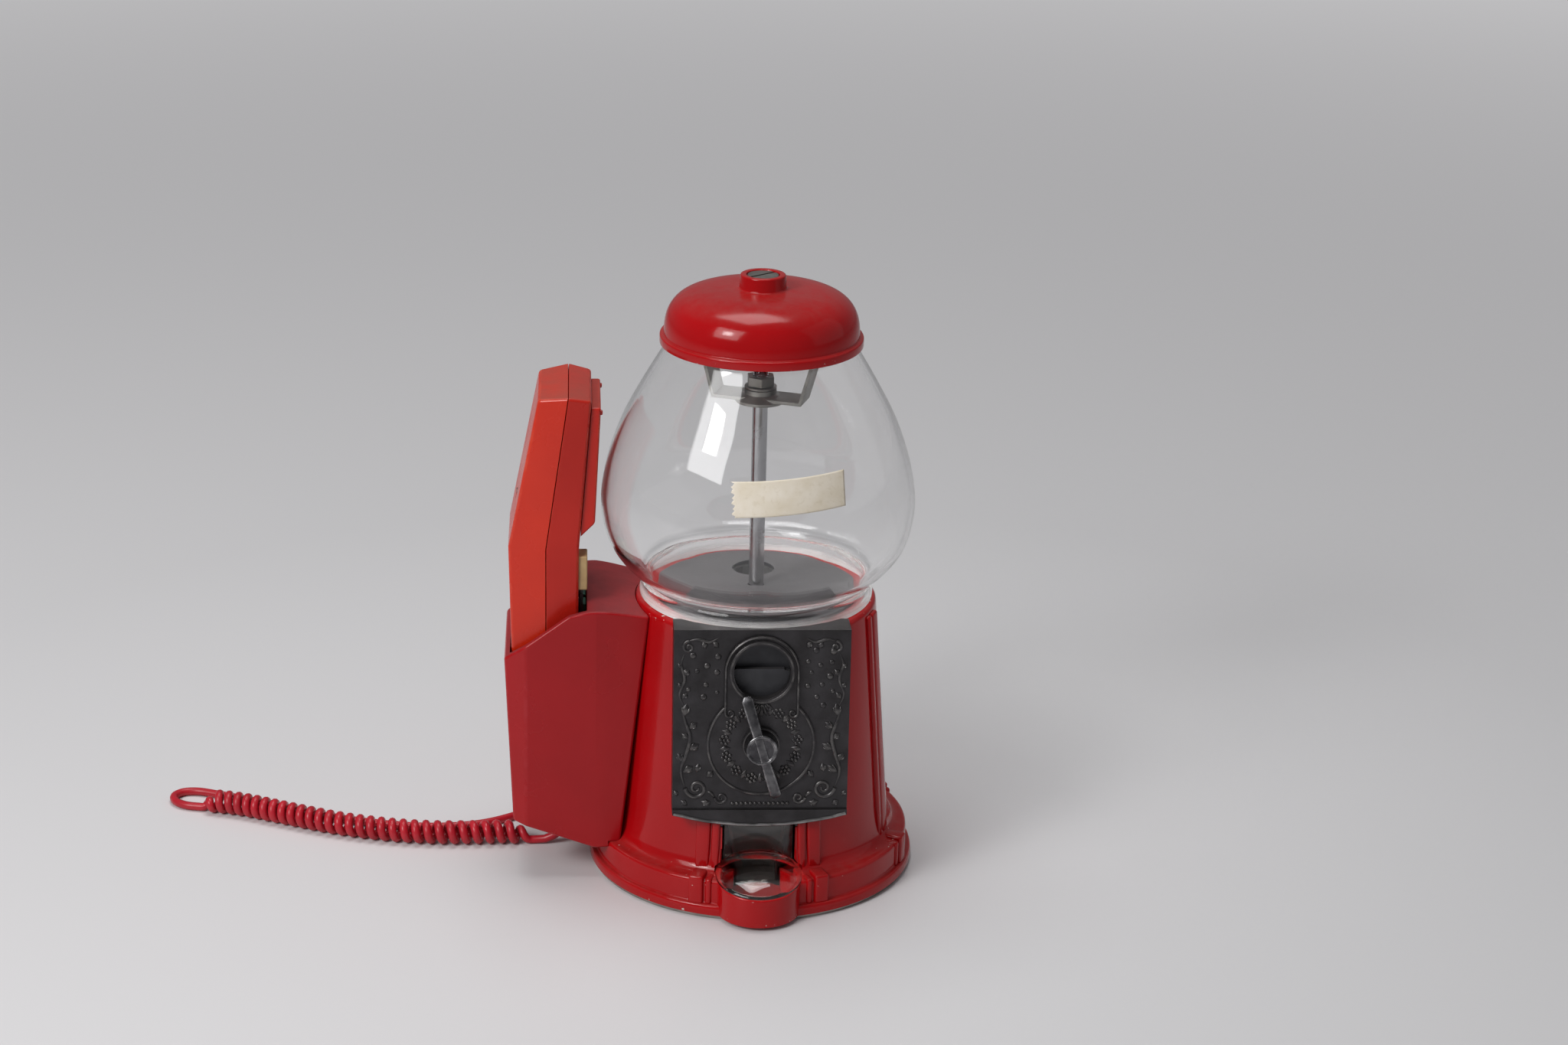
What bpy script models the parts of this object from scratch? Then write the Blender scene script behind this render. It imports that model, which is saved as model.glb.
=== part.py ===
"""Gumball machine with a telephone handset standing in a holster at its side.

Metres, +Z up. The machine's axis is the Z axis and it stands on z = 0. Its front
faces -Y and the holster is on its -X side.
"""
import math

import bmesh
import bpy
from mathutils import Matrix, Vector

# General sizes
GAP = 0.0003            # left between pieces that touch
OVERRUN = 0.0030        # how far a cutter runs past what it cuts
ROUND_SIDES = 32
SMALL_SIDES = 12
SCREW_SIDES = 8
WELD_DISTANCE = 0.00001 # points closer than this are one

# Base casting: tapered shell, stepped flange, rolled shoulder under the glass
BASE_RADIUS = 0.0771
BASE_EDGE_Z = 0.0050
FLANGE_RING_INSET = 0.0027     # inside the base's edge
FLANGE_RING_RADIUS = BASE_RADIUS - FLANGE_RING_INSET
FLANGE_RING_Z = 0.0182
FLANGE_ROUND = 0.0016
FLANGE_STEP_Z = 0.0066
FLANGE_LEDGE = 0.0099          # from the flange ring in to the shell's foot
BODY_FOOT_RADIUS = FLANGE_RING_RADIUS - FLANGE_LEDGE
BODY_FOOT_Z = 0.0300
BODY_TAPER = 0.0085
BODY_TOP_RADIUS = BODY_FOOT_RADIUS - BODY_TAPER
BODY_TOP_Z = 0.1332
BODY_WALL = 0.0030
RIM_LAND = 0.0120
BODY_RIM_INNER_RADIUS = BODY_TOP_RADIUS - RIM_LAND
SHOULDER_ROUND = 0.0026

# Bottom plate: flat steel disc that carries a weld nut for the tie rod
BOTTOM_PLATE_INSET = 0.0012
BOTTOM_PLATE_RADIUS = BASE_RADIUS - BOTTOM_PLATE_INSET
BOTTOM_PLATE_THICKNESS = 0.0015

# Raised ribs of the casting, in pairs, with a foot block over the flange
RIB_WIDE = 0.0066
RIB_NARROW = 0.0034
RIB_PAIR_GAP = 0.0008
RIB_PROUD = 0.0018
RIB_TOP_DROP = 0.0032   # below the casting's top
RIB_TOP_Z = BODY_TOP_Z - RIB_TOP_DROP
RIB_FOOT_PROUD = 0.0022
RIB_FOOT_HEIGHT = 0.0250
CHUTE_RIB_X = 0.0182    # inner edge of the ribs beside the chute
SIDE_RIB_ANGLES = (66.0, 114.0, 160.0, -160.0)    # degrees from the front

# Chute mouth, catch cup and its clear flap
CHUTE_HALF_WIDTH = 0.0168
CUP_SETBACK = 0.0094     # cup's centre inside the base's edge
CUP_Y = CUP_SETBACK - BASE_RADIUS
CUP_OUTER_RADIUS = 0.0195
CUP_INNER_RADIUS = 0.0170
CUP_FLOOR_Z = 0.0050
FLAP_TILT = math.radians(9.0)
FLAP_DISC_RADIUS = 0.0199
FLAP_DISC_Z = 0.0191
FLAP_DOME_HEIGHT = 0.0055
FLAP_THICKNESS = 0.0012
FLAP_CLEARANCE = 0.0007
FLAP_PANEL_HALF_WIDTH = 0.0160
FLAP_HINGE_SETBACK = 0.0032    # behind the point where the shaft meets the plate
FLAP_HINGE_DROP = 0.0394       # below the same point
FLAP_KNUCKLE_RADIUS = 0.0017
FLAP_PIN_RADIUS = 0.0008
FLAP_PANEL_SLOPE = 0.0010      # the panel's foot lies this far behind its hinge
CUP_SILL_SETBACK = 0.0052      # behind the cup's centre
CUP_SILL_Y = CUP_Y + CUP_SILL_SETBACK    # behind this line the cup's wall stays below the flap
CUP_SILL_Z = 0.0150

# Front plate: flat cast pan that leans back with the casting
PLATE_LEAN = math.radians(3.5)
SHAFT_SHARE = 0.6141    # height of the shaft as a share of the casting's
SHAFT_Z = BODY_TOP_Z * SHAFT_SHARE
PLATE_HALF_WIDTH = 0.0400
PLATE_TOP = 0.0543      # above the shaft, along the plate
PLATE_BOTTOM = 0.0342   # below the shaft, along the plate
PLATE_FACE = 0.0030
PLATE_WALL = 0.0024
PLATE_DEPTH = 0.0165
PLATE_LIP_SAG = 0.0056
PLATE_LIP_PROUD = 0.0014
COIN_HEIGHT = 0.0347    # coin opening's centre above the shaft
COIN_RADIUS = 0.0129
COLLAR_RADIUS = 0.0150
COLLAR_PROUD = 0.0022
FRAME_HALF_WIDTH = 0.0170
FRAME_PROUD = 0.0011
MEDAL_RADIUS = 0.0250
MEDAL_PROUD = 0.0009
HUB_SEAT_RADIUS = 0.0086
HUB_SEAT_PROUD = 0.0030
BODY_WINDOW_HALF_WIDTH = 0.0325
BODY_WINDOW_DROP = 0.0318      # below the shaft
BODY_WINDOW_BOTTOM_Z = SHAFT_Z - BODY_WINDOW_DROP
BODY_WINDOW_TOP_Z = BODY_TOP_Z - BODY_WALL
LUG_SPACE_DROP = 0.0020        # below the flap's hinge
STUD_X = 0.0355
STUD_RADIUS = 0.0016
NUT_RADIUS = 0.0032
NUT_HEIGHT = 0.0026
STUD_HEIGHTS = (0.0310, -0.0220)
LUG_THICKNESS = 0.0020

# Handle, its shaft and what turns with it
SHAFT_RADIUS = 0.0032
SHAFT_LENGTH = 0.0236   # behind the plate's face
SHAFT_RUNNING_GAP = 0.0004
HUB_RADIUS = 0.0072
HUB_FACE = 0.0098       # the hub's face ahead of the plate's face
BLADE_HALF_LENGTH = 0.0254
BLADE_WIDTH = 0.0050
BLADE_THICKNESS = 0.0032
BLADE_BOW = 0.0036
BLADE_ANGLE = math.radians(16.7)
CARRIER_RADIUS = 0.0371
CARRIER_THICKNESS = 0.0030
CARRIER_TEETH = 24
CARRIER_TOOTH = 0.0014
CARRIER_LEDGE = 0.0347
BACKING_HALF_WIDTH = 0.0180
BACKING_HEIGHT = 0.0300
BACKING_THICKNESS = 0.0010
BACKING_SPACE = 0.0009
FINGER_LENGTH = 0.0340
FINGER_HALF_WIDTH = 0.0030
FINGER_HUB_RADIUS = 0.0060
FINGER_THICKNESS = 0.0040
SHAFT_NUT_RADIUS = 0.0052
SHAFT_END_SHOWN = 0.0008    # of the shaft, behind its nut
PAWL_X = 0.0310
PAWL_DROP = 0.0262      # pawl's pivot below the shaft
PAWL_RADIUS = 0.0026
PAWL_TIP = 0.0093
PAWL_THICKNESS = 0.0020
PAWL_PIN_RADIUS = 0.0012
PAWL_TIP_SHARE = 0.3    # of the eye's radius: half of the arm's outer side at its tip
PAWL_HEEL_SHARE = 0.4   # the same at the eye

# Vending wheel and what holds it, on the tie rod
ROD_RADIUS = 0.0035
ROD_END_SHOWN = 0.0080        # of the rod, above its nut
ROD_NUT_RADIUS = 0.0068
ROD_NUT_HEIGHT = 0.0044
ROD_GAP = 0.0004
PILLAR_OUTER_RADIUS = 0.0062
FLOOR_THICKNESS = 0.0020
WHEEL_CLEARANCE = 0.0020      # inside the casting's rim
WHEEL_RADIUS = BODY_RIM_INNER_RADIUS - WHEEL_CLEARANCE
FLOOR_INSET = 0.0075
FLOOR_RADIUS = WHEEL_RADIUS - FLOOR_INSET
WHEEL_HEIGHT = 0.0140
WHEEL_TOP_SPACE = 0.0005
POCKET_COUNT = 6
POCKET_SHARES = (0.5714, 0.2190)    # pocket's centre and radius as shares of the wheel's radius
POCKET_CENTRE = WHEEL_RADIUS * POCKET_SHARES[0]
POCKET_RADIUS = WHEEL_RADIUS * POCKET_SHARES[1]
DRIVE_PIN_INSET = 0.0032
DRIVE_PIN_CENTRE = WHEEL_RADIUS - DRIVE_PIN_INSET
DRIVE_PIN_RADIUS = 0.0015
DRIVE_PIN_LENGTH = 0.0076
HOPPER_THICKNESS = 0.0015
INLET_CLEARANCE = 0.0008
INLET_RADIUS = POCKET_RADIUS + INLET_CLEARANCE
COVER_THICKNESS = 0.0012
COVER_EDGE_Y = -0.0060

# Ramp from the wheel to the cup
RAMP_HALF_WIDTH = 0.0094
RAMP_WALL = 0.0012
RAMP_TOP_DROP = 0.0227   # below the casting's top
RAMP_TOP_Z = BODY_TOP_Z - RAMP_TOP_DROP
RAMP_REACH = (0.0110, 0.0105)    # of its rear and front wall from the pocket's centre
RAMP_REAR_Y = RAMP_REACH[0] - POCKET_CENTRE
RAMP_FRONT_Y = -RAMP_REACH[1] - POCKET_CENTRE
RAMP_KNEE_SETBACK = 0.0040
RAMP_KNEE_Y = RAMP_KNEE_SETBACK - POCKET_CENTRE
RAMP_KNEE_Z = 0.0420
RAMP_END_SETBACK = 0.0215        # behind the cup's centre
RAMP_END_Y = CUP_Y + RAMP_END_SETBACK
RAMP_HOOD_Z = 0.0465
RAMP_MOUTH_Z = 0.0360
RAMP_FOOT_LENGTH = 0.0032

# Glass globe: foot ring, waist, pear-shaped bulb, mouth
GLOBE_WALL = 0.0024
GLOBE_FOOT_INSET = 0.0017       # inside the casting's top edge
GLOBE_FOOT_RADIUS = BODY_TOP_RADIUS - GLOBE_FOOT_INSET
GLOBE_FOOT_WIDTH = 0.0063
GLOBE_FOOT_INNER_RADIUS = GLOBE_FOOT_RADIUS - GLOBE_FOOT_WIDTH
GLOBE_FOOT_HEIGHT = 0.0098
GLOBE_WAIST_INSET = 0.0013
GLOBE_WAIST_RADIUS = GLOBE_FOOT_RADIUS - GLOBE_WAIST_INSET
GLOBE_BELLY_RADIUS = 0.0727
GLOBE_BULB_HEIGHT = 0.1140
GLOBE_MOUTH_SHARE = 0.5695
GLOBE_MOUTH_RADIUS = GLOBE_BELLY_RADIUS * GLOBE_MOUTH_SHARE
HOPPER_CLEARANCE = 0.0006       # inside the glass foot
HOPPER_RADIUS = GLOBE_FOOT_INNER_RADIUS - HOPPER_CLEARANCE
COVER_INSET = 0.0024
COVER_RADIUS = HOPPER_RADIUS - COVER_INSET
# outer wall from the mouth to the waist: shares of the belly radius and bulb height
GLOBE_SHARES = ((0.612, 0.945), (0.739, 0.807), (0.866, 0.652), (0.955, 0.490), (0.996, 0.350),
                (0.990, 0.250), (0.952, 0.155), (0.885, 0.085), (0.800, 0.028))

# Cap: cast dome with a rim band and a boss for the lock screw
CAP_OVERLAP = 0.0035            # of the cap's rim over the globe's mouth
CAP_RIM_PROUD = 0.0050          # of the same rim beyond the mouth's radius
CAP_RIM_RADIUS = GLOBE_MOUTH_RADIUS + CAP_RIM_PROUD
CAP_RIM_HEIGHT = 0.0044
CAP_RIM_ROUND = 0.0007
CAP_DOME_INSET = 0.0018
CAP_DOME_RADIUS = CAP_RIM_RADIUS - CAP_DOME_INSET
CAP_DOME_RISE = 0.0022          # dome's foot above the rim's lower edge
CAP_DOME_HEIGHT = 0.0234
CAP_DOME_POWERS = (4.6, 2.9)
CAP_WALL = 0.0022
CAP_BOSS_HEIGHT = 0.0066
CAP_BOSS_RADIUS = 0.0103
CAP_RECESS_RADIUS = 0.0075
CAP_RECESS_DEPTH = 0.0032
CAP_HOLE_RADIUS = 0.0034
CAP_CEILING_DROP = 0.0026      # below the dome's top
LOCK_SHANK_RADIUS = 0.0030
LOCK_HEAD_HEIGHT = 0.0026
LOCK_SLOT_WIDTH = 0.0015
LOCK_SLOT_DEPTH = 0.0012
LOCK_SLOT_TURN = math.radians(38.0)

# Hold-down under the cap: strap with a pressed bell and two splayed legs, washer and nut
STRAP_DROP = 0.0298            # below the globe's mouth
STRAP_THICKNESS = 0.0015
STRAP_WIDTH = 0.0150
STRAP_HALF_LENGTH = 0.0206
STRAP_TURN = math.radians(-20.0)
LEG_TOP_X = 0.0288
STRAP_TAB_INSET = 0.0009       # inside the mouth's outer edge
STRAP_TAB_X = GLOBE_MOUTH_RADIUS - STRAP_TAB_INSET
BELL_RADIUS = 0.0116
BELL_DROP = 0.0014             # below the strap
BELL_CROWN_RADIUS = 0.0074
BELL_RISE = 0.0045             # above the strap's underside
BELL_WALL = 0.0012
WASHER_RADIUS = 0.0074
WASHER_THICKNESS = 0.0010

# Holster: moulded box on the machine's left side
HOLSTER_FRONT_Y = -0.0305
HOLSTER_REAR_Y = 0.0385
HOLSTER_WALL = 0.0026
HOLSTER_FACET_Y = 0.0042          # how far the end facets fall back
HOLSTER_LEFT_X = -0.1168
HOLSTER_LEFT_CREASE_X = -0.1070
HOLSTER_RIGHT_CREASE_X = -0.0746
HOLSTER_RIGHT_TOP_X = -0.0502
HOLSTER_RIGHT_BOTTOM_X = -0.0632
HOLSTER_LEFT_BOTTOM_X = -0.1129
HOLSTER_CROWN_X = -0.0741
HOLSTER_CROWN_Z = 0.1342
HOLSTER_SHOULDER_X = -0.0871
HOLSTER_SHOULDER_Z = 0.1318
HOLSTER_RIGHT_TOP_Z = 0.1302
HOLSTER_LEFT_TOP_Z = 0.1100
HOLSTER_LEFT_BOTTOM_Z = 0.0286
HOLSTER_BOTTOM_Z = 0.0152
SLOT_RIGHT_X = -0.0788
SLOT_FLOOR_Z = 0.0400
DIVIDER = 0.0022
BOSS_RADIUS = 0.0045
HOLSTER_SCREW_RADIUS = 0.0018
HOLSTER_SCREW_HEAD_RADIUS = 0.0036
HOLSTER_SCREW_HEAD_HEIGHT = 0.0022
HOLSTER_SCREW_REACH = 0.0110
HOLSTER_SCREW_HEIGHTS = {"upper": 0.1080, "lower": 0.0520}

# Handset: two shells that meet at a seam, earpiece block, keypad, sprung hook bar
HANDSET_Y = 0.0038
HANDSET_SEAM_HALF_WIDTH = 0.0276      # widest at the seam; the sides draw in to both faces
HANDSET_BACK_HALF_WIDTH = 0.0236
HANDSET_FACE_HALF_WIDTH = 0.0250
HANDSET_BOTTOM_Z = 0.0405
HANDSET_BEND_Z = 0.1620
HANDSET_TOP_Z = 0.2342
HANDSET_END_DRAFT = 0.0020            # both ends draw in by this, from the seam to either face
HANDSET_BACK_X = (-0.1118, -0.1148, -0.1010)     # at the bottom, bend and top
HANDSET_SEAM_X = (-0.0976, -0.0976, -0.0874)
HANDSET_FACE_X = (-0.0836, -0.0825, -0.0769)
HANDSET_WALL = 0.0022
EAR_HALF_WIDTH = 0.0230
EAR_FOOT_Z = 0.1665
EAR_STEP_Z = 0.1730
EAR_FOOT_X = -0.0753
EAR_TOP_X = -0.0728
EAR_TOP_Z = 0.2283
EAR_WALL = 0.0018
EAR_HOLE_RADIUS = 0.0010
EAR_HOLE_RING = 0.0050
EAR_HOLE_COUNT = 6
EAR_BUMP_RADIUS = 0.0012
EAR_BUMP_Z = 0.2255
EAR_BUMP_PROUD = 0.0009
SPEAKER_Z = 0.2040
SPEAKER_RADIUS = 0.0145
SPEAKER_HEIGHT = 0.0050
SPEAKER_WINDOW_RADIUS = 0.0110
MICROPHONE_Z = 0.0580
MICROPHONE_RADIUS = 0.0050
MICROPHONE_HEIGHT = 0.0055
BOARD_THICKNESS = 0.0016
BOARD_BOTTOM_Z = 0.0720
BOARD_TOP_Z = 0.1600
BOARD_MARGIN = 0.0040
BEZEL_THICKNESS = 0.0016
BEZEL_BOTTOM_Z = 0.0790
BEZEL_TOP_Z = 0.1380
BEZEL_HALF_WIDTH = 0.0205
KEY_ROWS = 4
KEY_COLUMNS = 3
KEY_PITCH_Y = 0.0125
KEY_PITCH_Z = 0.0130
KEY_WIDTH = 0.0086
KEY_HEIGHT = 0.0072
KEY_PROUD = 0.0014
KEY_TRAVEL = 0.0010
HOOK_BOTTOM_Z = 0.1408
HOOK_TOP_Z = 0.1572
HOOK_LOW_Y = -0.0195
HOOK_HIGH_Y = -0.0085
HOOK_PROUD = 0.0038
HOOK_TRAVEL = 0.0020
HANDSET_SCREW_RADIUS = 0.0012
HANDSET_SCREW_HEAD_RADIUS = 0.0024
HANDSET_SCREW_HEAD_HEIGHT = 0.0014
HANDSET_SCREW_HEIGHTS = {"upper": 0.1800, "lower": 0.0660}
POST_RADIUS = 0.0030

# Curly cord: wire wound on a curving centre line, then a straight tail put away behind
WIRE_RADIUS = 0.0020
CURL_OUTER_RADIUS = 0.00585
CURL_COUNT = 31
CURL_POINTS = 8
NEAR_PITCH = 0.00575
FAR_PITCH = 0.00485
RELIEF_RADIUS = 0.0042
RELIEF_TIP_RADIUS = 0.0027
RELIEF_LENGTH = 0.0160
RELIEF_COLLAR_RADIUS = 0.0058
RELIEF_COLLAR_HEIGHT = 0.0020
RELIEF_X = -0.0880
RELIEF_Y = 0.0060
CENTRE_LINE = ((-0.1040, 0.0070), (-0.1180, 0.0078), (-0.1300, 0.0075), (-0.1480, 0.0075), (-0.1660, 0.0095),
               (-0.1830, 0.0135), (-0.2020, 0.0200), (-0.2270, 0.0315), (-0.2430, 0.0390), (-0.2570, 0.0435),
               (-0.2900, 0.0500))
LEAD_ROUTE = ((-0.0880, 0.0060, 0.0207), (-0.0880, 0.0060, 0.0160), (-0.0896, 0.0061, 0.0100),
              (-0.0935, 0.0064, 0.0051), (-0.0985, 0.0067, 0.0025))
TAIL_ROUTE = ((-0.2672, 0.0457, 0.0020), (-0.2740, 0.0474, 0.0020), (-0.2795, 0.0518, 0.0020),
              (-0.2812, 0.0580, 0.0020), (-0.2775, 0.0628, 0.0020), (-0.2700, 0.0635, 0.0020),
              (-0.2600, 0.0600, 0.0020), (-0.2420, 0.0522, 0.0020), (-0.2180, 0.0402, 0.0020),
              (-0.1900, 0.0290, 0.0020), (-0.1600, 0.0222, 0.0020), (-0.1330, 0.0240, 0.0020),
              (-0.1120, 0.0350, 0.0020), (-0.0960, 0.0500, 0.0020), (-0.0790, 0.0660, 0.0020),
              (-0.0600, 0.0785, 0.0022), (-0.0380, 0.0860, 0.0027), (-0.0200, 0.0874, 0.0031),
              (-0.0107, 0.0874, 0.0031))
COIL_CENTRE = (-0.0100, 0.1160)
COIL_INNER_RADIUS = 0.0174
COIL_SPACING = 0.0045
COIL_TURNS = 5.0        # in two layers, half a turn of them in the climb between
COIL_POINTS = 24
TIE_THICKNESS = 0.0008
TIE_WIDTH = 0.0040
PLUG_LEAD = ((0.0000, 0.0868, 0.0070), (0.0080, 0.0856, 0.0049), (0.01402, 0.08455, 0.0040),
             (0.0180, 0.0842, 0.0040))
PLUG_TURN = math.radians(-5.0)
PLUG_SIZE = (0.0123, 0.0097, 0.0064)
PLUG_LATCH = (0.0080, 0.0032, 0.0012)

for old in list(bpy.data.objects):
    bpy.data.objects.remove(old, do_unlink=True)

machine = bpy.data.collections.new("gumball_machine_telephone")
cutters = bpy.data.collections.new("cutters")
bpy.context.scene.collection.children.link(machine)
bpy.context.scene.collection.children.link(cutters)


def material(name, colour, roughness, metallic=0.0, alpha=1.0):
    """Principled material of one colour."""
    made = bpy.data.materials.new(name)
    made.use_nodes = True
    shader = made.node_tree.nodes["Principled BSDF"]
    shader.inputs["Base Color"].default_value = (*colour, 1.0)
    shader.inputs["Roughness"].default_value = roughness
    shader.inputs["Metallic"].default_value = metallic
    shader.inputs["Alpha"].default_value = alpha
    made.diffuse_color = (*colour, alpha)
    return made


ENAMEL = material("red_enamel", (0.48, 0.004, 0.010), 0.22)
PEWTER = material("dark_pewter", (0.045, 0.043, 0.046), 0.42, 0.9)
GLASS = material("clear_glass", (0.93, 0.95, 0.94), 0.03, alpha=0.25)
CLEAR_PLASTIC = material("clear_plastic", (0.85, 0.85, 0.82), 0.08, alpha=0.35)
ZINC = material("zinc_plate", (0.42, 0.41, 0.40), 0.38, 1.0)
CHROME = material("chrome", (0.62, 0.62, 0.63), 0.12, 1.0)
STEEL = material("steel", (0.30, 0.29, 0.28), 0.35, 1.0)
WHEEL_NYLON = material("grey_nylon", (0.16, 0.16, 0.16), 0.5)
HOLSTER_PLASTIC = material("dark_red_plastic", (0.34, 0.008, 0.012), 0.32)
HANDSET_PLASTIC = material("orange_red_plastic", (0.62, 0.040, 0.010), 0.28)
IVORY = material("yellowed_ivory_plastic", (0.42, 0.30, 0.16), 0.45)
BLACK_PLASTIC = material("black_plastic", (0.012, 0.012, 0.012), 0.4)
KEY_GREEN = material("green_plastic", (0.03, 0.20, 0.15), 0.4)
BOARD_GREEN = material("board_green", (0.02, 0.11, 0.04), 0.4)
CORD_VINYL = material("red_vinyl", (0.50, 0.012, 0.025), 0.4)
PLUG_CLEAR = material("plug_plastic", (0.6, 0.6, 0.56), 0.2, alpha=0.5)


def add(name, mesh, finish=None, parent=None):
    """New object from a mesh; without a finish it is a cutter or a guide."""
    made = bpy.data.objects.new(name, mesh)
    made.parent = parent
    if finish is None:
        cutters.objects.link(made)
        made.hide_render = True
        made.display_type = "WIRE"
    else:
        machine.objects.link(made)
        mesh.materials.append(finish)
    return made


def mesh_of(name, build, place=Matrix.Identity(4)):
    """Mesh made by a bmesh function and moved by a matrix."""
    mesh = bpy.data.meshes.new(name)
    working = bmesh.new()
    build(working)
    bmesh.ops.transform(working, matrix=place, verts=working.verts)
    bmesh.ops.recalc_face_normals(working, faces=working.faces)
    working.to_mesh(mesh)
    working.free()
    return mesh


def box(name, low, high, finish=None, parent=None):
    """Block between two corners."""
    low, high = Vector(low), Vector(high)
    place = Matrix.Translation((low + high) / 2) @ Matrix.Diagonal((*(high - low), 1.0))
    mesh = mesh_of(name, lambda working: bmesh.ops.create_cube(working, size=1.0), place)
    return add(name, mesh, finish, parent)


def along(axis):
    """Matrix that turns +Z to the given axis."""
    return Vector(axis).to_track_quat("Z", "Y").to_matrix().to_4x4()


def rod(name, radius, start, end, finish=None, parent=None, sides=SMALL_SIDES, tip_radius=None):
    """Cylinder or cone between two points."""
    start, end = Vector(start), Vector(end)
    place = Matrix.Translation((start + end) / 2) @ along(end - start)
    tip = radius if tip_radius is None else tip_radius

    def build(working):
        bmesh.ops.create_cone(working, cap_ends=True, segments=sides, radius1=radius, radius2=tip,
                              depth=(end - start).length)
    return add(name, mesh_of(name, build, place), finish, parent)


def turned(name, profile, finish=None, sides=ROUND_SIDES, parent=None):
    """Closed (radius, height) outline turned about Z; it runs down the outer side."""
    mesh = bpy.data.meshes.new(name)
    points = [(radius, 0.0, height) for radius, height in profile]
    on_axis = profile[0][0] == 0.0 and profile[-1][0] == 0.0
    edges = [(index, index + 1) for index in range(len(points) - 1)]
    if not on_axis:
        edges.append((len(points) - 1, 0))
    mesh.from_pydata(points, edges, [])
    made = add(name, mesh, finish, parent)
    screw = made.modifiers.new("turn", "SCREW")
    screw.axis = "Z"
    screw.angle = math.tau
    screw.steps = sides
    screw.render_steps = sides
    screw.use_merge_vertices = True
    screw.merge_threshold = WELD_DISTANCE
    return made


def prism(name, outline, thickness, place=Matrix.Identity(4), finish=None, parent=None):
    """Flat outline in XY, thickened evenly to both sides of z = 0, then placed."""
    curve = bpy.data.curves.new(name, "CURVE")
    curve.dimensions = "2D"
    curve.fill_mode = "BOTH"
    curve.extrude = thickness / 2
    spline = curve.splines.new("POLY")
    spline.points.add(len(outline) - 1)
    for point, (across, up) in zip(spline.points, outline):
        point.co = (across, up, 0.0, 1.0)
    spline.use_cyclic_u = True
    guide = bpy.data.objects.new(name + "_outline", curve)
    bpy.context.scene.collection.objects.link(guide)
    bpy.context.view_layer.update()
    mesh = bpy.data.meshes.new_from_object(guide.evaluated_get(bpy.context.evaluated_depsgraph_get()))
    bpy.data.objects.remove(guide, do_unlink=True)
    working = bmesh.new()
    working.from_mesh(mesh)
    bmesh.ops.remove_doubles(working, verts=working.verts, dist=WELD_DISTANCE)
    bmesh.ops.transform(working, matrix=place, verts=working.verts)
    bmesh.ops.recalc_face_normals(working, faces=working.faces)
    working.to_mesh(mesh)
    working.free()
    return add(name, mesh, finish, parent)


# Turns a prism drawn as (x, z) so that it stands in the XZ plane with its thickness along Y
UPRIGHT = Matrix.Rotation(math.radians(90.0), 4, "X")


def standing(name, outline, y_low, y_high, finish=None, parent=None):
    """Outline of (x, z) points that runs from y_low to y_high."""
    place = Matrix.Translation((0.0, (y_low + y_high) / 2, 0.0)) @ UPRIGHT
    return prism(name, outline, y_high - y_low, place, finish, parent)


def sideways(name, outline, x_low, x_high, finish=None, parent=None):
    """Outline of (y, z) points that runs from x_low to x_high."""
    place = (Matrix.Translation(((x_low + x_high) / 2, 0.0, 0.0))
             @ Matrix(((0, 0, 1, 0), (1, 0, 0, 0), (0, 1, 0, 0), (0, 0, 0, 1))))
    return prism(name, outline, x_high - x_low, place, finish, parent)


def lying(name, outline, z_low, z_high, finish=None, parent=None):
    """Outline of (x, y) points that runs from z_low to z_high."""
    place = Matrix.Translation((0.0, 0.0, (z_low + z_high) / 2))
    return prism(name, outline, z_high - z_low, place, finish, parent)


def combine(target, tool, operation):
    """Boolean of a target with a tool, which becomes a hidden guide."""
    step = target.modifiers.new(operation.lower() + "_" + tool.name, "BOOLEAN")
    step.operation = operation
    step.solver = "EXACT"
    step.object = tool


def cut(target, *tools):
    for tool in tools:
        combine(target, tool, "DIFFERENCE")


def join(target, *tools):
    for tool in tools:
        combine(target, tool, "UNION")


def keep_inside(target, tool):
    combine(target, tool, "INTERSECT")


def ring(count, radius, centre=(0.0, 0.0), start=0.0, sweep=math.tau):
    """Points of a circle, or of an arc when the sweep is shorter; an arc has both its ends."""
    steps = count if sweep == math.tau else count - 1
    turns = [start + sweep * index / steps for index in range(count)]
    return [(centre[0] + radius * math.cos(turn), centre[1] + radius * math.sin(turn)) for turn in turns]


def smooth(points, per_span):
    """Catmull-Rom curve through points of any dimension."""
    known = [Vector(point) for point in points]
    known = [2 * known[0] - known[1]] + known + [2 * known[-1] - known[-2]]
    made = []
    for before, first, second, after in zip(known, known[1:], known[2:], known[3:]):
        for index in range(per_span):
            t = index / per_span
            made.append(0.5 * ((2 * first) + (second - before) * t
                               + (2 * before - 5 * first + 4 * second - after) * t ** 2
                               + (3 * first - before - 3 * second + after) * t ** 3))
    made.append(known[-2])
    return made


def inset(outline, distances):
    """Outline whose edges move inwards, each by its own distance; points run anticlockwise."""
    count = len(outline)
    lines = []
    for index in range(count):
        first, second = Vector(outline[index]), Vector(outline[(index + 1) % count])
        run = (second - first).normalized()
        inward = Vector((-run.y, run.x))
        lines.append((first + inward * distances[index], run))
    made = []
    for index in range(count):
        (place, run), (other_place, other_run) = lines[index - 1], lines[index]
        turn = run.x * other_run.y - run.y * other_run.x
        offset = other_place - place
        travel = (offset.x * other_run.y - offset.y * other_run.x) / turn
        made.append(tuple(place + run * travel))
    return made


def body_radius(height):
    """Outer radius of the casting's tapered wall at a height."""
    share = (height - BODY_FOOT_Z) / (BODY_TOP_Z - BODY_FOOT_Z)
    return BODY_FOOT_RADIUS + (BODY_TOP_RADIUS - BODY_FOOT_RADIUS) * share


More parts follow.
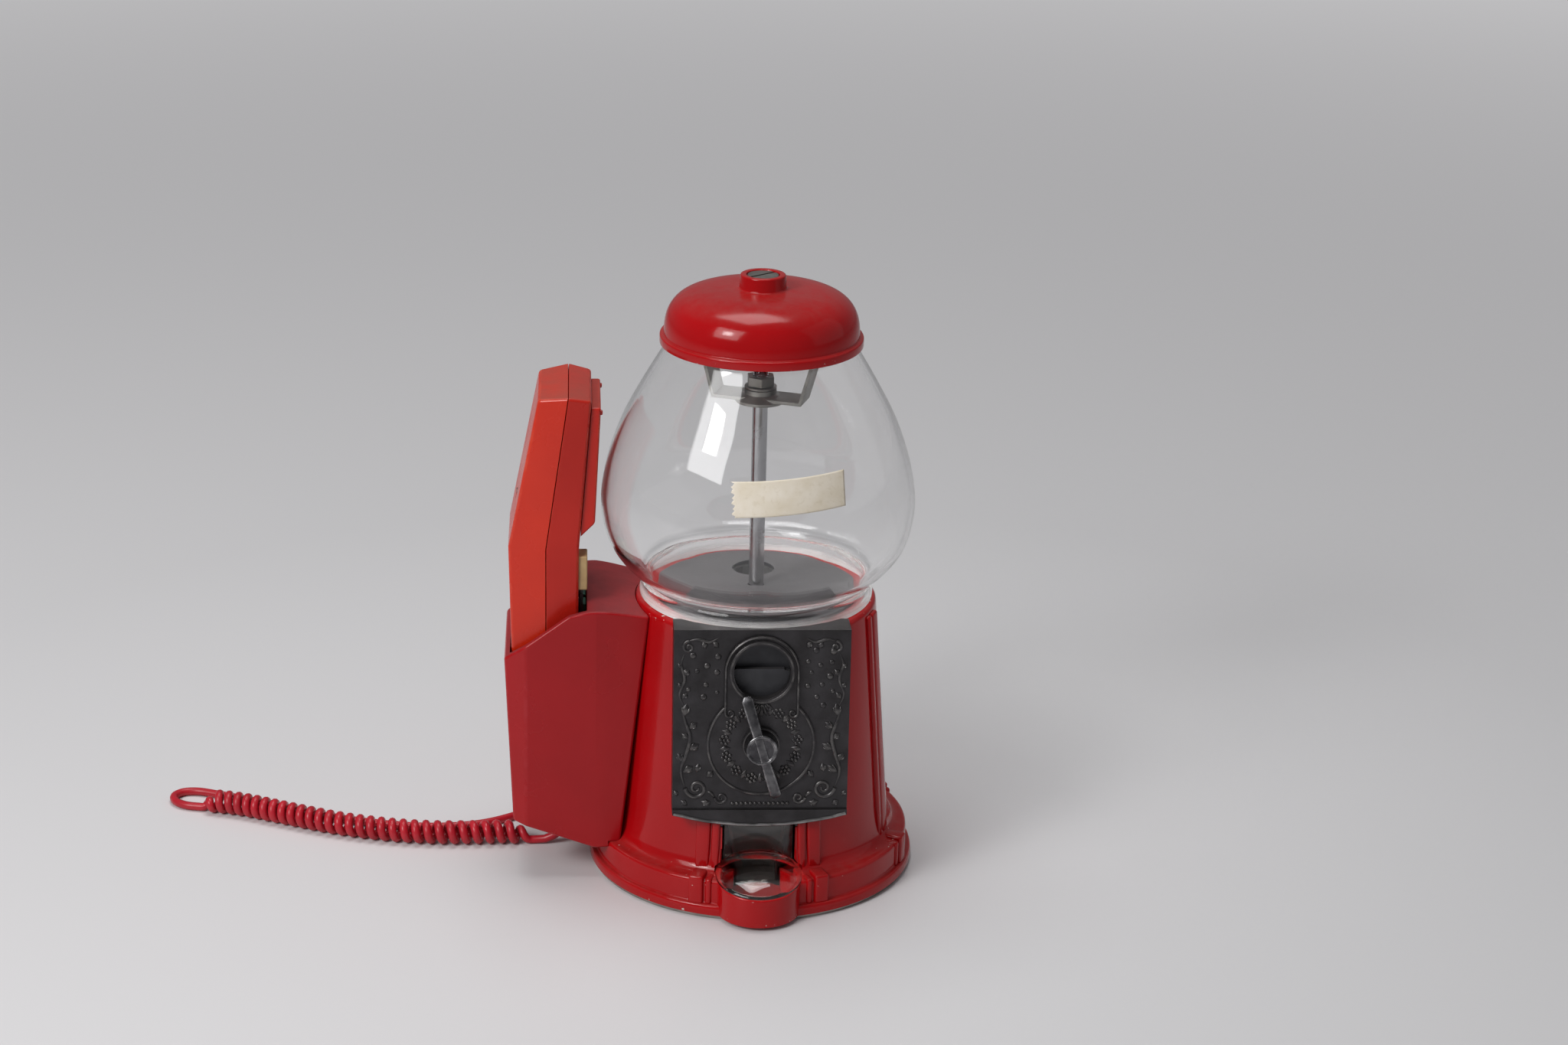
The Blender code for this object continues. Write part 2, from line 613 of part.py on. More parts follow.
def inner_radius(height):
    """Radius at a height that is free inside the casting, between the flats of its turned wall."""
    share = (height - BODY_FOOT_Z) / (BODY_TOP_Z - BODY_WALL - BODY_FOOT_Z)
    wall_radius = BODY_FOOT_RADIUS + (BODY_TOP_RADIUS - BODY_FOOT_RADIUS) * share - BODY_WALL
    return wall_radius * math.cos(math.pi / ROUND_SIDES)


def body_outside(clearance):
    """Outer side of the casting from the shoulder to the foot, moved out by a clearance."""
    shoulder = ring(4, SHOULDER_ROUND + clearance,
                    (BODY_TOP_RADIUS - SHOULDER_ROUND, BODY_TOP_Z - SHOULDER_ROUND), math.pi / 2,
                    -math.pi / 2)
    step = FLANGE_ROUND
    flange = ring(3, step + clearance, (FLANGE_RING_RADIUS - step, FLANGE_RING_Z - step), math.pi / 2,
                  -math.pi / 2)
    return (shoulder
            + [(BODY_FOOT_RADIUS + clearance, BODY_FOOT_Z),
               (BODY_FOOT_RADIUS + step + clearance, FLANGE_RING_Z + 2 * step + clearance),
               (BODY_FOOT_RADIUS + 3 * step + clearance, FLANGE_RING_Z + clearance)]
            + flange
            + [(FLANGE_RING_RADIUS + clearance, FLANGE_STEP_Z + clearance),
               (BASE_RADIUS - step / 2 + clearance, FLANGE_STEP_Z + clearance),
               (BASE_RADIUS + clearance, BASE_EDGE_Z + clearance)])


# Heights and places that follow from the sizes above, from the foot up
body_bottom_z = BOTTOM_PLATE_THICKNESS + GAP
shaft_y = -body_radius(SHAFT_Z)    # where the shaft's axis meets the plate's face
flap_hinge_y = shaft_y + FLAP_HINGE_SETBACK
flap_hinge_z = SHAFT_Z - FLAP_HINGE_DROP
seat_z = BODY_TOP_Z + GAP          # what rests on the casting's rim starts here
mouth_z = seat_z + GLOBE_FOOT_HEIGHT + GLOBE_BULB_HEIGHT
strap_z = mouth_z - STRAP_DROP
bell_bottom_z = strap_z - BELL_DROP
bell_crown_z = strap_z + BELL_RISE
rod_nut_z = bell_crown_z + WASHER_THICKNESS + 2 * GAP
rod_top_z = rod_nut_z + ROD_NUT_HEIGHT + ROD_END_SHOWN
cap_rim_z = mouth_z - CAP_OVERLAP
dome_foot_z = cap_rim_z + CAP_DOME_RISE
dome_top_z = dome_foot_z + CAP_DOME_HEIGHT
cap_top_z = dome_top_z + CAP_BOSS_HEIGHT


def make_bottom_plate():
    top = BOTTOM_PLATE_THICKNESS
    turned("bottom_plate", [(0.0, top), (BOTTOM_PLATE_RADIUS, top), (BOTTOM_PLATE_RADIUS, 0.0),
                            (0.0, 0.0)], ZINC)


def make_body():
    wall = BODY_WALL
    inside = [(BASE_RADIUS - wall, body_bottom_z), (BASE_RADIUS - wall, BASE_EDGE_Z - wall / 2),
              (FLANGE_RING_RADIUS - wall, FLANGE_STEP_Z), (FLANGE_RING_RADIUS - wall, FLANGE_RING_Z - wall),
              (BODY_FOOT_RADIUS - wall, FLANGE_RING_Z - wall / 2), (BODY_FOOT_RADIUS - wall, BODY_FOOT_Z),
              (BODY_TOP_RADIUS - wall, BODY_TOP_Z - wall), (BODY_RIM_INNER_RADIUS, BODY_TOP_Z - wall)]
    profile = ([(BODY_RIM_INNER_RADIUS, BODY_TOP_Z)] + body_outside(0.0)
               + [(BASE_RADIUS, body_bottom_z)] + inside)
    body = turned("base_body", profile, ENAMEL)
    lean = math.atan((BODY_FOOT_RADIUS - BODY_TOP_RADIUS) / (BODY_TOP_Z - BODY_FOOT_Z))
    join(body, rod("cup_solid", CUP_OUTER_RADIUS, (0.0, CUP_Y, body_bottom_z),
                   (0.0, CUP_Y, FLAP_DISC_Z + FLAP_DOME_HEIGHT), sides=ROUND_SIDES))
    places = [(math.radians(angle), 0.0, RIB_TOP_Z) for angle in SIDE_RIB_ANGLES]
    chute_turn = math.asin((CHUTE_RIB_X + RIB_NARROW + RIB_PAIR_GAP / 2) / body_radius(BODY_FOOT_Z))
    chute_rib_top = SHAFT_Z - PLATE_BOTTOM - RIB_PAIR_GAP
    places += [(chute_turn, 1.0, chute_rib_top), (-chute_turn, -1.0, chute_rib_top)]
    for number, (angle, side, top) in enumerate(places):
        outward = side if side else math.copysign(1.0, angle)
        join(body, rib_pair("rib_%d" % number, angle, outward, top, lean))
    cut(body, *body_openings())
    return body


def rib_pair(name, angle, outward, top, lean):
    """A narrow and a wide rib side by side and the block that ends both on the flange."""
    low = FLANGE_RING_Z - BODY_WALL / 2
    height = (top - low) / math.cos(lean)
    root = BODY_FOOT_RADIUS - BODY_WALL / 2
    parts = [(-RIB_NARROW - RIB_PAIR_GAP / 2, -RIB_PAIR_GAP / 2, height, RIB_PROUD),
             (RIB_PAIR_GAP / 2, RIB_WIDE + RIB_PAIR_GAP / 2, height, RIB_PROUD),
             (-RIB_NARROW - RIB_PAIR_GAP, RIB_WIDE + RIB_PAIR_GAP, RIB_FOOT_HEIGHT - low,
              RIB_PROUD + RIB_FOOT_PROUD)]
    place = (Matrix.Rotation(angle, 4, "Z") @ Matrix.Translation((0.0, -root, low))
             @ Matrix.Rotation(-lean, 4, "X"))
    pieces = []
    for number, (left, right, tall, proud) in enumerate(parts):
        left, right = sorted((left * outward, right * outward))
        piece = box("%s_%d" % (name, number), (left, -proud - BODY_WALL / 2, 0.0), (right, 0.0, tall))
        piece.matrix_world = place
        pieces.append(piece)
    join(pieces[2], pieces[0], pieces[1])
    return pieces[2]


def body_openings():
    """Cutters for the mechanism window, chute mouth, cup and screw holes."""
    window = box("window", (-BODY_WINDOW_HALF_WIDTH, -BASE_RADIUS, BODY_WINDOW_BOTTOM_Z),
                 (BODY_WINDOW_HALF_WIDTH, -BODY_WALL - FLOOR_RADIUS, BODY_WINDOW_TOP_Z))
    mouth = box("chute_mouth", (-CHUTE_HALF_WIDTH, CUP_Y - CUP_INNER_RADIUS / 2, CUP_SILL_Z),
                (CHUTE_HALF_WIDTH, -BODY_WALL - FLOOR_RADIUS, BODY_WINDOW_BOTTOM_Z + OVERRUN))
    sill = box("cup_sill", (-CUP_OUTER_RADIUS - FLAP_CLEARANCE, CUP_SILL_Y, CUP_SILL_Z),
               (CUP_OUTER_RADIUS + FLAP_CLEARANCE, CUP_Y + CUP_OUTER_RADIUS + OVERRUN,
                FLAP_DISC_Z + OVERRUN * 2))
    bowl = rod("cup_bowl", CUP_INNER_RADIUS, (0.0, CUP_Y, CUP_FLOOR_Z),
               (0.0, CUP_Y, FLAP_DISC_Z + FLAP_DOME_HEIGHT + OVERRUN), sides=ROUND_SIDES)
    throat = box("cup_throat", (-RAMP_HALF_WIDTH - RAMP_WALL - GAP * 2, CUP_Y, CUP_FLOOR_Z),
                 (RAMP_HALF_WIDTH + RAMP_WALL + GAP * 2, CUP_Y + CUP_OUTER_RADIUS + OVERRUN, FLAP_DISC_Z))
    normal = flap_normal()
    centre = Vector((0.0, CUP_Y, FLAP_DISC_Z)) - normal * GAP
    lid_space = rod("flap_space", FLAP_DISC_RADIUS + FLAP_CLEARANCE, centre,
                    centre + normal * (FLAP_DOME_HEIGHT * 2), sides=ROUND_SIDES)
    lug_half = FLAP_PANEL_HALF_WIDTH + FLAP_CLEARANCE + LUG_THICKNESS + GAP
    lugs = box("lug_space", (-lug_half, -BASE_RADIUS, flap_hinge_z - LUG_SPACE_DROP),
               (lug_half, -BODY_WALL - FLOOR_RADIUS, BODY_WINDOW_BOTTOM_Z + OVERRUN))
    holes = [window, mouth, sill, bowl, throat, lid_space, lugs, carrier_space("carrier_space_in_body")]
    holes.append(standing("plate_space", plate_outline(GAP), -BASE_RADIUS / 2, PLATE_FACE + GAP,
                          parent=front_frame))
    for name, height in HOLSTER_SCREW_HEIGHTS.items():
        holes.append(rod("holster_hole_" + name, HOLSTER_SCREW_RADIUS + GAP,
                         (-body_radius(BODY_FOOT_Z) - OVERRUN,
                         0.0, height), (-BODY_RIM_INNER_RADIUS, 0.0, height)))
    for side in (-1.0, 1.0):
        for number, height in enumerate(STUD_HEIGHTS):
            hole = rod("stud_hole_%d_%d" % (side, number), STUD_RADIUS + GAP * 2,
                       (side * STUD_X, 0.0, height),
                       (side * STUD_X, PLATE_DEPTH + OVERRUN, height), parent=front_frame)
            holes.append(hole)
    return holes


def carrier_space(name):
    """Cutter for the room that the coin carrier turns in."""
    return rod(name, CARRIER_RADIUS + GAP, (0.0, PLATE_FACE, 0.0),
               (0.0, PLATE_FACE + CARRIER_THICKNESS + 2 * GAP, 0.0), sides=ROUND_SIDES * 2,
               parent=front_frame)


def plate_outline(clearance):
    """Front plate's outline with its curved lip, moved out by a clearance; anticlockwise."""
    half = PLATE_HALF_WIDTH
    lip_radius = (half ** 2 + PLATE_LIP_SAG ** 2) / (2 * PLATE_LIP_SAG)
    swing = math.asin(half / lip_radius)
    outline = ring(14, lip_radius + clearance, (0.0, lip_radius - PLATE_LIP_SAG - PLATE_BOTTOM),
                   -math.pi / 2 - swing, 2 * swing)
    half += clearance
    outline[0] = (-half, outline[0][1])
    outline[-1] = (half, outline[-1][1])
    return outline + [(half, PLATE_TOP + clearance), (-half, PLATE_TOP + clearance)]


def flap_normal():
    return Vector((0.0, -math.sin(FLAP_TILT), math.cos(FLAP_TILT)))


def make_front_plate():
    """Pan casting: face, top ledge, side and bottom walls, lip, collar, frame and round medal."""
    half = PLATE_HALF_WIDTH
    pan = box("front_plate", (-half, PLATE_FACE / 2, -PLATE_BOTTOM), (half, PLATE_DEPTH, PLATE_TOP), PEWTER,
              front_frame)
    cut(pan, box("pan_inside", (-half + PLATE_WALL, 0.0, -PLATE_BOTTOM + PLATE_WALL),
                 (half - PLATE_WALL, PLATE_DEPTH + OVERRUN, PLATE_TOP - PLATE_WALL), parent=front_frame))
    around = body_outside(GAP) + [(BASE_RADIUS, -OVERRUN), (0.0, -OVERRUN)]
    cut(pan, turned("body_clearance", [(0.0, BODY_TOP_Z + GAP)] + around))
    join(pan, standing("plate_face", plate_outline(0.0), 0.0, PLATE_FACE, parent=front_frame))
    lip = [point for point in plate_outline(0.0) if point[1] < -PLATE_BOTTOM + GAP]
    lip += [(half, PLATE_WALL - PLATE_BOTTOM), (-half, PLATE_WALL - PLATE_BOTTOM)]
    join(pan, standing("plate_lip", lip, -PLATE_LIP_PROUD, PLATE_FACE / 2, parent=front_frame))
    bite = PLATE_FACE / 2
    join(pan, rod("medal", MEDAL_RADIUS, (0.0, -MEDAL_PROUD, 0.0), (0.0, bite, 0.0), parent=front_frame,
                  sides=ROUND_SIDES))
    frame = ring(16, FRAME_HALF_WIDTH, (0.0, COIN_HEIGHT), 0.0, math.pi)
    frame += [(-FRAME_HALF_WIDTH, 0.0), (FRAME_HALF_WIDTH, 0.0)]
    join(pan, standing("keyhole_frame", frame, -FRAME_PROUD, bite, parent=front_frame))
    join(pan, rod("collar", COLLAR_RADIUS, (0.0, -COLLAR_PROUD, COIN_HEIGHT), (0.0, bite, COIN_HEIGHT),
                  parent=front_frame, sides=ROUND_SIDES))
    join(pan, rod("hub_seat", HUB_SEAT_RADIUS, (0.0, -HUB_SEAT_PROUD, 0.0), (0.0, bite, 0.0),
                  parent=front_frame, sides=ROUND_SIDES))
    glass = rod("glass_clearance", GLOBE_FOOT_RADIUS + GAP, (0.0, 0.0, BODY_TOP_Z - OVERRUN),
                (0.0, 0.0, BODY_TOP_Z + GLOBE_FOOT_HEIGHT), sides=ROUND_SIDES)
    for side in (-1.0, 1.0):
        for number, height in enumerate(STUD_HEIGHTS):
            tip = nut_seat(side, height) + NUT_HEIGHT + GAP
            join(pan, rod("stud_%d_%d" % (side, number), STUD_RADIUS, (side * STUD_X, PLATE_FACE / 2, height),
                          (side * STUD_X, tip, height), parent=front_frame))
        inner = side * (FLAP_PANEL_HALF_WIDTH + FLAP_CLEARANCE)
        outer = inner + side * LUG_THICKNESS
        low, high = sorted((inner, outer))
        hinge = hinge_in_plate()
        reach = FLAP_KNUCKLE_RADIUS
        join(pan, box("lug_%d" % side, (low, PLATE_FACE / 2, hinge.z - reach),
                      (high, hinge.y + reach, PLATE_WALL - PLATE_BOTTOM), parent=front_frame))
    cut(pan, glass, carrier_space("carrier_space_in_plate"))
    cut(pan, rod("coin_opening", COIN_RADIUS, (0.0, -COLLAR_PROUD - OVERRUN, COIN_HEIGHT),
                 (0.0, PLATE_FACE + OVERRUN, COIN_HEIGHT), parent=front_frame, sides=ROUND_SIDES))
    cut(pan, rod("shaft_hole", SHAFT_RADIUS + SHAFT_RUNNING_GAP, (0.0, -HUB_FACE, 0.0),
                 (0.0, PLATE_FACE + OVERRUN, 0.0), parent=front_frame))
    pin_half = FLAP_PANEL_HALF_WIDTH + FLAP_CLEARANCE + LUG_THICKNESS + OVERRUN
    cut(pan, rod("pin_hole", FLAP_PIN_RADIUS + GAP, (-pin_half, flap_hinge_y, flap_hinge_z),
                 (pin_half, flap_hinge_y, flap_hinge_z), sides=SCREW_SIDES))
    pawl_pin = rod("pawl_pin", PAWL_PIN_RADIUS, (PAWL_X, PLATE_FACE / 2, -PAWL_DROP),
                   (PAWL_X, carrier_back(), -PAWL_DROP), parent=front_frame, sides=SCREW_SIDES)
    join(pan, pawl_pin)
    return pan


def hinge_in_plate():
    """The flap's hinge point in the front frame's own coordinates."""
    return front_place.inverted() @ Vector((0.0, flap_hinge_y, flap_hinge_z))


def nut_seat(side, height):
    """Depth behind the plate's face at which a nut clears the casting's curved inner wall."""
    world_z = (front_place @ Vector((0.0, PLATE_DEPTH, height))).z
    reach = STUD_X + NUT_RADIUS
    world = Vector((side * STUD_X, GAP - math.sqrt(inner_radius(world_z + NUT_RADIUS) ** 2 - reach ** 2),
                    world_z))
    return (front_place.inverted() @ world).y


def make_front_details():
    """Nuts, coin backing, pawl and flap pin."""
    names = {(-1.0, 0): "plate_nut_upper_left", (1.0, 0): "plate_nut_upper_right",
             (-1.0, 1): "plate_nut_lower_left", (1.0, 1): "plate_nut_lower_right"}
    for (side, number), name in names.items():
        height = STUD_HEIGHTS[number]
        seat = nut_seat(side, height)
        nut = rod(name, NUT_RADIUS, (side * STUD_X, seat, height), (side * STUD_X, seat + NUT_HEIGHT, height),
                  ZINC, front_frame, sides=6)
        cut(nut, rod(name + "_bore", STUD_RADIUS + GAP, (side * STUD_X, seat - OVERRUN, height),
                     (side * STUD_X, seat + NUT_HEIGHT + OVERRUN, height), parent=front_frame))
    back = carrier_back() + BACKING_SPACE
    top = BODY_WINDOW_TOP_Z - SHAFT_Z - 2 * GAP
    box("coin_backing", (-BACKING_HALF_WIDTH, back, top - BACKING_HEIGHT),
        (BACKING_HALF_WIDTH, back + BACKING_THICKNESS, top), PEWTER, front_frame)
    pawl_frame.location = (PAWL_X, 0.0, -PAWL_DROP)
    pawl_frame.parent = front_frame
    reach = math.hypot(PAWL_X, PAWL_DROP)
    across = math.acos((PAWL_TIP ** 2 + reach ** 2 - (CARRIER_RADIUS + GAP) ** 2) / (2 * PAWL_TIP * reach))
    aim = math.atan2(PAWL_DROP, -PAWL_X) - across
    tip = Vector((math.cos(aim), math.sin(aim))) * PAWL_TIP
    side = Vector((-tip.y, tip.x)).normalized() * PAWL_RADIUS
    outline = [tuple(side), tuple(tip), tuple(tip - side * PAWL_TIP_SHARE), tuple(-side * PAWL_HEEL_SHARE)]
    near = PLATE_FACE + GAP
    pawl = standing("ratchet_pawl", outline[::-1], near, near + PAWL_THICKNESS, STEEL, pawl_frame)
    join(pawl, rod("pawl_eye", PAWL_RADIUS, (0.0, near, 0.0), (0.0, near + PAWL_THICKNESS, 0.0),
                   parent=pawl_frame))
    cut(pawl, rod("pawl_bore", PAWL_PIN_RADIUS + GAP, (0.0, 0.0, 0.0),
                  (0.0, near + PAWL_THICKNESS + OVERRUN, 0.0),
                  parent=pawl_frame, sides=SCREW_SIDES))
    half = FLAP_PANEL_HALF_WIDTH + FLAP_CLEARANCE + LUG_THICKNESS
    rod("flap_pin", FLAP_PIN_RADIUS, (-half, flap_hinge_y, flap_hinge_z), (half, flap_hinge_y, flap_hinge_z),
        STEEL, sides=SCREW_SIDES)


def carrier_back():
    """Depth of the coin carrier's rear side behind the plate's face."""
    return PLATE_FACE + GAP + CARRIER_THICKNESS


def make_handle_train():
    """Handle with its shaft, coin carrier, drive finger and end nut, all turning together."""
    handle = rod("handle", HUB_RADIUS, (0.0, -HUB_FACE, 0.0), (0.0, -HUB_SEAT_PROUD - GAP, 0.0), STEEL,
                 handle_frame, sides=ROUND_SIDES)
    steps = 9
    outer, inner = [], []
    for index in range(steps):
        share = 2 * index / (steps - 1) - 1
        depth = -HUB_FACE + BLADE_BOW * share ** 2
        outer.append((depth, share * BLADE_HALF_LENGTH))
        inner.append((depth + BLADE_THICKNESS * (1 - share ** 2 / 3), share * BLADE_HALF_LENGTH))
    blade = sideways("handle_blade", outer[::-1] + inner, -BLADE_WIDTH / 2, BLADE_WIDTH / 2,
                     parent=handle_frame)
    blade.rotation_euler = (0.0, -BLADE_ANGLE, 0.0)
    join(handle, blade, rod("handle_shaft", SHAFT_RADIUS, (0.0, -HUB_FACE / 2, 0.0), (0.0, SHAFT_LENGTH, 0.0),
                            parent=handle_frame))
    near = PLATE_FACE + GAP
    teeth = []
    for number in range(CARRIER_TEETH):
        for share, drop in ((0.0, 0.0), (0.85, CARRIER_TOOTH)):
            turn = math.tau * (number + share) / CARRIER_TEETH
            teeth.append(((CARRIER_RADIUS - drop) * math.cos(turn), (CARRIER_RADIUS - drop) * math.sin(turn)))
    carrier = standing("coin_carrier", teeth, near, near + CARRIER_THICKNESS, ZINC, handle_frame)
    cut(carrier, box("carrier_ledge", (-CARRIER_RADIUS, 0.0, CARRIER_LEDGE),
                     (CARRIER_RADIUS, PLATE_DEPTH, CARRIER_RADIUS + OVERRUN), parent=handle_frame))
    bore(carrier, "carrier_bore")
    back = SHAFT_LENGTH - NUT_HEIGHT - GAP - SHAFT_END_SHOWN
    start = back - FINGER_THICKNESS
    finger = box("drive_finger", (-FINGER_HALF_WIDTH, start, -FINGER_LENGTH), (FINGER_HALF_WIDTH, back, 0.0),
                 STEEL, handle_frame)
    join(finger, rod("finger_hub", FINGER_HUB_RADIUS, (0.0, carrier_back() + GAP, 0.0), (0.0, back, 0.0),
                     parent=handle_frame))
    bore(finger, "finger_bore")
    nut = rod("shaft_nut", SHAFT_NUT_RADIUS, (0.0, back + GAP, 0.0), (0.0, back + GAP + NUT_HEIGHT, 0.0),
              ZINC,
              handle_frame, sides=6)
    bore(nut, "shaft_nut_bore")


def bore(target, name):
    cut(target, rod(name, SHAFT_RADIUS + GAP, (0.0, 0.0, 0.0), (0.0, SHAFT_LENGTH + OVERRUN, 0.0),
                    parent=handle_frame))


def make_vending_parts():
    """Tie rod and nuts, pillar, wheel floor, wheel, hopper plate and its cover."""
    rod("tie_rod", ROD_RADIUS, (0.0, 0.0, body_bottom_z), (0.0, 0.0, rod_top_z), CHROME)
    nut_top = body_bottom_z + ROD_NUT_HEIGHT
    hex_nut("bottom_nut", body_bottom_z, nut_top)
    bore_radius = ROD_RADIUS + ROD_GAP
    wheel_top = seat_z - WHEEL_TOP_SPACE
    wheel_low = wheel_top - WHEEL_HEIGHT
    floor_top = wheel_low - GAP
    floor_low = floor_top - FLOOR_THICKNESS
    turned("centre_pillar", tube_profile(PILLAR_OUTER_RADIUS, bore_radius, nut_top + GAP, floor_low - GAP),
           ZINC, SMALL_SIDES)
    floor = turned("wheel_floor", tube_profile(FLOOR_RADIUS, bore_radius, floor_low, floor_top), ZINC)
    cut(floor, rod("outlet", INLET_RADIUS, (0.0, -POCKET_CENTRE, floor_low - OVERRUN),
                   (0.0, -POCKET_CENTRE, floor_top + OVERRUN)))
    wheel = turned("vending_wheel", tube_profile(WHEEL_RADIUS, bore_radius, wheel_low, wheel_top),
                   WHEEL_NYLON)
    for number in range(POCKET_COUNT):
        turn = -math.pi / 2 + math.tau * number / POCKET_COUNT
        across, along_y = math.cos(turn), math.sin(turn)
        pocket = (across * POCKET_CENTRE, along_y * POCKET_CENTRE)
        pin = (across * DRIVE_PIN_CENTRE, along_y * DRIVE_PIN_CENTRE)
        cut(wheel, rod("pocket_%d" % number, POCKET_RADIUS, (*pocket, wheel_low - OVERRUN),
                       (*pocket, wheel_top + OVERRUN)))
        join(wheel, rod("drive_pin_%d" % number, DRIVE_PIN_RADIUS, (*pin, wheel_low - DRIVE_PIN_LENGTH),
                        (*pin, wheel_low + DRIVE_PIN_RADIUS), sides=SCREW_SIDES))
    hopper_top = seat_z + HOPPER_THICKNESS
    hopper = turned("hopper_plate", tube_profile(HOPPER_RADIUS, bore_radius, seat_z, hopper_top), PEWTER)
    cut(hopper, rod("inlet", INLET_RADIUS, (0.0, POCKET_CENTRE, seat_z - OVERRUN),
                    (0.0, POCKET_CENTRE, hopper_top + OVERRUN)))
    swing = math.asin(-COVER_EDGE_Y / COVER_RADIUS)
    edge = ring(25, COVER_RADIUS, (0.0, 0.0), -math.pi + swing, math.pi - 2 * swing)
    low = hopper_top + GAP
    cover = lying("hopper_cover", edge, low, low + COVER_THICKNESS, ZINC)
    return cover


def tube_profile(outer, inner, low, high):
    return [(outer, high), (outer, low), (inner, low), (inner, high)]


def hex_nut(name, low, high):
    nut = rod(name, ROD_NUT_RADIUS, (0.0, 0.0, low), (0.0, 0.0, high), ZINC, sides=6)
    cut(nut, rod(name + "_bore", ROD_RADIUS + GAP, (0.0, 0.0, low - OVERRUN), (0.0, 0.0, high + OVERRUN)))
    return nut


def make_ramp():
    """Drop chute: two side plates, a back slope and a front strip over the mouth."""
    low = body_bottom_z
    wall = RAMP_WALL
    half = RAMP_HALF_WIDTH
    sheet = wall / math.sin(math.atan2(RAMP_KNEE_Z - CUP_FLOOR_Z, RAMP_KNEE_Y - RAMP_END_Y))
    rise = (RAMP_FOOT_LENGTH - sheet) * (RAMP_KNEE_Z - CUP_FLOOR_Z) / (RAMP_KNEE_Y - RAMP_END_Y)
    outer = [(RAMP_FRONT_Y - wall, RAMP_TOP_Z), (RAMP_FRONT_Y - wall, RAMP_HOOD_Z),
             (RAMP_END_Y, RAMP_MOUTH_Z),
             (RAMP_END_Y, low), (RAMP_END_Y + RAMP_FOOT_LENGTH, low),
             (RAMP_END_Y + RAMP_FOOT_LENGTH, CUP_FLOOR_Z + rise), (RAMP_KNEE_Y + sheet, RAMP_KNEE_Z),
             (RAMP_REAR_Y + wall, RAMP_TOP_Z)]
    ramp = sideways("chute_ramp", outer, -half - wall, half + wall, ZINC)
    path = [(RAMP_FRONT_Y, RAMP_TOP_Z + OVERRUN), (RAMP_FRONT_Y, RAMP_HOOD_Z),
            (RAMP_END_Y - OVERRUN, RAMP_MOUTH_Z - OVERRUN), (RAMP_END_Y - OVERRUN, CUP_FLOOR_Z + GAP),
            (RAMP_END_Y, CUP_FLOOR_Z + GAP), (RAMP_KNEE_Y, RAMP_KNEE_Z), (RAMP_REAR_Y, RAMP_TOP_Z),
            (RAMP_REAR_Y, RAMP_TOP_Z + OVERRUN)]
    cut(ramp, sideways("ball_path", path, -half, half))
    return ramp


def make_flap():
    """Clear flap: knuckle, panel and domed lid in one moulding, hinged under the plate's lip."""
    flap_frame.location = (0.0, flap_hinge_y, flap_hinge_z)
    hinge = Vector((0.0, flap_hinge_y, flap_hinge_z))
    normal = flap_normal()
    sphere = (FLAP_DISC_RADIUS ** 2 + FLAP_DOME_HEIGHT ** 2) / (2 * FLAP_DOME_HEIGHT)
    swing = math.asin(FLAP_DISC_RADIUS / sphere)
    outer = ring(5, sphere, (0.0, FLAP_DOME_HEIGHT - sphere + FLAP_THICKNESS), math.pi / 2, -swing)
    inner = ring(4, sphere, (0.0, FLAP_DOME_HEIGHT - sphere), math.pi / 2, -swing)[::-1]
    outer[0] = (0.0, FLAP_DOME_HEIGHT + FLAP_THICKNESS)
    inner[-1] = (0.0, FLAP_DOME_HEIGHT)
    inner[0] = (FLAP_DISC_RADIUS - FLAP_THICKNESS, 0.0)
    flap = turned("chute_flap", outer + [(FLAP_DISC_RADIUS, 0.0)] + inner, CLEAR_PLASTIC, SMALL_SIDES * 2,
                  flap_frame)
    flap.location = Vector((0.0, CUP_Y, FLAP_DISC_Z)) - hinge
    flap.rotation_euler = (FLAP_TILT, 0.0, 0.0)
    panel_foot_y = flap_hinge_y + FLAP_PANEL_SLOPE
    foot = Vector((0.0, panel_foot_y, FLAP_DISC_Z + normal.y * (CUP_Y - panel_foot_y))) - hinge
    foot += normal * (FLAP_THICKNESS / 2)
    half_wall = Vector((0.0, foot.z, -foot.y)).normalized() * (FLAP_THICKNESS / 2)
    outline = [(half_wall.y, half_wall.z), (foot.y + half_wall.y, foot.z + half_wall.z),
               (foot.y - half_wall.y, foot.z - half_wall.z), (-half_wall.y, -half_wall.z)]
    half = FLAP_PANEL_HALF_WIDTH
    join(flap, sideways("flap_panel", outline, -half, half, parent=flap_frame))
    join(flap, rod("flap_knuckle", FLAP_KNUCKLE_RADIUS, (-half, 0.0, 0.0), (half, 0.0, 0.0),
                   parent=flap_frame))
    cut(flap, rod("knuckle_bore", FLAP_PIN_RADIUS + GAP, (-half - OVERRUN, 0.0, 0.0),
                  (half + OVERRUN, 0.0, 0.0),
                  parent=flap_frame, sides=SCREW_SIDES))


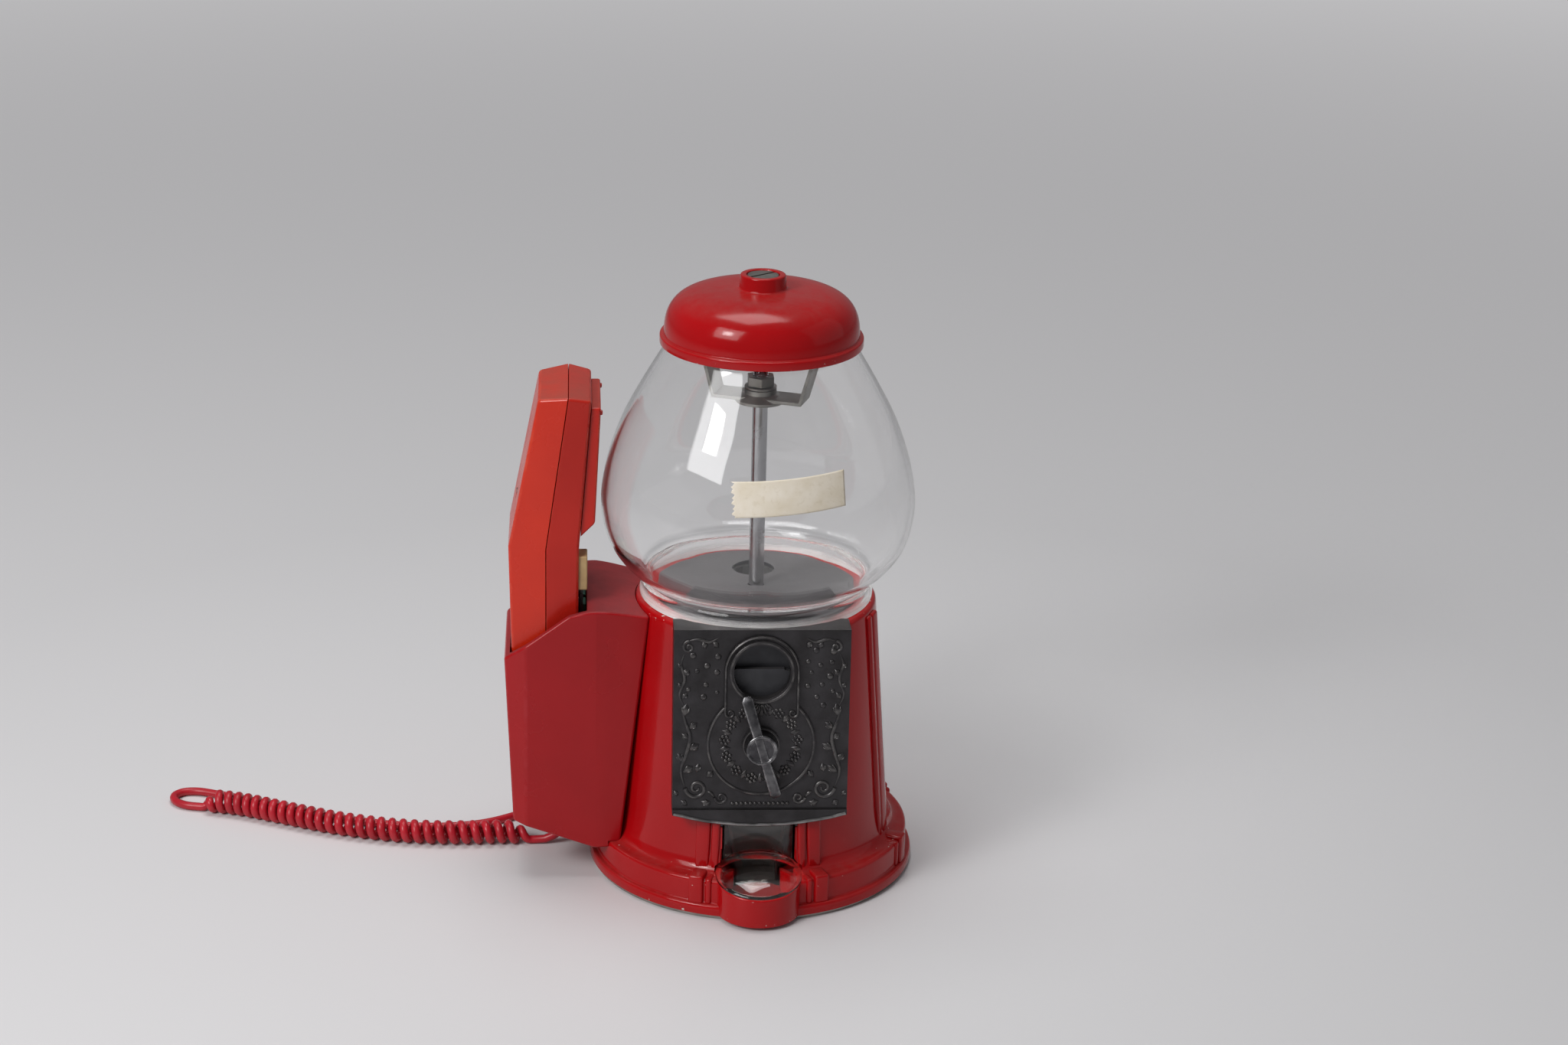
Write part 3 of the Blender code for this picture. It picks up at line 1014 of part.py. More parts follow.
def make_globe():
    foot_top = seat_z + GLOBE_FOOT_HEIGHT
    bulb = [(GLOBE_BELLY_RADIUS * radius, foot_top + GLOBE_BULB_HEIGHT * height)
            for radius, height in GLOBE_SHARES]
    outer = [(GLOBE_MOUTH_RADIUS, mouth_z)] + bulb
    outer += [(GLOBE_WAIST_RADIUS, foot_top), (GLOBE_FOOT_RADIUS, seat_z + GLOBE_WALL),
              (GLOBE_FOOT_RADIUS, seat_z)]
    inner = [(GLOBE_FOOT_INNER_RADIUS, seat_z), (GLOBE_FOOT_INNER_RADIUS, foot_top - GLOBE_WALL)]
    for before, here, after in list(zip(bulb, bulb[1:], bulb[2:]))[::-1]:
        run = (Vector(after) - Vector(before)).normalized()
        inner.append(tuple(Vector(here) + Vector((run.y, -run.x)) * GLOBE_WALL))
    inner.append((GLOBE_MOUTH_RADIUS - GLOBE_WALL, mouth_z))
    turned("globe", outer + inner, GLASS)


def make_cap():
    """Cap and its lock screw; the cap's frame lifts both."""
    across, up = CAP_DOME_POWERS
    dome = []
    steps = 7
    for index in range(1, steps):
        turn = math.pi / 2 * index / steps
        dome.append((CAP_DOME_RADIUS * math.sin(turn) ** (2 / across),
                     dome_foot_z + CAP_DOME_HEIGHT * math.cos(turn) ** (2 / up)))
    band_top = cap_rim_z + CAP_RIM_HEIGHT
    recess = cap_top_z - CAP_RECESS_DEPTH
    profile = [(CAP_HOLE_RADIUS, recess), (CAP_RECESS_RADIUS, recess), (CAP_RECESS_RADIUS, cap_top_z),
               (CAP_BOSS_RADIUS, cap_top_z), (CAP_BOSS_RADIUS + CAP_RIM_ROUND, dome_top_z)]
    profile += [point for point in dome if point[0] > CAP_BOSS_RADIUS + CAP_RIM_ROUND and point[1] > band_top]
    profile += [(CAP_DOME_RADIUS, band_top), (CAP_RIM_RADIUS, band_top - CAP_RIM_ROUND),
                (CAP_RIM_RADIUS, cap_rim_z)]
    glass_at_rim = cap_glass_radius(cap_rim_z)
    inner = CAP_DOME_RADIUS - CAP_WALL
    ceiling = dome_top_z - CAP_CEILING_DROP
    shoulder = ceiling - 2 * CAP_WALL
    profile += [(glass_at_rim + GAP, cap_rim_z), (inner, band_top),
                (inner - CAP_WALL / 2, shoulder - 2 * CAP_WALL),
                (inner - 2 * CAP_WALL, shoulder), (inner - 5 * CAP_WALL, ceiling),
                (CAP_HOLE_RADIUS, ceiling)]
    turned("cap", profile, ENAMEL)
    head_low = recess + GAP
    screw = rod("cap_lock_screw", CAP_RECESS_RADIUS - GAP, (0.0, 0.0, head_low),
                (0.0, 0.0, head_low + LOCK_HEAD_HEIGHT), ZINC, sides=ROUND_SIDES)
    join(screw, rod("lock_shank", LOCK_SHANK_RADIUS, (0.0, 0.0, rod_top_z + GAP),
                    (0.0, 0.0, head_low + LOCK_HEAD_HEIGHT / 2)))
    slot = box("lock_slot", (-CAP_RECESS_RADIUS, -LOCK_SLOT_WIDTH / 2,
                             head_low + LOCK_HEAD_HEIGHT - LOCK_SLOT_DEPTH),
               (CAP_RECESS_RADIUS, LOCK_SLOT_WIDTH / 2, cap_top_z + OVERRUN))
    slot.rotation_euler = (0.0, 0.0, LOCK_SLOT_TURN)
    cut(screw, slot)


def cap_glass_radius(height):
    """Outer radius of the globe's shoulder at a height near its mouth."""
    foot_top = seat_z + GLOBE_FOOT_HEIGHT
    low = GLOBE_SHARES[0]
    low_radius, low_z = GLOBE_BELLY_RADIUS * low[0], foot_top + GLOBE_BULB_HEIGHT * low[1]
    share = (height - low_z) / (mouth_z - low_z)
    return low_radius + (GLOBE_MOUTH_RADIUS - low_radius) * share


def make_hold_down():
    """Strap with a pressed bell whose tabs bear on the globe's mouth, and the rod's washer and nut."""
    half = STRAP_THICKNESS / 2
    tab_z = mouth_z + GAP + half
    level = strap_z + half
    route = [(-STRAP_TAB_X, tab_z), (-LEG_TOP_X, tab_z), (-STRAP_HALF_LENGTH, level),
             (STRAP_HALF_LENGTH, level),
             (LEG_TOP_X, tab_z), (STRAP_TAB_X, tab_z)]
    strap = standing("hold_down_strap", thick_line(route, half), -STRAP_WIDTH / 2, STRAP_WIDTH / 2, ZINC)
    strap.rotation_euler = (0.0, 0.0, STRAP_TURN)
    solid = [(0.0, bell_crown_z), (BELL_CROWN_RADIUS, bell_crown_z),
             (BELL_CROWN_RADIUS, strap_z + 2 * BELL_WALL),
             (BELL_RADIUS, bell_bottom_z + BELL_WALL), (BELL_RADIUS, bell_bottom_z), (0.0, bell_bottom_z)]
    space_top = bell_crown_z - BELL_WALL
    space_radius = BELL_CROWN_RADIUS - BELL_WALL
    space = [(0.0, space_top), (space_radius, space_top), (space_radius, strap_z + BELL_WALL),
             (BELL_RADIUS - BELL_WALL, bell_bottom_z + GAP),
             (BELL_RADIUS - BELL_WALL, bell_bottom_z - OVERRUN),
             (0.0, bell_bottom_z - OVERRUN)]
    join(strap, turned("bell", solid, sides=SMALL_SIDES * 2))
    cut(strap, turned("bell_space", space, sides=SMALL_SIDES * 2),
        rod("bell_bore", ROD_RADIUS + ROD_GAP, (0.0, 0.0, bell_bottom_z), (0.0, 0.0, bell_crown_z + OVERRUN)))
    low = bell_crown_z + GAP
    top = low + WASHER_THICKNESS
    turned("rod_washer", tube_profile(WASHER_RADIUS, ROD_RADIUS + ROD_GAP, low, top), STEEL, SMALL_SIDES * 2)
    hex_nut("rod_nut", rod_nut_z, rod_nut_z + ROD_NUT_HEIGHT)


def thick_line(route, half):
    """Outline of a bent strip: the route's two sides, each half a thickness away."""
    upper, lower = [], []
    for index, point in enumerate(route):
        here = Vector(point)
        first = here - Vector(route[index - 1]) if index else Vector(route[1]) - here
        second = Vector(route[index + 1]) - here if index < len(route) - 1 else first
        first_side = Vector((-first.y, first.x)).normalized()
        side = (first_side + Vector((-second.y, second.x)).normalized()).normalized()
        reach = side * (half / side.dot(first_side))
        upper.append(tuple(here + reach))
        lower.append(tuple(here - reach))
    return lower + upper[::-1]


def holster_front():
    """Front view of the holster, anticlockwise from its lower left corner."""
    crown = smooth([(HOLSTER_RIGHT_TOP_X, HOLSTER_RIGHT_TOP_Z), (HOLSTER_CROWN_X, HOLSTER_CROWN_Z),
                    (HOLSTER_SHOULDER_X, HOLSTER_SHOULDER_Z)], 4)
    return ([(HOLSTER_LEFT_BOTTOM_X, HOLSTER_LEFT_BOTTOM_Z), (HOLSTER_RIGHT_CREASE_X, HOLSTER_BOTTOM_Z),
             (HOLSTER_RIGHT_BOTTOM_X, HOLSTER_BOTTOM_Z)]
            + [tuple(point) for point in crown]
            + [(HOLSTER_LEFT_X, HOLSTER_LEFT_TOP_Z)])


def holster_plan(wall, right_x):
    """Plan of the holster with its end facets, moved in by a wall."""
    front, rear = HOLSTER_FRONT_Y, HOLSTER_REAR_Y
    back_off = HOLSTER_FACET_Y
    outline = [(HOLSTER_LEFT_X, rear - back_off), (HOLSTER_LEFT_X, front + back_off),
               (HOLSTER_LEFT_CREASE_X, front),
               (HOLSTER_RIGHT_CREASE_X, front), (right_x, front + back_off), (right_x, rear - back_off),
               (HOLSTER_RIGHT_CREASE_X, rear), (HOLSTER_LEFT_CREASE_X, rear)]
    return inset(outline, [wall] * len(outline)) if wall else outline


def make_holster():
    right = HOLSTER_RIGHT_TOP_X
    holster = standing("holster", holster_front(), HOLSTER_FRONT_Y - OVERRUN, HOLSTER_REAR_Y + OVERRUN,
                       HOLSTER_PLASTIC)
    keep_inside(holster, lying("holster_plan", holster_plan(0.0, right), 0.0, HOLSTER_CROWN_Z + OVERRUN))
    around = [(0.0, BODY_TOP_Z + OVERRUN * 2), (BODY_TOP_RADIUS + GAP, BODY_TOP_Z + OVERRUN * 2)]
    around += body_outside(GAP)[3:] + [(BASE_RADIUS + GAP, 0.0), (0.0, 0.0)]
    cut(holster, turned("holster_body_space", around))
    wall = HOLSTER_WALL
    inner = holster_plan(wall, right + wall)
    slot = lying("holster_slot", inner, SLOT_FLOOR_Z, HOLSTER_CROWN_Z + OVERRUN)
    keep_inside(slot, box("slot_limit", (HOLSTER_LEFT_X, HOLSTER_FRONT_Y, 0.0),
                          (SLOT_RIGHT_X, HOLSTER_REAR_Y, HOLSTER_CROWN_Z + 2 * OVERRUN)))
    hollow = lying("holster_hollow", inner, 0.0, HOLSTER_RIGHT_TOP_Z - wall)
    keep_inside(hollow, box("hollow_limit", (SLOT_RIGHT_X + DIVIDER, HOLSTER_FRONT_Y, 0.0),
                            (0.0, HOLSTER_REAR_Y, HOLSTER_CROWN_Z)))
    shell = body_outside(GAP + wall)[3:]
    cut(hollow, turned("hollow_body_space", [(0.0, BODY_TOP_Z), (shell[0][0], BODY_TOP_Z)] + shell
                       + [(BASE_RADIUS + GAP + wall, -OVERRUN), (0.0, -OVERRUN)]))
    under = lying("holster_under", inner, -OVERRUN, SLOT_FLOOR_Z - wall)
    keep_inside(under, box("under_limit", (HOLSTER_LEFT_X, HOLSTER_FRONT_Y, -2 * OVERRUN),
                           (SLOT_RIGHT_X, HOLSTER_REAR_Y, SLOT_FLOOR_Z)))
    cut(holster, slot, hollow, under)
    for name, height in HOLSTER_SCREW_HEIGHTS.items():
        face = -body_radius(height) - GAP - wall / 2
        join(holster, rod("boss_" + name, BOSS_RADIUS, (face, 0.0, height),
                          (SLOT_RIGHT_X + DIVIDER / 2, 0.0, height)))
        cut(holster, rod("boss_hole_" + name, HOLSTER_SCREW_RADIUS + GAP,
                         (-BODY_RIM_INNER_RADIUS, 0.0, height),
                         (-body_radius(height) - HOLSTER_SCREW_REACH - GAP, 0.0, height)))
        free = inner_radius(height + HOLSTER_SCREW_HEAD_RADIUS)
        seat = GAP - math.sqrt(free ** 2 - HOLSTER_SCREW_HEAD_RADIUS ** 2)
        screw = rod("holster_screw_" + name, HOLSTER_SCREW_HEAD_RADIUS, (seat, 0.0, height),
                    (seat + HOLSTER_SCREW_HEAD_HEIGHT, 0.0, height), STEEL)
        join(screw, rod("holster_shank_" + name, HOLSTER_SCREW_RADIUS,
                        (-body_radius(height) - HOLSTER_SCREW_REACH,
                        0.0, height), (seat + HOLSTER_SCREW_HEAD_HEIGHT / 2, 0.0, height)))
    cut(holster, rod("relief_hole", RELIEF_RADIUS + GAP, (RELIEF_X, RELIEF_Y, SLOT_FLOOR_Z - wall - OVERRUN),
                     (RELIEF_X, RELIEF_Y, SLOT_FLOOR_Z + OVERRUN)))


def loft(name, sections, finish=None):
    """Closed solid through loops of points, with a face on the first and the last loop."""
    count = len(sections[0])
    points = [point for section in sections for point in section]
    faces = [tuple(range(count))[::-1], tuple(range(len(points) - count, len(points)))]
    for level in range(len(sections) - 1):
        for index in range(count):
            first, second = level * count + index, level * count + (index + 1) % count
            faces.append((first, second, second + count, first + count))
    mesh = bpy.data.meshes.new(name)
    mesh.from_pydata([tuple(point) for point in points], [], faces)
    working = bmesh.new()
    working.from_mesh(mesh)
    bmesh.ops.recalc_face_normals(working, faces=working.faces)
    working.to_mesh(mesh)
    working.free()
    return add(name, mesh, finish)


def handset_levels(draft):
    """Heights of the handset's bottom, bend and top, each end drawn in by a draft."""
    return HANDSET_BOTTOM_Z + draft, HANDSET_BEND_Z, HANDSET_TOP_Z - draft


def height_share(line, height, draft):
    """X at a height of a line that is given at the handset's bottom, bend and top."""
    low, bend, high = handset_levels(draft)
    if height < bend:
        return line[0] + (line[1] - line[0]) * (height - low) / (bend - low)
    return line[1] + (line[2] - line[1]) * (height - bend) / (high - bend)


def back_at(height):
    return height_share(HANDSET_BACK_X, height, HANDSET_END_DRAFT)


def seam_at(height):
    return height_share(HANDSET_SEAM_X, height, 0.0)


def face_at(height, depth=0.0):
    """X of the handset's inner face, or of a point some depth below it, at a height."""
    return height_share(HANDSET_FACE_X, height, HANDSET_END_DRAFT) - depth


def half_shell(name, faces, half_width, outward):
    """Open tub from the seam to one face of the handset."""
    wall = HANDSET_WALL
    made = []
    for inner in (0.0, wall):
        sections = []
        seam_levels = handset_levels(inner)
        face_levels = handset_levels(HANDSET_END_DRAFT + inner)
        seam_shift = outward * (GAP / 2 - inner)
        for seam_x, face_x, seam_z, face_z in zip(HANDSET_SEAM_X, faces, seam_levels, face_levels):
            wide, narrow = HANDSET_SEAM_HALF_WIDTH - inner, half_width - inner
            sections.append([(seam_x + seam_shift, HANDSET_Y - wide, seam_z),
                             (seam_x + seam_shift, HANDSET_Y + wide, seam_z),
                             (face_x - outward * inner, HANDSET_Y + narrow, face_z),
                             (face_x - outward * inner, HANDSET_Y - narrow, face_z)])
        made.append(loft(name + "_cavity" if inner else name, sections, None if inner else HANDSET_PLASTIC))
    cut(made[0], made[1])
    return made[0]


def make_handset_shells():
    wall = HANDSET_WALL
    gap = GAP / 2
    back_shell = half_shell("handset_back_shell", HANDSET_BACK_X, HANDSET_BACK_HALF_WIDTH, -1.0)
    front_shell = half_shell("handset_front_shell", HANDSET_FACE_X, HANDSET_FACE_HALF_WIDTH, 1.0)
    for name, height in HANDSET_SCREW_HEIGHTS.items():
        seam_x = seam_at(height)
        centre = (HANDSET_Y, height)
        join(front_shell, rod("post_" + name, POST_RADIUS, (face_at(height, wall / 2), *centre),
                              (seam_x + gap, *centre), sides=SCREW_SIDES))
        head = back_at(height) + HANDSET_SCREW_HEAD_HEIGHT
        tip = seam_x + POST_RADIUS * 2
        cut(front_shell, rod("post_bore_" + name, HANDSET_SCREW_RADIUS + GAP, (seam_x - GAP, *centre),
                             (tip + GAP, *centre), sides=SCREW_SIDES))
        join(back_shell, rod("back_post_" + name, POST_RADIUS + HANDSET_SCREW_RADIUS,
                             (back_at(height) + wall / 2, *centre), (seam_x - gap, *centre),
                             sides=SCREW_SIDES))
        cut(back_shell, rod("back_bore_" + name, HANDSET_SCREW_RADIUS + GAP, (head - GAP, *centre),
                            (seam_x + GAP, *centre), sides=SCREW_SIDES))
        cut(back_shell, rod("head_recess_" + name, HANDSET_SCREW_HEAD_RADIUS + GAP,
                            (back_at(height) - OVERRUN, *centre), (head + GAP, *centre)))
        screw = rod("handset_screw_" + name, HANDSET_SCREW_HEAD_RADIUS,
                    (head - HANDSET_SCREW_HEAD_HEIGHT, *centre),
                    (head, *centre), STEEL)
        join(screw, rod("handset_shank_" + name, HANDSET_SCREW_RADIUS,
                        (head - HANDSET_SCREW_HEAD_HEIGHT / 2, *centre),
                        (tip, *centre), sides=SCREW_SIDES))
    window = BEZEL_HALF_WIDTH - wall / 2
    deep = min(HANDSET_FACE_X) - 2 * wall
    cut(front_shell, box("key_window", (deep, HANDSET_Y - window, BEZEL_BOTTOM_Z + wall),
                         (max(HANDSET_FACE_X[:2]) + OVERRUN, HANDSET_Y + window, BEZEL_TOP_Z - wall)))
    cut(front_shell, box("hook_window", (deep, HOOK_LOW_Y - GAP, HOOK_BOTTOM_Z - GAP),
                         (HANDSET_FACE_X[2], HOOK_HIGH_Y + GAP, HOOK_TOP_Z + GAP)))
    middle, normal = speaker_place()
    cut(front_shell, rod("speaker_window", SPEAKER_WINDOW_RADIUS, middle - normal * (2 * wall),
                         middle + normal * OVERRUN, sides=24))


def speaker_place():
    """Point of the handset's face over the speaker and the face's outward direction there."""
    rise = HANDSET_TOP_Z - HANDSET_END_DRAFT - HANDSET_BEND_Z
    tilt = Vector((HANDSET_FACE_X[2] - HANDSET_FACE_X[1], 0.0, rise)).normalized()
    return Vector((face_at(SPEAKER_Z), HANDSET_Y, SPEAKER_Z)), Vector((tilt.z, 0.0, -tilt.x))


def make_handset_details():
    """Earpiece cover, bezel, keys, hook plunger, circuit board and the two capsules."""
    make_earpiece()
    bezel_low = HANDSET_FACE_X[1] + GAP
    bezel = box("keypad_bezel", (bezel_low, HANDSET_Y - BEZEL_HALF_WIDTH, BEZEL_BOTTOM_Z),
                (bezel_low + BEZEL_THICKNESS, HANDSET_Y + BEZEL_HALF_WIDTH, BEZEL_TOP_Z), BLACK_PLASTIC)
    board_face = min(HANDSET_FACE_X) - HANDSET_WALL - GAP
    middle = (BEZEL_BOTTOM_Z + BEZEL_TOP_Z) / 2
    for row in range(KEY_ROWS):
        for column in range(KEY_COLUMNS):
            y = HANDSET_Y + (column - (KEY_COLUMNS - 1) / 2) * KEY_PITCH_Y
            z = middle + ((KEY_ROWS - 1) / 2 - row) * KEY_PITCH_Z
            name = "key_%d" % (row * KEY_COLUMNS + column + 1)
            low = (board_face + KEY_TRAVEL + GAP, y - KEY_WIDTH / 2, z - KEY_HEIGHT / 2)
            high = (bezel_low + BEZEL_THICKNESS + KEY_PROUD, y + KEY_WIDTH / 2, z + KEY_HEIGHT / 2)
            box(name, low, high, KEY_GREEN)
            cut(bezel, box(name + "_hole", (bezel_low - OVERRUN, low[1] - GAP, low[2] - GAP),
                           (bezel_low + BEZEL_THICKNESS + OVERRUN, high[1] + GAP, high[2] + GAP)))
    box("hook_plunger", (board_face + HOOK_TRAVEL + GAP, HOOK_LOW_Y, HOOK_BOTTOM_Z),
        (HANDSET_FACE_X[1] + HOOK_PROUD, HOOK_HIGH_Y, HOOK_TOP_Z), IVORY)
    half = HANDSET_FACE_HALF_WIDTH - BOARD_MARGIN
    box("circuit_board", (board_face - BOARD_THICKNESS, HANDSET_Y - half, BOARD_BOTTOM_Z),
        (board_face, HANDSET_Y + half, BOARD_TOP_Z), BOARD_GREEN)
    centre, normal = speaker_place()
    front = centre - normal * (HANDSET_WALL + GAP)
    rod("speaker_capsule", SPEAKER_RADIUS, front - normal * SPEAKER_HEIGHT, front, BLACK_PLASTIC, sides=24)
    mouth_x = face_at(MICROPHONE_Z, HANDSET_WALL + GAP * 2)
    rod("microphone_capsule", MICROPHONE_RADIUS, (mouth_x - MICROPHONE_HEIGHT, HANDSET_Y, MICROPHONE_Z),
        (mouth_x, HANDSET_Y, MICROPHONE_Z), BLACK_PLASTIC)


def make_earpiece():
    """Hollow cover over the speaker, open towards the handset, with sound holes and two small bumps."""
    y_low, y_high = HANDSET_Y - EAR_HALF_WIDTH, HANDSET_Y + EAR_HALF_WIDTH
    outline = [(face_at(EAR_FOOT_Z) + GAP, EAR_FOOT_Z), (EAR_FOOT_X, EAR_STEP_Z), (EAR_TOP_X, EAR_TOP_Z),
               (face_at(EAR_TOP_Z) + GAP, EAR_TOP_Z)]
    cover = standing("earpiece_cover", outline, y_low, y_high, HANDSET_PLASTIC)
    wall = EAR_WALL
    hollow = inset(outline, [wall, wall, wall, -wall])
    cut(cover, standing("earpiece_hollow", hollow, y_low + wall, y_high - wall))
    slope = (EAR_TOP_X - EAR_FOOT_X) / (EAR_TOP_Z - EAR_STEP_Z)
    face_x = EAR_FOOT_X + slope * (SPEAKER_Z - EAR_STEP_Z)
    holes = [(HANDSET_Y, SPEAKER_Z)] + ring(EAR_HOLE_COUNT, EAR_HOLE_RING, (HANDSET_Y, SPEAKER_Z))
    for number, (y, z) in enumerate(holes):
        cut(cover, rod("sound_hole_%d" % number, EAR_HOLE_RADIUS, (face_x - 2 * wall, y, z),
                       (face_x + OVERRUN, y, z), sides=8))
    bump_x = EAR_FOOT_X + slope * (EAR_BUMP_Z - EAR_STEP_Z)
    for number, y in enumerate((y_low + 2 * EAR_BUMP_RADIUS, y_high - 2 * EAR_BUMP_RADIUS)):
        join(cover, rod("ear_bump_%d" % number, EAR_BUMP_RADIUS, (bump_x - wall / 2, y, EAR_BUMP_Z),
                        (bump_x + EAR_BUMP_PROUD, y, EAR_BUMP_Z), sides=8))


def wire(name, points, finish):
    """Tube along points with flat ends."""
    curve = bpy.data.curves.new(name, "CURVE")
    curve.dimensions = "3D"
    curve.bevel_depth = WIRE_RADIUS
    curve.bevel_resolution = 1
    curve.use_fill_caps = True
    spline = curve.splines.new("POLY")
    spline.points.add(len(points) - 1)
    for place, point in zip(spline.points, points):
        place.co = (*point, 1.0)
    made = bpy.data.objects.new(name, curve)
    machine.objects.link(made)
    curve.materials.append(finish)
    return made


def curl_points():
    """Curls round their centre line; over the first and last curl the turns open from the line itself."""
    line = smooth([(*point, 0.0) for point in CENTRE_LINE], 12)
    lengths = [0.0]
    for first, second in zip(line, line[1:]):
        lengths.append(lengths[-1] + (second - first).length)
    points = []
    travelled = 0.0
    steps = CURL_COUNT * CURL_POINTS
    for step in range(steps + 1):
        index = max(number for number, length in enumerate(lengths[:-1]) if length <= travelled)
        within = (travelled - lengths[index]) / (lengths[index + 1] - lengths[index])
        centre = line[index].lerp(line[index + 1], within)
        ahead = (line[index + 1] - line[index]).normalized()
        side = Vector((ahead.y, -ahead.x, 0.0))
        opening = ease(min(1.0, step / CURL_POINTS, (steps - step) / CURL_POINTS))
        radius = (CURL_OUTER_RADIUS - WIRE_RADIUS) * opening
        turn = -math.pi / 2 - math.tau * step / CURL_POINTS
        up = Vector((0.0, 0.0, WIRE_RADIUS + radius + radius * math.sin(turn)))
        points.append(centre + side * (radius * math.cos(turn)) + up)
        pitch = (NEAR_PITCH + (FAR_PITCH - NEAR_PITCH) * ease(step / steps)) * (2 - opening)
        travelled += pitch / CURL_POINTS
    return points


def ease(share):
    """0 to 1 with most of the change around the middle."""
    return share ** 2 * (3 - 2 * share)


def least_gap(points):
    """Smallest gap of the wire to itself, between points over three diameters apart along it."""
    lengths = [0.0]
    for first, second in zip(points, points[1:]):
        lengths.append(lengths[-1] + (second - first).length)
    nearest = min((first - second).length for index, first in enumerate(points)
                  for second, length in zip(points[index:], lengths[index:])
                  if length - lengths[index] > 6 * WIRE_RADIUS)
    return nearest - 2 * WIRE_RADIUS


def coil_points():
    """Turns that spiral in, climb in the half turn where the spiral reverses, and spiral out above."""
    points = []
    steps = round(COIL_TURNS * COIL_POINTS)
    low = TIE_THICKNESS + GAP + WIRE_RADIUS
    for step in range(steps + 1):
        past_middle = step / COIL_POINTS - COIL_TURNS / 2
        radius = COIL_INNER_RADIUS + COIL_SPACING * abs(past_middle)
        turn = -math.pi / 2 + math.tau * step / COIL_POINTS
        climb = ease(min(1.0, max(0.0, 0.5 + 2 * past_middle)))
        points.append(Vector((COIL_CENTRE[0] + radius * math.cos(turn),
                              COIL_CENTRE[1] + radius * math.sin(turn),
                              low + COIL_SPACING * climb)))
    return points


def make_cord():
    """Strain relief, lead with the curls, tail, storage coil, tie and plug."""
    top = SLOT_FLOOR_Z - HOLSTER_WALL - GAP
    relief = rod("cord_strain_relief", RELIEF_TIP_RADIUS, (RELIEF_X, RELIEF_Y, top - RELIEF_LENGTH),
                 (RELIEF_X, RELIEF_Y, top), BLACK_PLASTIC, tip_radius=RELIEF_RADIUS)
    join(relief, rod("relief_collar", RELIEF_COLLAR_RADIUS, (RELIEF_X, RELIEF_Y, top - RELIEF_COLLAR_HEIGHT),
                     (RELIEF_X, RELIEF_Y, top)))
    curly = smooth(LEAD_ROUTE, 2) + curl_points()
    wire("curly_cord", curly, CORD_VINYL)
    tail = smooth(TAIL_ROUTE, 2)
    wire("cord_tail", tail, CORD_VINYL)
    coil = coil_points() + [Vector(point) for point in PLUG_LEAD]
    wire("cord_coil", coil, CORD_VINYL)
    make_plug()
    make_tie()
    print("least gap of the curls to themselves: %.2f mm" % (least_gap(curly) * 1000))
    print("least gap of the coil to itself: %.2f mm" % (least_gap(coil) * 1000))
    runs = [sum((second - first).length for first, second in zip(run, run[1:]))
            for run in (curly, tail, coil)]
    print("cord lengths: %.3f + %.3f + %.3f = %.3f m" % (*runs, sum(runs)))


def make_plug():
    """Flat-sided line plug with its latch, lying beside the coil."""
    length, width, height = PLUG_SIZE
    place = Matrix.Translation(PLUG_LEAD[-1]) @ Matrix.Rotation(PLUG_TURN, 4, "Z")
    centre_z = height / 2 - PLUG_LEAD[-1][2]
    start = GAP
    plug = box("cord_plug", (start, -width / 2, centre_z - height / 2), (start + length, width / 2,
               centre_z + height / 2), PLUG_CLEAR)
    plug.matrix_world = place
    latch_length, latch_width, latch_height = PLUG_LATCH
    latch = box("plug_latch", (start + length - latch_length, -latch_width / 2, centre_z),
                (start + length, latch_width / 2, centre_z + height / 2 + latch_height))
    latch.matrix_world = place
    join(plug, latch)


def make_tie():
    """Closed strap round all the turns at the coil's far side."""
    low = COIL_CENTRE[1] + COIL_INNER_RADIUS - WIRE_RADIUS - GAP
    high = COIL_CENTRE[1] + COIL_INNER_RADIUS + COIL_SPACING * COIL_TURNS / 2 + WIRE_RADIUS + GAP
    top = TIE_THICKNESS + 2 * GAP + 2 * WIRE_RADIUS + COIL_SPACING
    thick = TIE_THICKNESS
    left, right = COIL_CENTRE[0] - TIE_WIDTH / 2, COIL_CENTRE[0] + TIE_WIDTH / 2
    tie = box("cord_tie", (left, low - thick, 0.0), (right, high + thick, top + thick), BLACK_PLASTIC)
    cut(tie, box("tie_opening", (left - OVERRUN, low, thick), (right + OVERRUN, high, top)))


front_place = Matrix.Translation((0.0, shaft_y, SHAFT_Z)) @ Matrix.Rotation(-PLATE_LEAN, 4, "X")
front_frame = bpy.data.objects.new("front_frame", None)
handle_frame = bpy.data.objects.new("handle_frame", None)
pawl_frame = bpy.data.objects.new("pawl_frame", None)
flap_frame = bpy.data.objects.new("flap_frame", None)
for frame in (front_frame, handle_frame, pawl_frame, flap_frame):
    cutters.objects.link(frame)
front_frame.matrix_world = front_place
handle_frame.parent = front_frame

make_bottom_plate()
make_body()
make_front_plate()
make_front_details()
make_handle_train()
make_vending_parts()
make_ramp()
make_flap()
make_globe()
make_cap()
make_hold_down()
make_holster()
make_handset_shells()
make_handset_details()
make_cord()
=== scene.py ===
"""Gumball machine with a telephone handset in a side holster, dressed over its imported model.

Metres, +Z up. The machine stands on z = 0, faces -Y and carries its holster on the -X side.
"""
import math

import bmesh
import bpy
from mathutils import Matrix, Vector


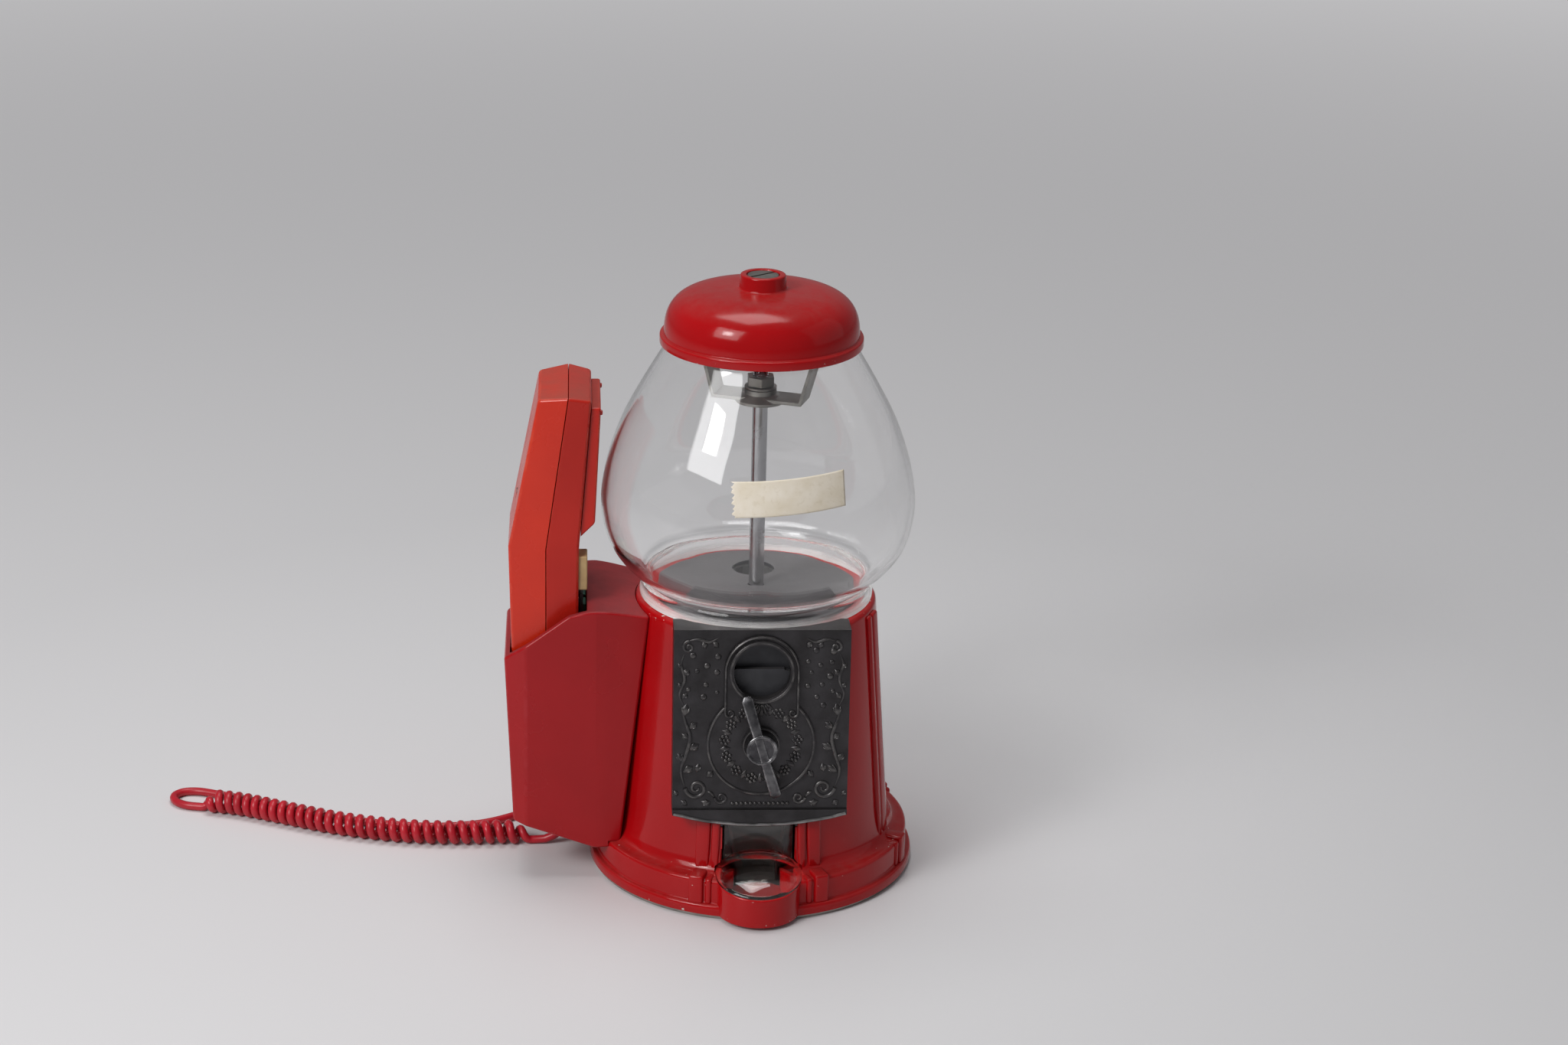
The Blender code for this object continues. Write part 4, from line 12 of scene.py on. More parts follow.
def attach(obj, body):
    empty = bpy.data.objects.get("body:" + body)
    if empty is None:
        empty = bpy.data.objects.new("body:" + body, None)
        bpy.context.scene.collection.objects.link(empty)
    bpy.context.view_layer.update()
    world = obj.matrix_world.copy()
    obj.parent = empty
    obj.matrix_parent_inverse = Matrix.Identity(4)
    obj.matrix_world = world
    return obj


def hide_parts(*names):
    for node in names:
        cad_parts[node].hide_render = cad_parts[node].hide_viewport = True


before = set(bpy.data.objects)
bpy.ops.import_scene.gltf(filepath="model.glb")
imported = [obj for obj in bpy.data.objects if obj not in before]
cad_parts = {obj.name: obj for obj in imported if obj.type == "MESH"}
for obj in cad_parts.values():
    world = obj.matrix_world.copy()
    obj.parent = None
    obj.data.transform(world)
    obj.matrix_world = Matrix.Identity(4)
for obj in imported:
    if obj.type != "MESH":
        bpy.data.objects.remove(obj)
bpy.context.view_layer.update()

# Camera: stands a little to the left of the machine's front, well above it, with a long lens
# that looks down on it and is held slightly out of level.
CAMERA_DISTANCE = 1.330
CAMERA_HEIGHT = 0.645
CAMERA_AZIMUTH = math.radians(-3.7)
CAMERA_YAW = math.radians(0.53)
CAMERA_PITCH = math.radians(19.76)
CAMERA_ROLL = math.radians(1.52)
LENS = 70.0
SENSOR_WIDTH = 36.0


def linked(name, data):
    """New object of some data, in the scene."""
    made = bpy.data.objects.new(name, data)
    bpy.context.scene.collection.objects.link(made)
    return made


ahead = Vector((math.sin(CAMERA_YAW) * math.cos(CAMERA_PITCH),
                math.cos(CAMERA_YAW) * math.cos(CAMERA_PITCH), -math.sin(CAMERA_PITCH)))
level = Vector((math.cos(CAMERA_YAW), -math.sin(CAMERA_YAW), 0.0))
overhead = level.cross(ahead)
to_right = level * math.cos(CAMERA_ROLL) + overhead * math.sin(CAMERA_ROLL)
to_top = overhead * math.cos(CAMERA_ROLL) - level * math.sin(CAMERA_ROLL)
camera = linked("camera", bpy.data.cameras.new("camera"))
camera.data.lens = LENS
camera.data.sensor_width = SENSOR_WIDTH
camera.matrix_world = (Matrix.Rotation(CAMERA_AZIMUTH, 4, "Z")
                       @ Matrix.Translation((0.0, -CAMERA_DISTANCE, CAMERA_HEIGHT))
                       @ Matrix((to_right, to_top, -ahead)).transposed().to_4x4())
bpy.context.scene.camera = camera

# Table and light: a plain pale top that keeps the machine's shadow, a broad soft lamp at the
# front left, a weak wide one at the right and one overhead, in an even grey room.
TABLE_SIZE = 14.0
TABLE_COLOUR = "#D6D5D6"
ROOM_COLOUR = "#757577"
WALL_COLOUR = "#BEBDBF"      # the room as the eye sees it beyond the table
GLOW_REACH = (0.5, 2.6)      # where the top's glow starts and where it is full, from its middle
FAR_GLOW = 0.52              # of the top's own colour
# each lamp's name, place, size and watts
LAMPS = (("key", (-1.00, -0.92, 1.05), 0.85, 10.5), ("key_core", (-1.02, -0.94, 1.09), 0.32, 6.5),
         ("fill", (1.60, -0.20, 0.90), 1.60, 1.5), ("overhead", (-0.12, 0.18, 1.52), 0.80, 10.0))
LAMP_AIM = Vector((-0.02, 0.0, 0.12))


def colour(code):
    """Linear colour of an sRGB hex value."""
    parts = [int(code[index:index + 2], 16) / 255 for index in (1, 3, 5)]
    return (*[part / 12.92 if part <= 0.04045 else ((part + 0.055) / 1.055) ** 2.4 for part in parts], 1.0)


def add_node(tree, kind, sockets=None, **settings):
    """New node with its settings; each socket takes a value or another node's output."""
    made = tree.nodes.new(kind)
    for name, value in settings.items():
        setattr(made, name, value)
    for key, value in (sockets or {}).items():
        if isinstance(value, bpy.types.NodeSocket):
            tree.links.new(value, made.inputs[key])
        else:
            made.inputs[key].default_value = value
    return made


def bare_finish(name, **constants):
    """New material, its tree and its shader with the constants set."""
    made = bpy.data.materials.new(name)
    made.use_nodes = True
    shader = made.node_tree.nodes["Principled BSDF"]
    for key, value in constants.items():
        shader.inputs[key.replace("_", " ")].default_value = value
    return made, made.node_tree, shader


def object_place(tree):
    """Place on the object, in its own frame."""
    return add_node(tree, "ShaderNodeTexCoord").outputs["Object"]


def ranged(tree, value, low, high, first=0.0, second=1.0):
    """Value stretched from between low and high to between first and second."""
    made = add_node(tree, "ShaderNodeMapRange", {"Value": value, "From Min": low, "From Max": high, "To Min": first,
                                                 "To Max": second})
    return made.outputs[0]


def maths(tree, operation, first, second):
    """Two values taken together."""
    return add_node(tree, "ShaderNodeMath", {0: first, 1: second}, operation=operation).outputs[0]


def blended(tree, share, first, second):
    """Colour that runs from one hex value to another with a share."""
    made = add_node(tree, "ShaderNodeMix", {0: share, 6: colour(first), 7: colour(second)}, data_type="RGBA")
    return made.outputs[2]


def by_eye(tree):
    """1 where the camera looks, straight or through something clear, and 0 for all other light."""
    rays = add_node(tree, "ShaderNodeLightPath").outputs
    return maths(tree, "MAXIMUM", rays["Is Camera Ray"], rays["Is Transmission Ray"])


# Matt paint; far from the lamps the top is kept pale for the eye alone, and lights nothing
table_finish, tree, shader = bare_finish("matt painted table top", Base_Color=colour(TABLE_COLOUR),
                                         Emission_Color=colour(TABLE_COLOUR), Roughness=0.55)
away = add_node(tree, "ShaderNodeVectorMath", {0: object_place(tree)}, operation="LENGTH").outputs["Value"]
glow = maths(tree, "MULTIPLY", ranged(tree, away, *GLOW_REACH, 0.0, FAR_GLOW), by_eye(tree))
tree.links.new(glow, shader.inputs["Emission Strength"])
table_mesh = bpy.data.meshes.new("table_top")
half = TABLE_SIZE / 2
table_mesh.from_pydata([(-half, -half, 0), (half, -half, 0), (half, half, 0), (-half, half, 0)], [], [(0, 1, 2, 3)])
table_mesh.materials.append(table_finish)
table = linked("table_top", table_mesh)
room = bpy.data.worlds.new("pale room")
room.use_nodes = True
bpy.context.scene.world = room
tree = room.node_tree
tree.links.new(blended(tree, by_eye(tree), ROOM_COLOUR, WALL_COLOUR), tree.nodes["Background"].inputs["Color"])
for name, place, size, power in LAMPS:
    lamp = linked(name + "_lamp", bpy.data.lights.new(name + "_lamp", "AREA"))
    lamp.data.size = size
    lamp.data.energy = power
    lamp.visible_camera = False
    lamp.matrix_world = (Matrix.Translation(place)
                         @ (LAMP_AIM - Vector(place)).to_track_quat("-Z", "Y").to_matrix().to_4x4())
bpy.context.scene.view_settings.view_transform = "Standard"

# Cord: one run of red vinyl wire. It leaves the holster's foot, is wound into close curls along
# the table, then runs round behind the machine and ends in its plug beside a tied coil.
WIRE_RADIUS = 0.0020
CURL_OUTER_RADIUS = 0.00585
CURL_COUNT = 31
CURL_STEPS = 24          # points in one curl
NEAR_PITCH = 0.00575
FAR_PITCH = 0.00485
CENTRE_LINE = ((-0.1040, 0.0070), (-0.1180, 0.0078), (-0.1300, 0.0075), (-0.1480, 0.0075), (-0.1660, 0.0095),
               (-0.1830, 0.0135), (-0.2020, 0.0200), (-0.2270, 0.0315), (-0.2430, 0.0390), (-0.2570, 0.0435),
               (-0.2900, 0.0500))
LEAD_ROUTE = ((-0.0880, 0.0060, 0.0207), (-0.0880, 0.0060, 0.0160), (-0.0896, 0.0061, 0.0100),
              (-0.0935, 0.0064, 0.0051), (-0.0985, 0.0067, 0.0025))
TAIL_PLAN = ((-0.2740, 0.0474), (-0.2795, 0.0518), (-0.2812, 0.0580), (-0.2775, 0.0628), (-0.2700, 0.0635),
             (-0.2600, 0.0600), (-0.2420, 0.0522), (-0.2180, 0.0402), (-0.1900, 0.0290), (-0.1600, 0.0222),
             (-0.1330, 0.0240), (-0.1120, 0.0350), (-0.0960, 0.0500), (-0.0790, 0.0660))      # on the table
TAIL_RISE = ((-0.0600, 0.0785, 0.0022), (-0.0380, 0.0860, 0.0027), (-0.0200, 0.0874, 0.0031),
             (-0.0107, 0.0874, 0.0031))
COIL_CENTRE = (-0.0100, 0.1160)
COIL_INNER_RADIUS = 0.0174
COIL_SPACING = 0.0045
COIL_TURNS = 5.0
COIL_STEPS = 48          # points in one turn of the coil
COIL_LOW_Z = 0.0031      # height of the lower layer's centre, on the tie
PLUG_LEAD = ((0.0000, 0.0868, 0.0070), (0.0080, 0.0856, 0.0049), (0.01402, 0.08455, 0.0040),
             (0.0180, 0.0842, 0.0040))
ROUTE_STEPS = 8          # points between two of a route's own


def smooth(points, per_span):
    """Catmull-Rom curve through points of any dimension."""
    known = [Vector(point) for point in points]
    known = [2 * known[0] - known[1]] + known + [2 * known[-1] - known[-2]]
    made = []
    for before, first, second, after in zip(known, known[1:], known[2:], known[3:]):
        for index in range(per_span):
            t = index / per_span
            made.append(0.5 * ((2 * first) + (second - before) * t
                               + (2 * before - 5 * first + 4 * second - after) * t ** 2
                               + (3 * first - before - 3 * second + after) * t ** 3))
    made.append(known[-2])
    return made


def ease(share):
    """0 to 1 with most of the change around the middle."""
    return share ** 2 * (3 - 2 * share)


def curl_points():
    """Curls round their centre line; the first and last turn open from the line itself."""
    line = smooth([(*point, 0.0) for point in CENTRE_LINE], 12)
    lengths = [0.0]
    for first, second in zip(line, line[1:]):
        lengths.append(lengths[-1] + (second - first).length)
    points = []
    travelled = 0.0
    index = 0
    steps = CURL_COUNT * CURL_STEPS
    for step in range(steps + 1):
        while index < len(line) - 2 and lengths[index + 1] <= travelled:
            index += 1
        within = (travelled - lengths[index]) / (lengths[index + 1] - lengths[index])
        centre = line[index].lerp(line[index + 1], within)
        run = (line[index + 1] - line[index]).normalized()
        side = Vector((run.y, -run.x, 0.0))
        opening = ease(min(1.0, step / CURL_STEPS, (steps - step) / CURL_STEPS))
        radius = (CURL_OUTER_RADIUS - WIRE_RADIUS) * opening
        turn = -math.pi / 2 - math.tau * step / CURL_STEPS
        up = Vector((0.0, 0.0, WIRE_RADIUS + radius + radius * math.sin(turn)))
        points.append(centre + side * (radius * math.cos(turn)) + up)
        pitch = (NEAR_PITCH + (FAR_PITCH - NEAR_PITCH) * ease(step / steps)) * (2 - opening)
        travelled += pitch / CURL_STEPS
    return points


def coil_points():
    """Turns that spiral in, climb in the half turn where the spiral reverses, and spiral out above."""
    points = []
    steps = round(COIL_TURNS * COIL_STEPS)
    for step in range(steps + 1):
        past_middle = step / COIL_STEPS - COIL_TURNS / 2
        radius = COIL_INNER_RADIUS + COIL_SPACING * abs(past_middle)
        turn = -math.pi / 2 + math.tau * step / COIL_STEPS
        climb = ease(min(1.0, max(0.0, 0.5 + 2 * past_middle)))
        points.append(Vector((COIL_CENTRE[0] + radius * math.cos(turn), COIL_CENTRE[1] + radius * math.sin(turn),
                              COIL_LOW_Z + COIL_SPACING * climb)))
    return points


def noise(tree, size, detail, roughness=0.5):
    """Clouds of about a size in metres."""
    made = add_node(tree, "ShaderNodeTexNoise", {"Vector": object_place(tree), "Scale": 1 / size, "Detail": detail,
                                                 "Roughness": roughness})
    return made.outputs["Fac"]


def finish(name, first, second, patch, grain, depth, dull, bright, **constants):
    """Material of two near colours in patches, with a relief of a grain size and depth, and uneven gloss."""
    made, tree, shader = bare_finish(name, **constants)
    patches = ranged(tree, noise(tree, patch, 4.0), 0.3, 0.7)
    tree.links.new(blended(tree, patches, first, second), shader.inputs["Base Color"])
    bump = add_node(tree, "ShaderNodeBump", {"Height": noise(tree, grain, 2.0), "Distance": depth, "Strength": 1.0})
    tree.links.new(bump.outputs[0], shader.inputs["Normal"])
    rough = ranged(tree, noise(tree, grain / 0.06, 5.0), 0.3, 0.7, bright, dull)
    tree.links.new(rough, shader.inputs["Roughness"])
    return made


# Soft vinyl: extruded, satin, a little darker where it is handled
vinyl = finish("soft red vinyl", "#BE1E2D", "#A81826", 0.020, 0.0006, 0.000006, 0.42, 0.30, Specular_IOR_Level=0.45)
route = smooth(LEAD_ROUTE, ROUTE_STEPS) + curl_points()
tail = [route[-1], *[(*point, WIRE_RADIUS) for point in TAIL_PLAN], *TAIL_RISE]
route += smooth(tail, ROUTE_STEPS)[1:] + coil_points()
route += smooth([route[-1], *PLUG_LEAD], ROUTE_STEPS)[1:]
line = bpy.data.curves.new("cord", "CURVE")
line.dimensions = "3D"
line.bevel_depth = WIRE_RADIUS
line.bevel_resolution = 3
line.use_fill_caps = True
spline = line.splines.new("POLY")
spline.points.add(len(route) - 1)
for place, point in zip(spline.points, route):
    place.co = (*point, 1.0)
spline.use_smooth = True
line.materials.append(vinyl)
cord = linked("cord", line)
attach(cord, "machine")
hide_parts("curly_cord", "cord_tail", "cord_coil")

# Cord's fittings: a tapered black rubber sleeve under the holster, a black strap round the
# stored turns and a clear flat line plug with its latch; the cord enters each end to end.
RELIEF_TOP_Z = 0.0371
RELIEF_PROFILE = ((0.0, 0.0, 0.0), (0.0058, 0.0, 0.0006), (0.0058, -0.0020, 0.0006), (0.0041, -0.0022, 0.0003),
                  (0.0038, -0.0050, 0.0002), (0.0032, -0.0052, 0.0002), (0.0032, -0.0062, 0.0002),
                  (0.0036, -0.0064, 0.0002), (0.0034, -0.0084, 0.0002), (0.0029, -0.0086, 0.0002),
                  (0.0029, -0.0096, 0.0002), (0.0032, -0.0098, 0.0002), (0.0030, -0.0122, 0.0002),
                  (0.0026, -0.0124, 0.0002), (0.0027, -0.0160, 0.0003), (0.0, -0.0160, 0.0))


def rounded(points, steps=4, closed=False):
    """Outline with its corners rounded; each point is (across, up, how far its round reaches)."""
    made = []
    count = len(points)
    for index, (across, up, reach) in enumerate(points):
        here = Vector((across, up))
        if reach == 0.0 or (not closed and index in (0, count - 1)):
            made.append((across, up))
            continue
        before = Vector(points[index - 1][:2]) - here
        after = Vector(points[(index + 1) % count][:2]) - here
        start = before.normalized() * min(reach, before.length * 0.48)
        end = after.normalized() * min(reach, after.length * 0.48)
        for step in range(steps + 1):
            t = step / steps
            made.append(tuple(here + start * (1 - t) ** 2 + end * t ** 2))
    return made


def turned(outline, sides, place=Matrix.Identity(4)):
    """Closed mesh of a (radius, height) outline turned about Z and then placed."""
    build = bmesh.new()
    rows = []
    for radius, height in outline:
        count = 1 if radius < 1e-7 else sides
        rows.append([build.verts.new((radius * math.cos(math.tau * index / sides),
                                      radius * math.sin(math.tau * index / sides), height))
                     for index in range(count)])
    pairs = list(zip(rows, rows[1:]))
    if len(rows[0]) > 1 and len(rows[-1]) > 1:
        pairs.append((rows[-1], rows[0]))
    for first, second in pairs:
        for index in range(sides):
            after = (index + 1) % sides
            loop = [first[index % len(first)], first[after % len(first)], second[after % len(second)],
                    second[index % len(second)]]
            loop = list(dict.fromkeys(loop))
            if len(loop) > 2:
                build.faces.new(loop)
    return as_mesh(build, place)


def kept(build):
    """Mesh of a bmesh, which is freed."""
    made = bpy.data.meshes.new("shape")
    build.to_mesh(made)
    build.free()
    return made


def as_mesh(build, place=Matrix.Identity(4)):
    """Mesh of a bmesh, merged, turned outwards and placed."""
    bmesh.ops.remove_doubles(build, verts=build.verts, dist=1e-6)
    bmesh.ops.transform(build, matrix=place, verts=build.verts)
    bmesh.ops.recalc_face_normals(build, faces=build.faces)
    return kept(build)


def piece(name, mesh, material, body, stands_for=(), smooth_below=35.0, flats=False):
    """Shown piece of a mesh that rides on a body and stands for CAD nodes; its flats may be kept flat."""
    made = linked(name, mesh)
    mesh.materials.clear()
    mesh.materials.append(material)
    mesh.shade_smooth()
    mesh.set_sharp_from_angle(angle=math.radians(smooth_below))
    if flats:
        even = made.modifiers.new("flats kept flat", "WEIGHTED_NORMAL")
        even.keep_sharp = True
        even.weight = 100
    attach(made, body)
    if stands_for:
        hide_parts(*stands_for)
    return made


def merged(mesh):
    """Shape as a bmesh with its loose triangles joined and its flats made whole."""
    build = bmesh.new()
    build.from_mesh(mesh)
    bmesh.ops.remove_doubles(build, verts=build.verts, dist=1e-5)
    bmesh.ops.dissolve_limit(build, angle_limit=math.radians(1.0), verts=build.verts, edges=build.edges)
    bmesh.ops.recalc_face_normals(build, faces=build.faces)
    return build


def soften(build, width, over=25.0, chosen=None, steps=2):
    """Rounds the edges that turn by more than an angle, and marks the rounds in 'edge'."""
    mark = build.verts.layers.float.get("edge") or build.verts.layers.float.new("edge")
    edges = [edge for edge in build.edges if len(edge.link_faces) == 2
             and edge.calc_face_angle(0.0) > math.radians(over) and (chosen is None or chosen(edge))]
    made = bmesh.ops.bevel(build, geom=edges, offset=width, offset_type="OFFSET", segments=steps, profile=0.5,
                           affect="EDGES", clamp_overlap=True, loop_slide=True)
    rounds = set(made["faces"])
    for vertex in made["verts"]:
        vertex[mark] = 1.0 if all(face in rounds for face in vertex.link_faces) else 0.0
    return build


def softened(node, width, steps=2):
    """Copy of a CAD node's shape with its edges rounded."""
    return as_mesh(soften(merged(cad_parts[node].data), width, steps=steps))


def soft_piece(name, node, width, material, body="machine", steps=2):
    """Shown piece that is a CAD node's shape with its edges rounded."""
    return piece(name, softened(node, width, steps), material, body, [node], flats=True)


# Moulded rubber: black and dull
black_rubber = finish("moulded black rubber", "#161616", "#1E1D1C", 0.01, 0.0005, 0.00001, 0.62, 0.50)
# Clear polycarbonate under a little dust
clear_plug = finish("clear polycarbonate, dusty", "#C9C8BF", "#B9B8AE", 0.006, 0.0005, 0.000004, 0.22, 0.12,
                    Transmission_Weight=0.55, IOR=1.58)
relief = turned(rounded(RELIEF_PROFILE), 40, Matrix.Translation((*LEAD_ROUTE[0][:2], RELIEF_TOP_Z)))
piece("cord_sleeve", relief, black_rubber, "machine", ["cord_strain_relief"])
tie = soft_piece("tie_strap", "cord_tie", 0.00025, black_rubber)
plug = soft_piece("line_plug", "cord_plug", 0.0004, clear_plug, steps=3)

# Base casting: one hollow zinc die casting with a rolled shoulder and a stepped flange, stove
# enamelled red. The mechanism's window, the chute and the bowl are openings in it.
BASE_PROFILE = ((0.0440, 0.1332, 0.0008), (0.0560, 0.1332, 0.0026), (0.0645, 0.0300, 0.0050),
                (0.0661, 0.0214, 0.0030), (0.0693, 0.0182, 0.0030), (0.0744, 0.0182, 0.0022),
                (0.0744, 0.0066, 0.0010), (0.0765, 0.0066, 0.0010), (0.0771, 0.0050, 0.0008),
                (0.0771, 0.0018, 0.0004), (0.0741, 0.0018, 0.0003), (0.0741, 0.0035, 0.0), (0.0714, 0.0066, 0.0),
                (0.0714, 0.0152, 0.0), (0.0615, 0.0167, 0.0), (0.0615, 0.0300, 0.0), (0.0530, 0.1302, 0.0),
                (0.0440, 0.1302, 0.0))
CUP_Y = -0.0677
CUP_PROFILE = ((0.0, 0.0018, 0.0), (0.0195, 0.0018, 0.0005), (0.0195, 0.0188, 0.0011), (0.0170, 0.0188, 0.0008),
               (0.0170, 0.0050, 0.0030), (0.0, 0.0050, 0.0))
CUP_FLOOR_Z = 0.0050
BOWL_RADIUS = 0.0182
BOWL_TOP_Z = 0.0300
LID_TILT = math.radians(9.0)
LID_RADIUS = 0.0199
LID_Z = 0.0191
LID_SPACE_RADIUS = LID_RADIUS + 0.0007
LID_SPACE_PROFILE = ((0.0, -0.0003), (LID_SPACE_RADIUS, -0.0003), (LID_SPACE_RADIUS, 0.0024),
                     (LID_RADIUS - 0.0020, 0.0040), (LID_RADIUS - 0.0060, 0.0090), (0.0, 0.0090))
# rooms in the casting, from low to high corner: the mechanism's, the chute's, the plate lip's,
# then the sill under the chute and the throat into the bowl
WINDOW = ((-0.0325, -0.0771, 0.0500), (0.0325, -0.0375, 0.1302))
CHUTE_MOUTH = ((-0.0168, -0.0762, 0.0150), (0.0168, -0.0375, 0.0530))
LIP_NOTCH = ((-0.0190, -0.0771, 0.0404), (0.0190, -0.0375, 0.0530))
SILL = ((-0.0202, -0.0625, 0.0150), (0.0202, -0.0452, 0.0197))
THROAT = ((-0.0112, CUP_Y, CUP_FLOOR_Z), (0.0112, -0.0452, 0.0191))
RIB_ROOT = 0.0630
RIB_FOOT_Z = 0.0167
RIB_TOP_Z = 0.1300
RIB_LEAN = math.atan(0.0085 / 0.1032)
RIB_ROUND = 0.0012
RIB_DEPTH = 0.0041       # from its root inside the casting
# left and right edge of each rib, then of each block over the flange, with its reach and top
RIB_PARTS = ((-0.0041, -0.0003), (0.0004, 0.0072))
RIB_BLOCKS = ((-0.0036, -0.0006, 0.0753, 0.0188), (0.0003, 0.0073, 0.0760, 0.0200))
RIB_BLOCK_FOOT_Z = 0.0060
SIDE_RIB_TURNS = (66.0, 114.0, 160.0, -160.0)
CHUTE_RIB_TOP_Z = 0.0468
CHUTE_RIB_TURN = 19.8
# heights between which the enamel chips, and how rarely
CHIP_BANDS = ((0.1295, 0.1345, 0.680), (0.0140, 0.0200, 0.695), (0.0015, 0.0035, 0.660),
              (0.2535, 0.2560, 0.680))


def carved(mesh, *steps):
    """Mesh after boolean steps, each an operation and the mesh of its tool."""
    base = linked("carving", mesh)
    tools = [linked("tool", tool_mesh) for _, tool_mesh in steps]
    for (operation, _), tool in zip(steps, tools):
        step = base.modifiers.new("step", "BOOLEAN")
        step.operation = operation
        step.solver = "EXACT"
        step.object = tool
    return evaluated(base, tools)


def cut(mesh, *tools):
    """Mesh with the meshes of some tools cut away."""
    return carved(mesh, *[("DIFFERENCE", tool) for tool in tools])


def evaluated(holder, others):
    """Mesh that an object's modifiers make; the object and the others it used are removed."""
    made = bpy.data.meshes.new_from_object(holder.evaluated_get(bpy.context.evaluated_depsgraph_get()))
    for used in [holder, *others]:
        bpy.data.objects.remove(used, do_unlink=True)
    return made


def box(low, high):
    """Plain box between two corners, as a bmesh."""
    build = bmesh.new()
    low, high = Vector(low), Vector(high)
    bmesh.ops.create_cube(build, size=1.0, matrix=Matrix.Translation((low + high) / 2)
                          @ Matrix.Diagonal((*(high - low), 1.0)))
    return build


def block(low, high, width, steps=3):
    """Box between two corners with rounded edges, as a bmesh."""
    return soften(box(low, high), width, steps=steps)


def disc(radius, low, high, sides, place=Matrix.Identity(4)):
    """Plain round solid between two heights, then placed."""
    return turned([(0.0, low), (radius, low), (radius, high), (0.0, high)], sides, place)


def one_mesh(meshes):
    """Several meshes in one."""
    build = bmesh.new()
    for mesh in meshes:
        build.from_mesh(mesh)
    return kept(build)


def placing_tree(name, inputs, chosen):
    """Node tree that copies a shape to points, makes the copies real and gives them their finish.

    chosen() adds the nodes that give the points, and the turn and size of each copy.
    """
    tree = bpy.data.node_groups.get(name)
    if tree is None:
        tree = bpy.data.node_groups.new(name, "GeometryNodeTree")
        for key, kind in {**inputs, "Shape": "Object", "Finish": "Material"}.items():
            tree.interface.new_socket(key, in_out="INPUT", socket_type="NodeSocket" + kind)
        tree.interface.new_socket("Copies", in_out="OUTPUT", socket_type="NodeSocketGeometry")
        given = add_node(tree, "NodeGroupInput").outputs
        shown = add_node(tree, "GeometryNodeObjectInfo", {"Object": given["Shape"]})
        placed = add_node(tree, "GeometryNodeInstanceOnPoints",
                          {"Instance": shown.outputs["Geometry"], **chosen(tree, given)})
        real = add_node(tree, "GeometryNodeRealizeInstances", {0: placed.outputs[0]})
        dressed = add_node(tree, "GeometryNodeSetMaterial",
                           {"Geometry": real.outputs[0], "Material": given["Finish"]})
        add_node(tree, "NodeGroupOutput", {0: dressed.outputs[0]})
    return tree


def at_places(tree, given):
    """Points as they are given, with the turn and size stored on each."""
    turn, size = [add_node(tree, "GeometryNodeInputNamedAttribute", {"Name": name}, data_type="FLOAT_VECTOR").outputs[0]
                  for name in ("turn", "size")]
    turned_to = add_node(tree, "FunctionNodeEulerToRotation", {0: turn})
    return {"Points": given["Places"], "Rotation": turned_to.outputs[0], "Scale": size}


def copies(shape, places, material):
    """Mesh of a shape copied to each place, a matrix, by a node tree."""
    points = bpy.data.meshes.new("places")
    points.from_pydata([place.to_translation() for place in places], [], [])
    for name, values in (("turn", [value for place in places for value in place.to_euler()]),
                         ("size", [value for place in places for value in place.to_scale()])):
        points.attributes.new(name, "FLOAT_VECTOR", "POINT").data.foreach_set("vector", values)
    tree = placing_tree("copies at places", {"Places": "Geometry"}, at_places)
    return run_tree(tree, points, {"Shape": shape, "Finish": material})


def run_tree(tree, mesh, values):
    """Plain mesh that a node tree makes of a mesh, with its named inputs set.

    A mesh given as an input is lent an object.
    """
    holder = linked("holder", mesh)
    step = holder.modifiers.new("make", "NODES")
    step.node_group = tree
    lent = []
    for item in tree.interface.items_tree:
        if item.in_out == "INPUT" and item.name in values:
            value = values[item.name]
            if isinstance(value, bpy.types.Mesh):
                value = linked("lent", value)
                lent.append(value)
            step[item.identifier] = value
    holder.update_tag()
    return evaluated(holder, lent)


def overlay(made, mask, tint, rough=None):
    """Lays a second colour, and its roughness, over a finish where the mask is 1."""
    tree = made.node_tree
    shader = tree.nodes["Principled BSDF"]
    mixes = [("Base Color", colour(tint), "RGBA", (6, 7, 2))]
    if rough is not None:
        mixes.append(("Roughness", rough, "FLOAT", (2, 3, 0)))
    for key, value, kind, (first, second, output) in mixes:
        below = shader.inputs[key].links[0].from_socket
        mixed = add_node(tree, "ShaderNodeMix", {0: mask, first: below, second: value}, data_type=kind)
        tree.links.new(mixed.outputs[output], shader.inputs[key])


def clouded(tree, mask, size, least, most, low=0.3, high=0.7):
    """Mask times a cloud that runs from least to most."""
    return maths(tree, "MULTIPLY", ranged(tree, noise(tree, size, 6.0, 0.6), low, high, least, most), mask)


def banded(tree, low, high, soft):
    """Mask of what lies between two heights, with soft edges."""
    height = add_node(tree, "ShaderNodeSeparateXYZ", {0: object_place(tree)}).outputs["Z"]
    return maths(tree, "MULTIPLY", ranged(tree, height, low - soft, low + soft),
                 ranged(tree, height, high - soft, high + soft, 1.0, 0.0))


def dusted(made, most, size, tint, rough):
    """Lays dust on what faces up, thicker and thinner in clouds of a size."""
    tree = made.node_tree
    face = add_node(tree, "ShaderNodeNewGeometry")
    rise = add_node(tree, "ShaderNodeSeparateXYZ", {0: face.outputs["Normal"]}).outputs["Z"]
    overlay(made, clouded(tree, ranged(tree, rise, 0.55, 0.95), size, 0.35, most), tint, rough)


def worn(made, size, cloud, tint, rough, only=None):
    """Lays wear on the rounded edges that soften() marks, broken up in clouds, or only where a mask is."""
    tree = made.node_tree
    mark = add_node(tree, "ShaderNodeAttribute", attribute_name="edge").outputs["Fac"]
    if only is not None:
        mark = maths(tree, "MULTIPLY", mark, only)
    overlay(made, clouded(tree, mark, size, *cloud), tint, rough)


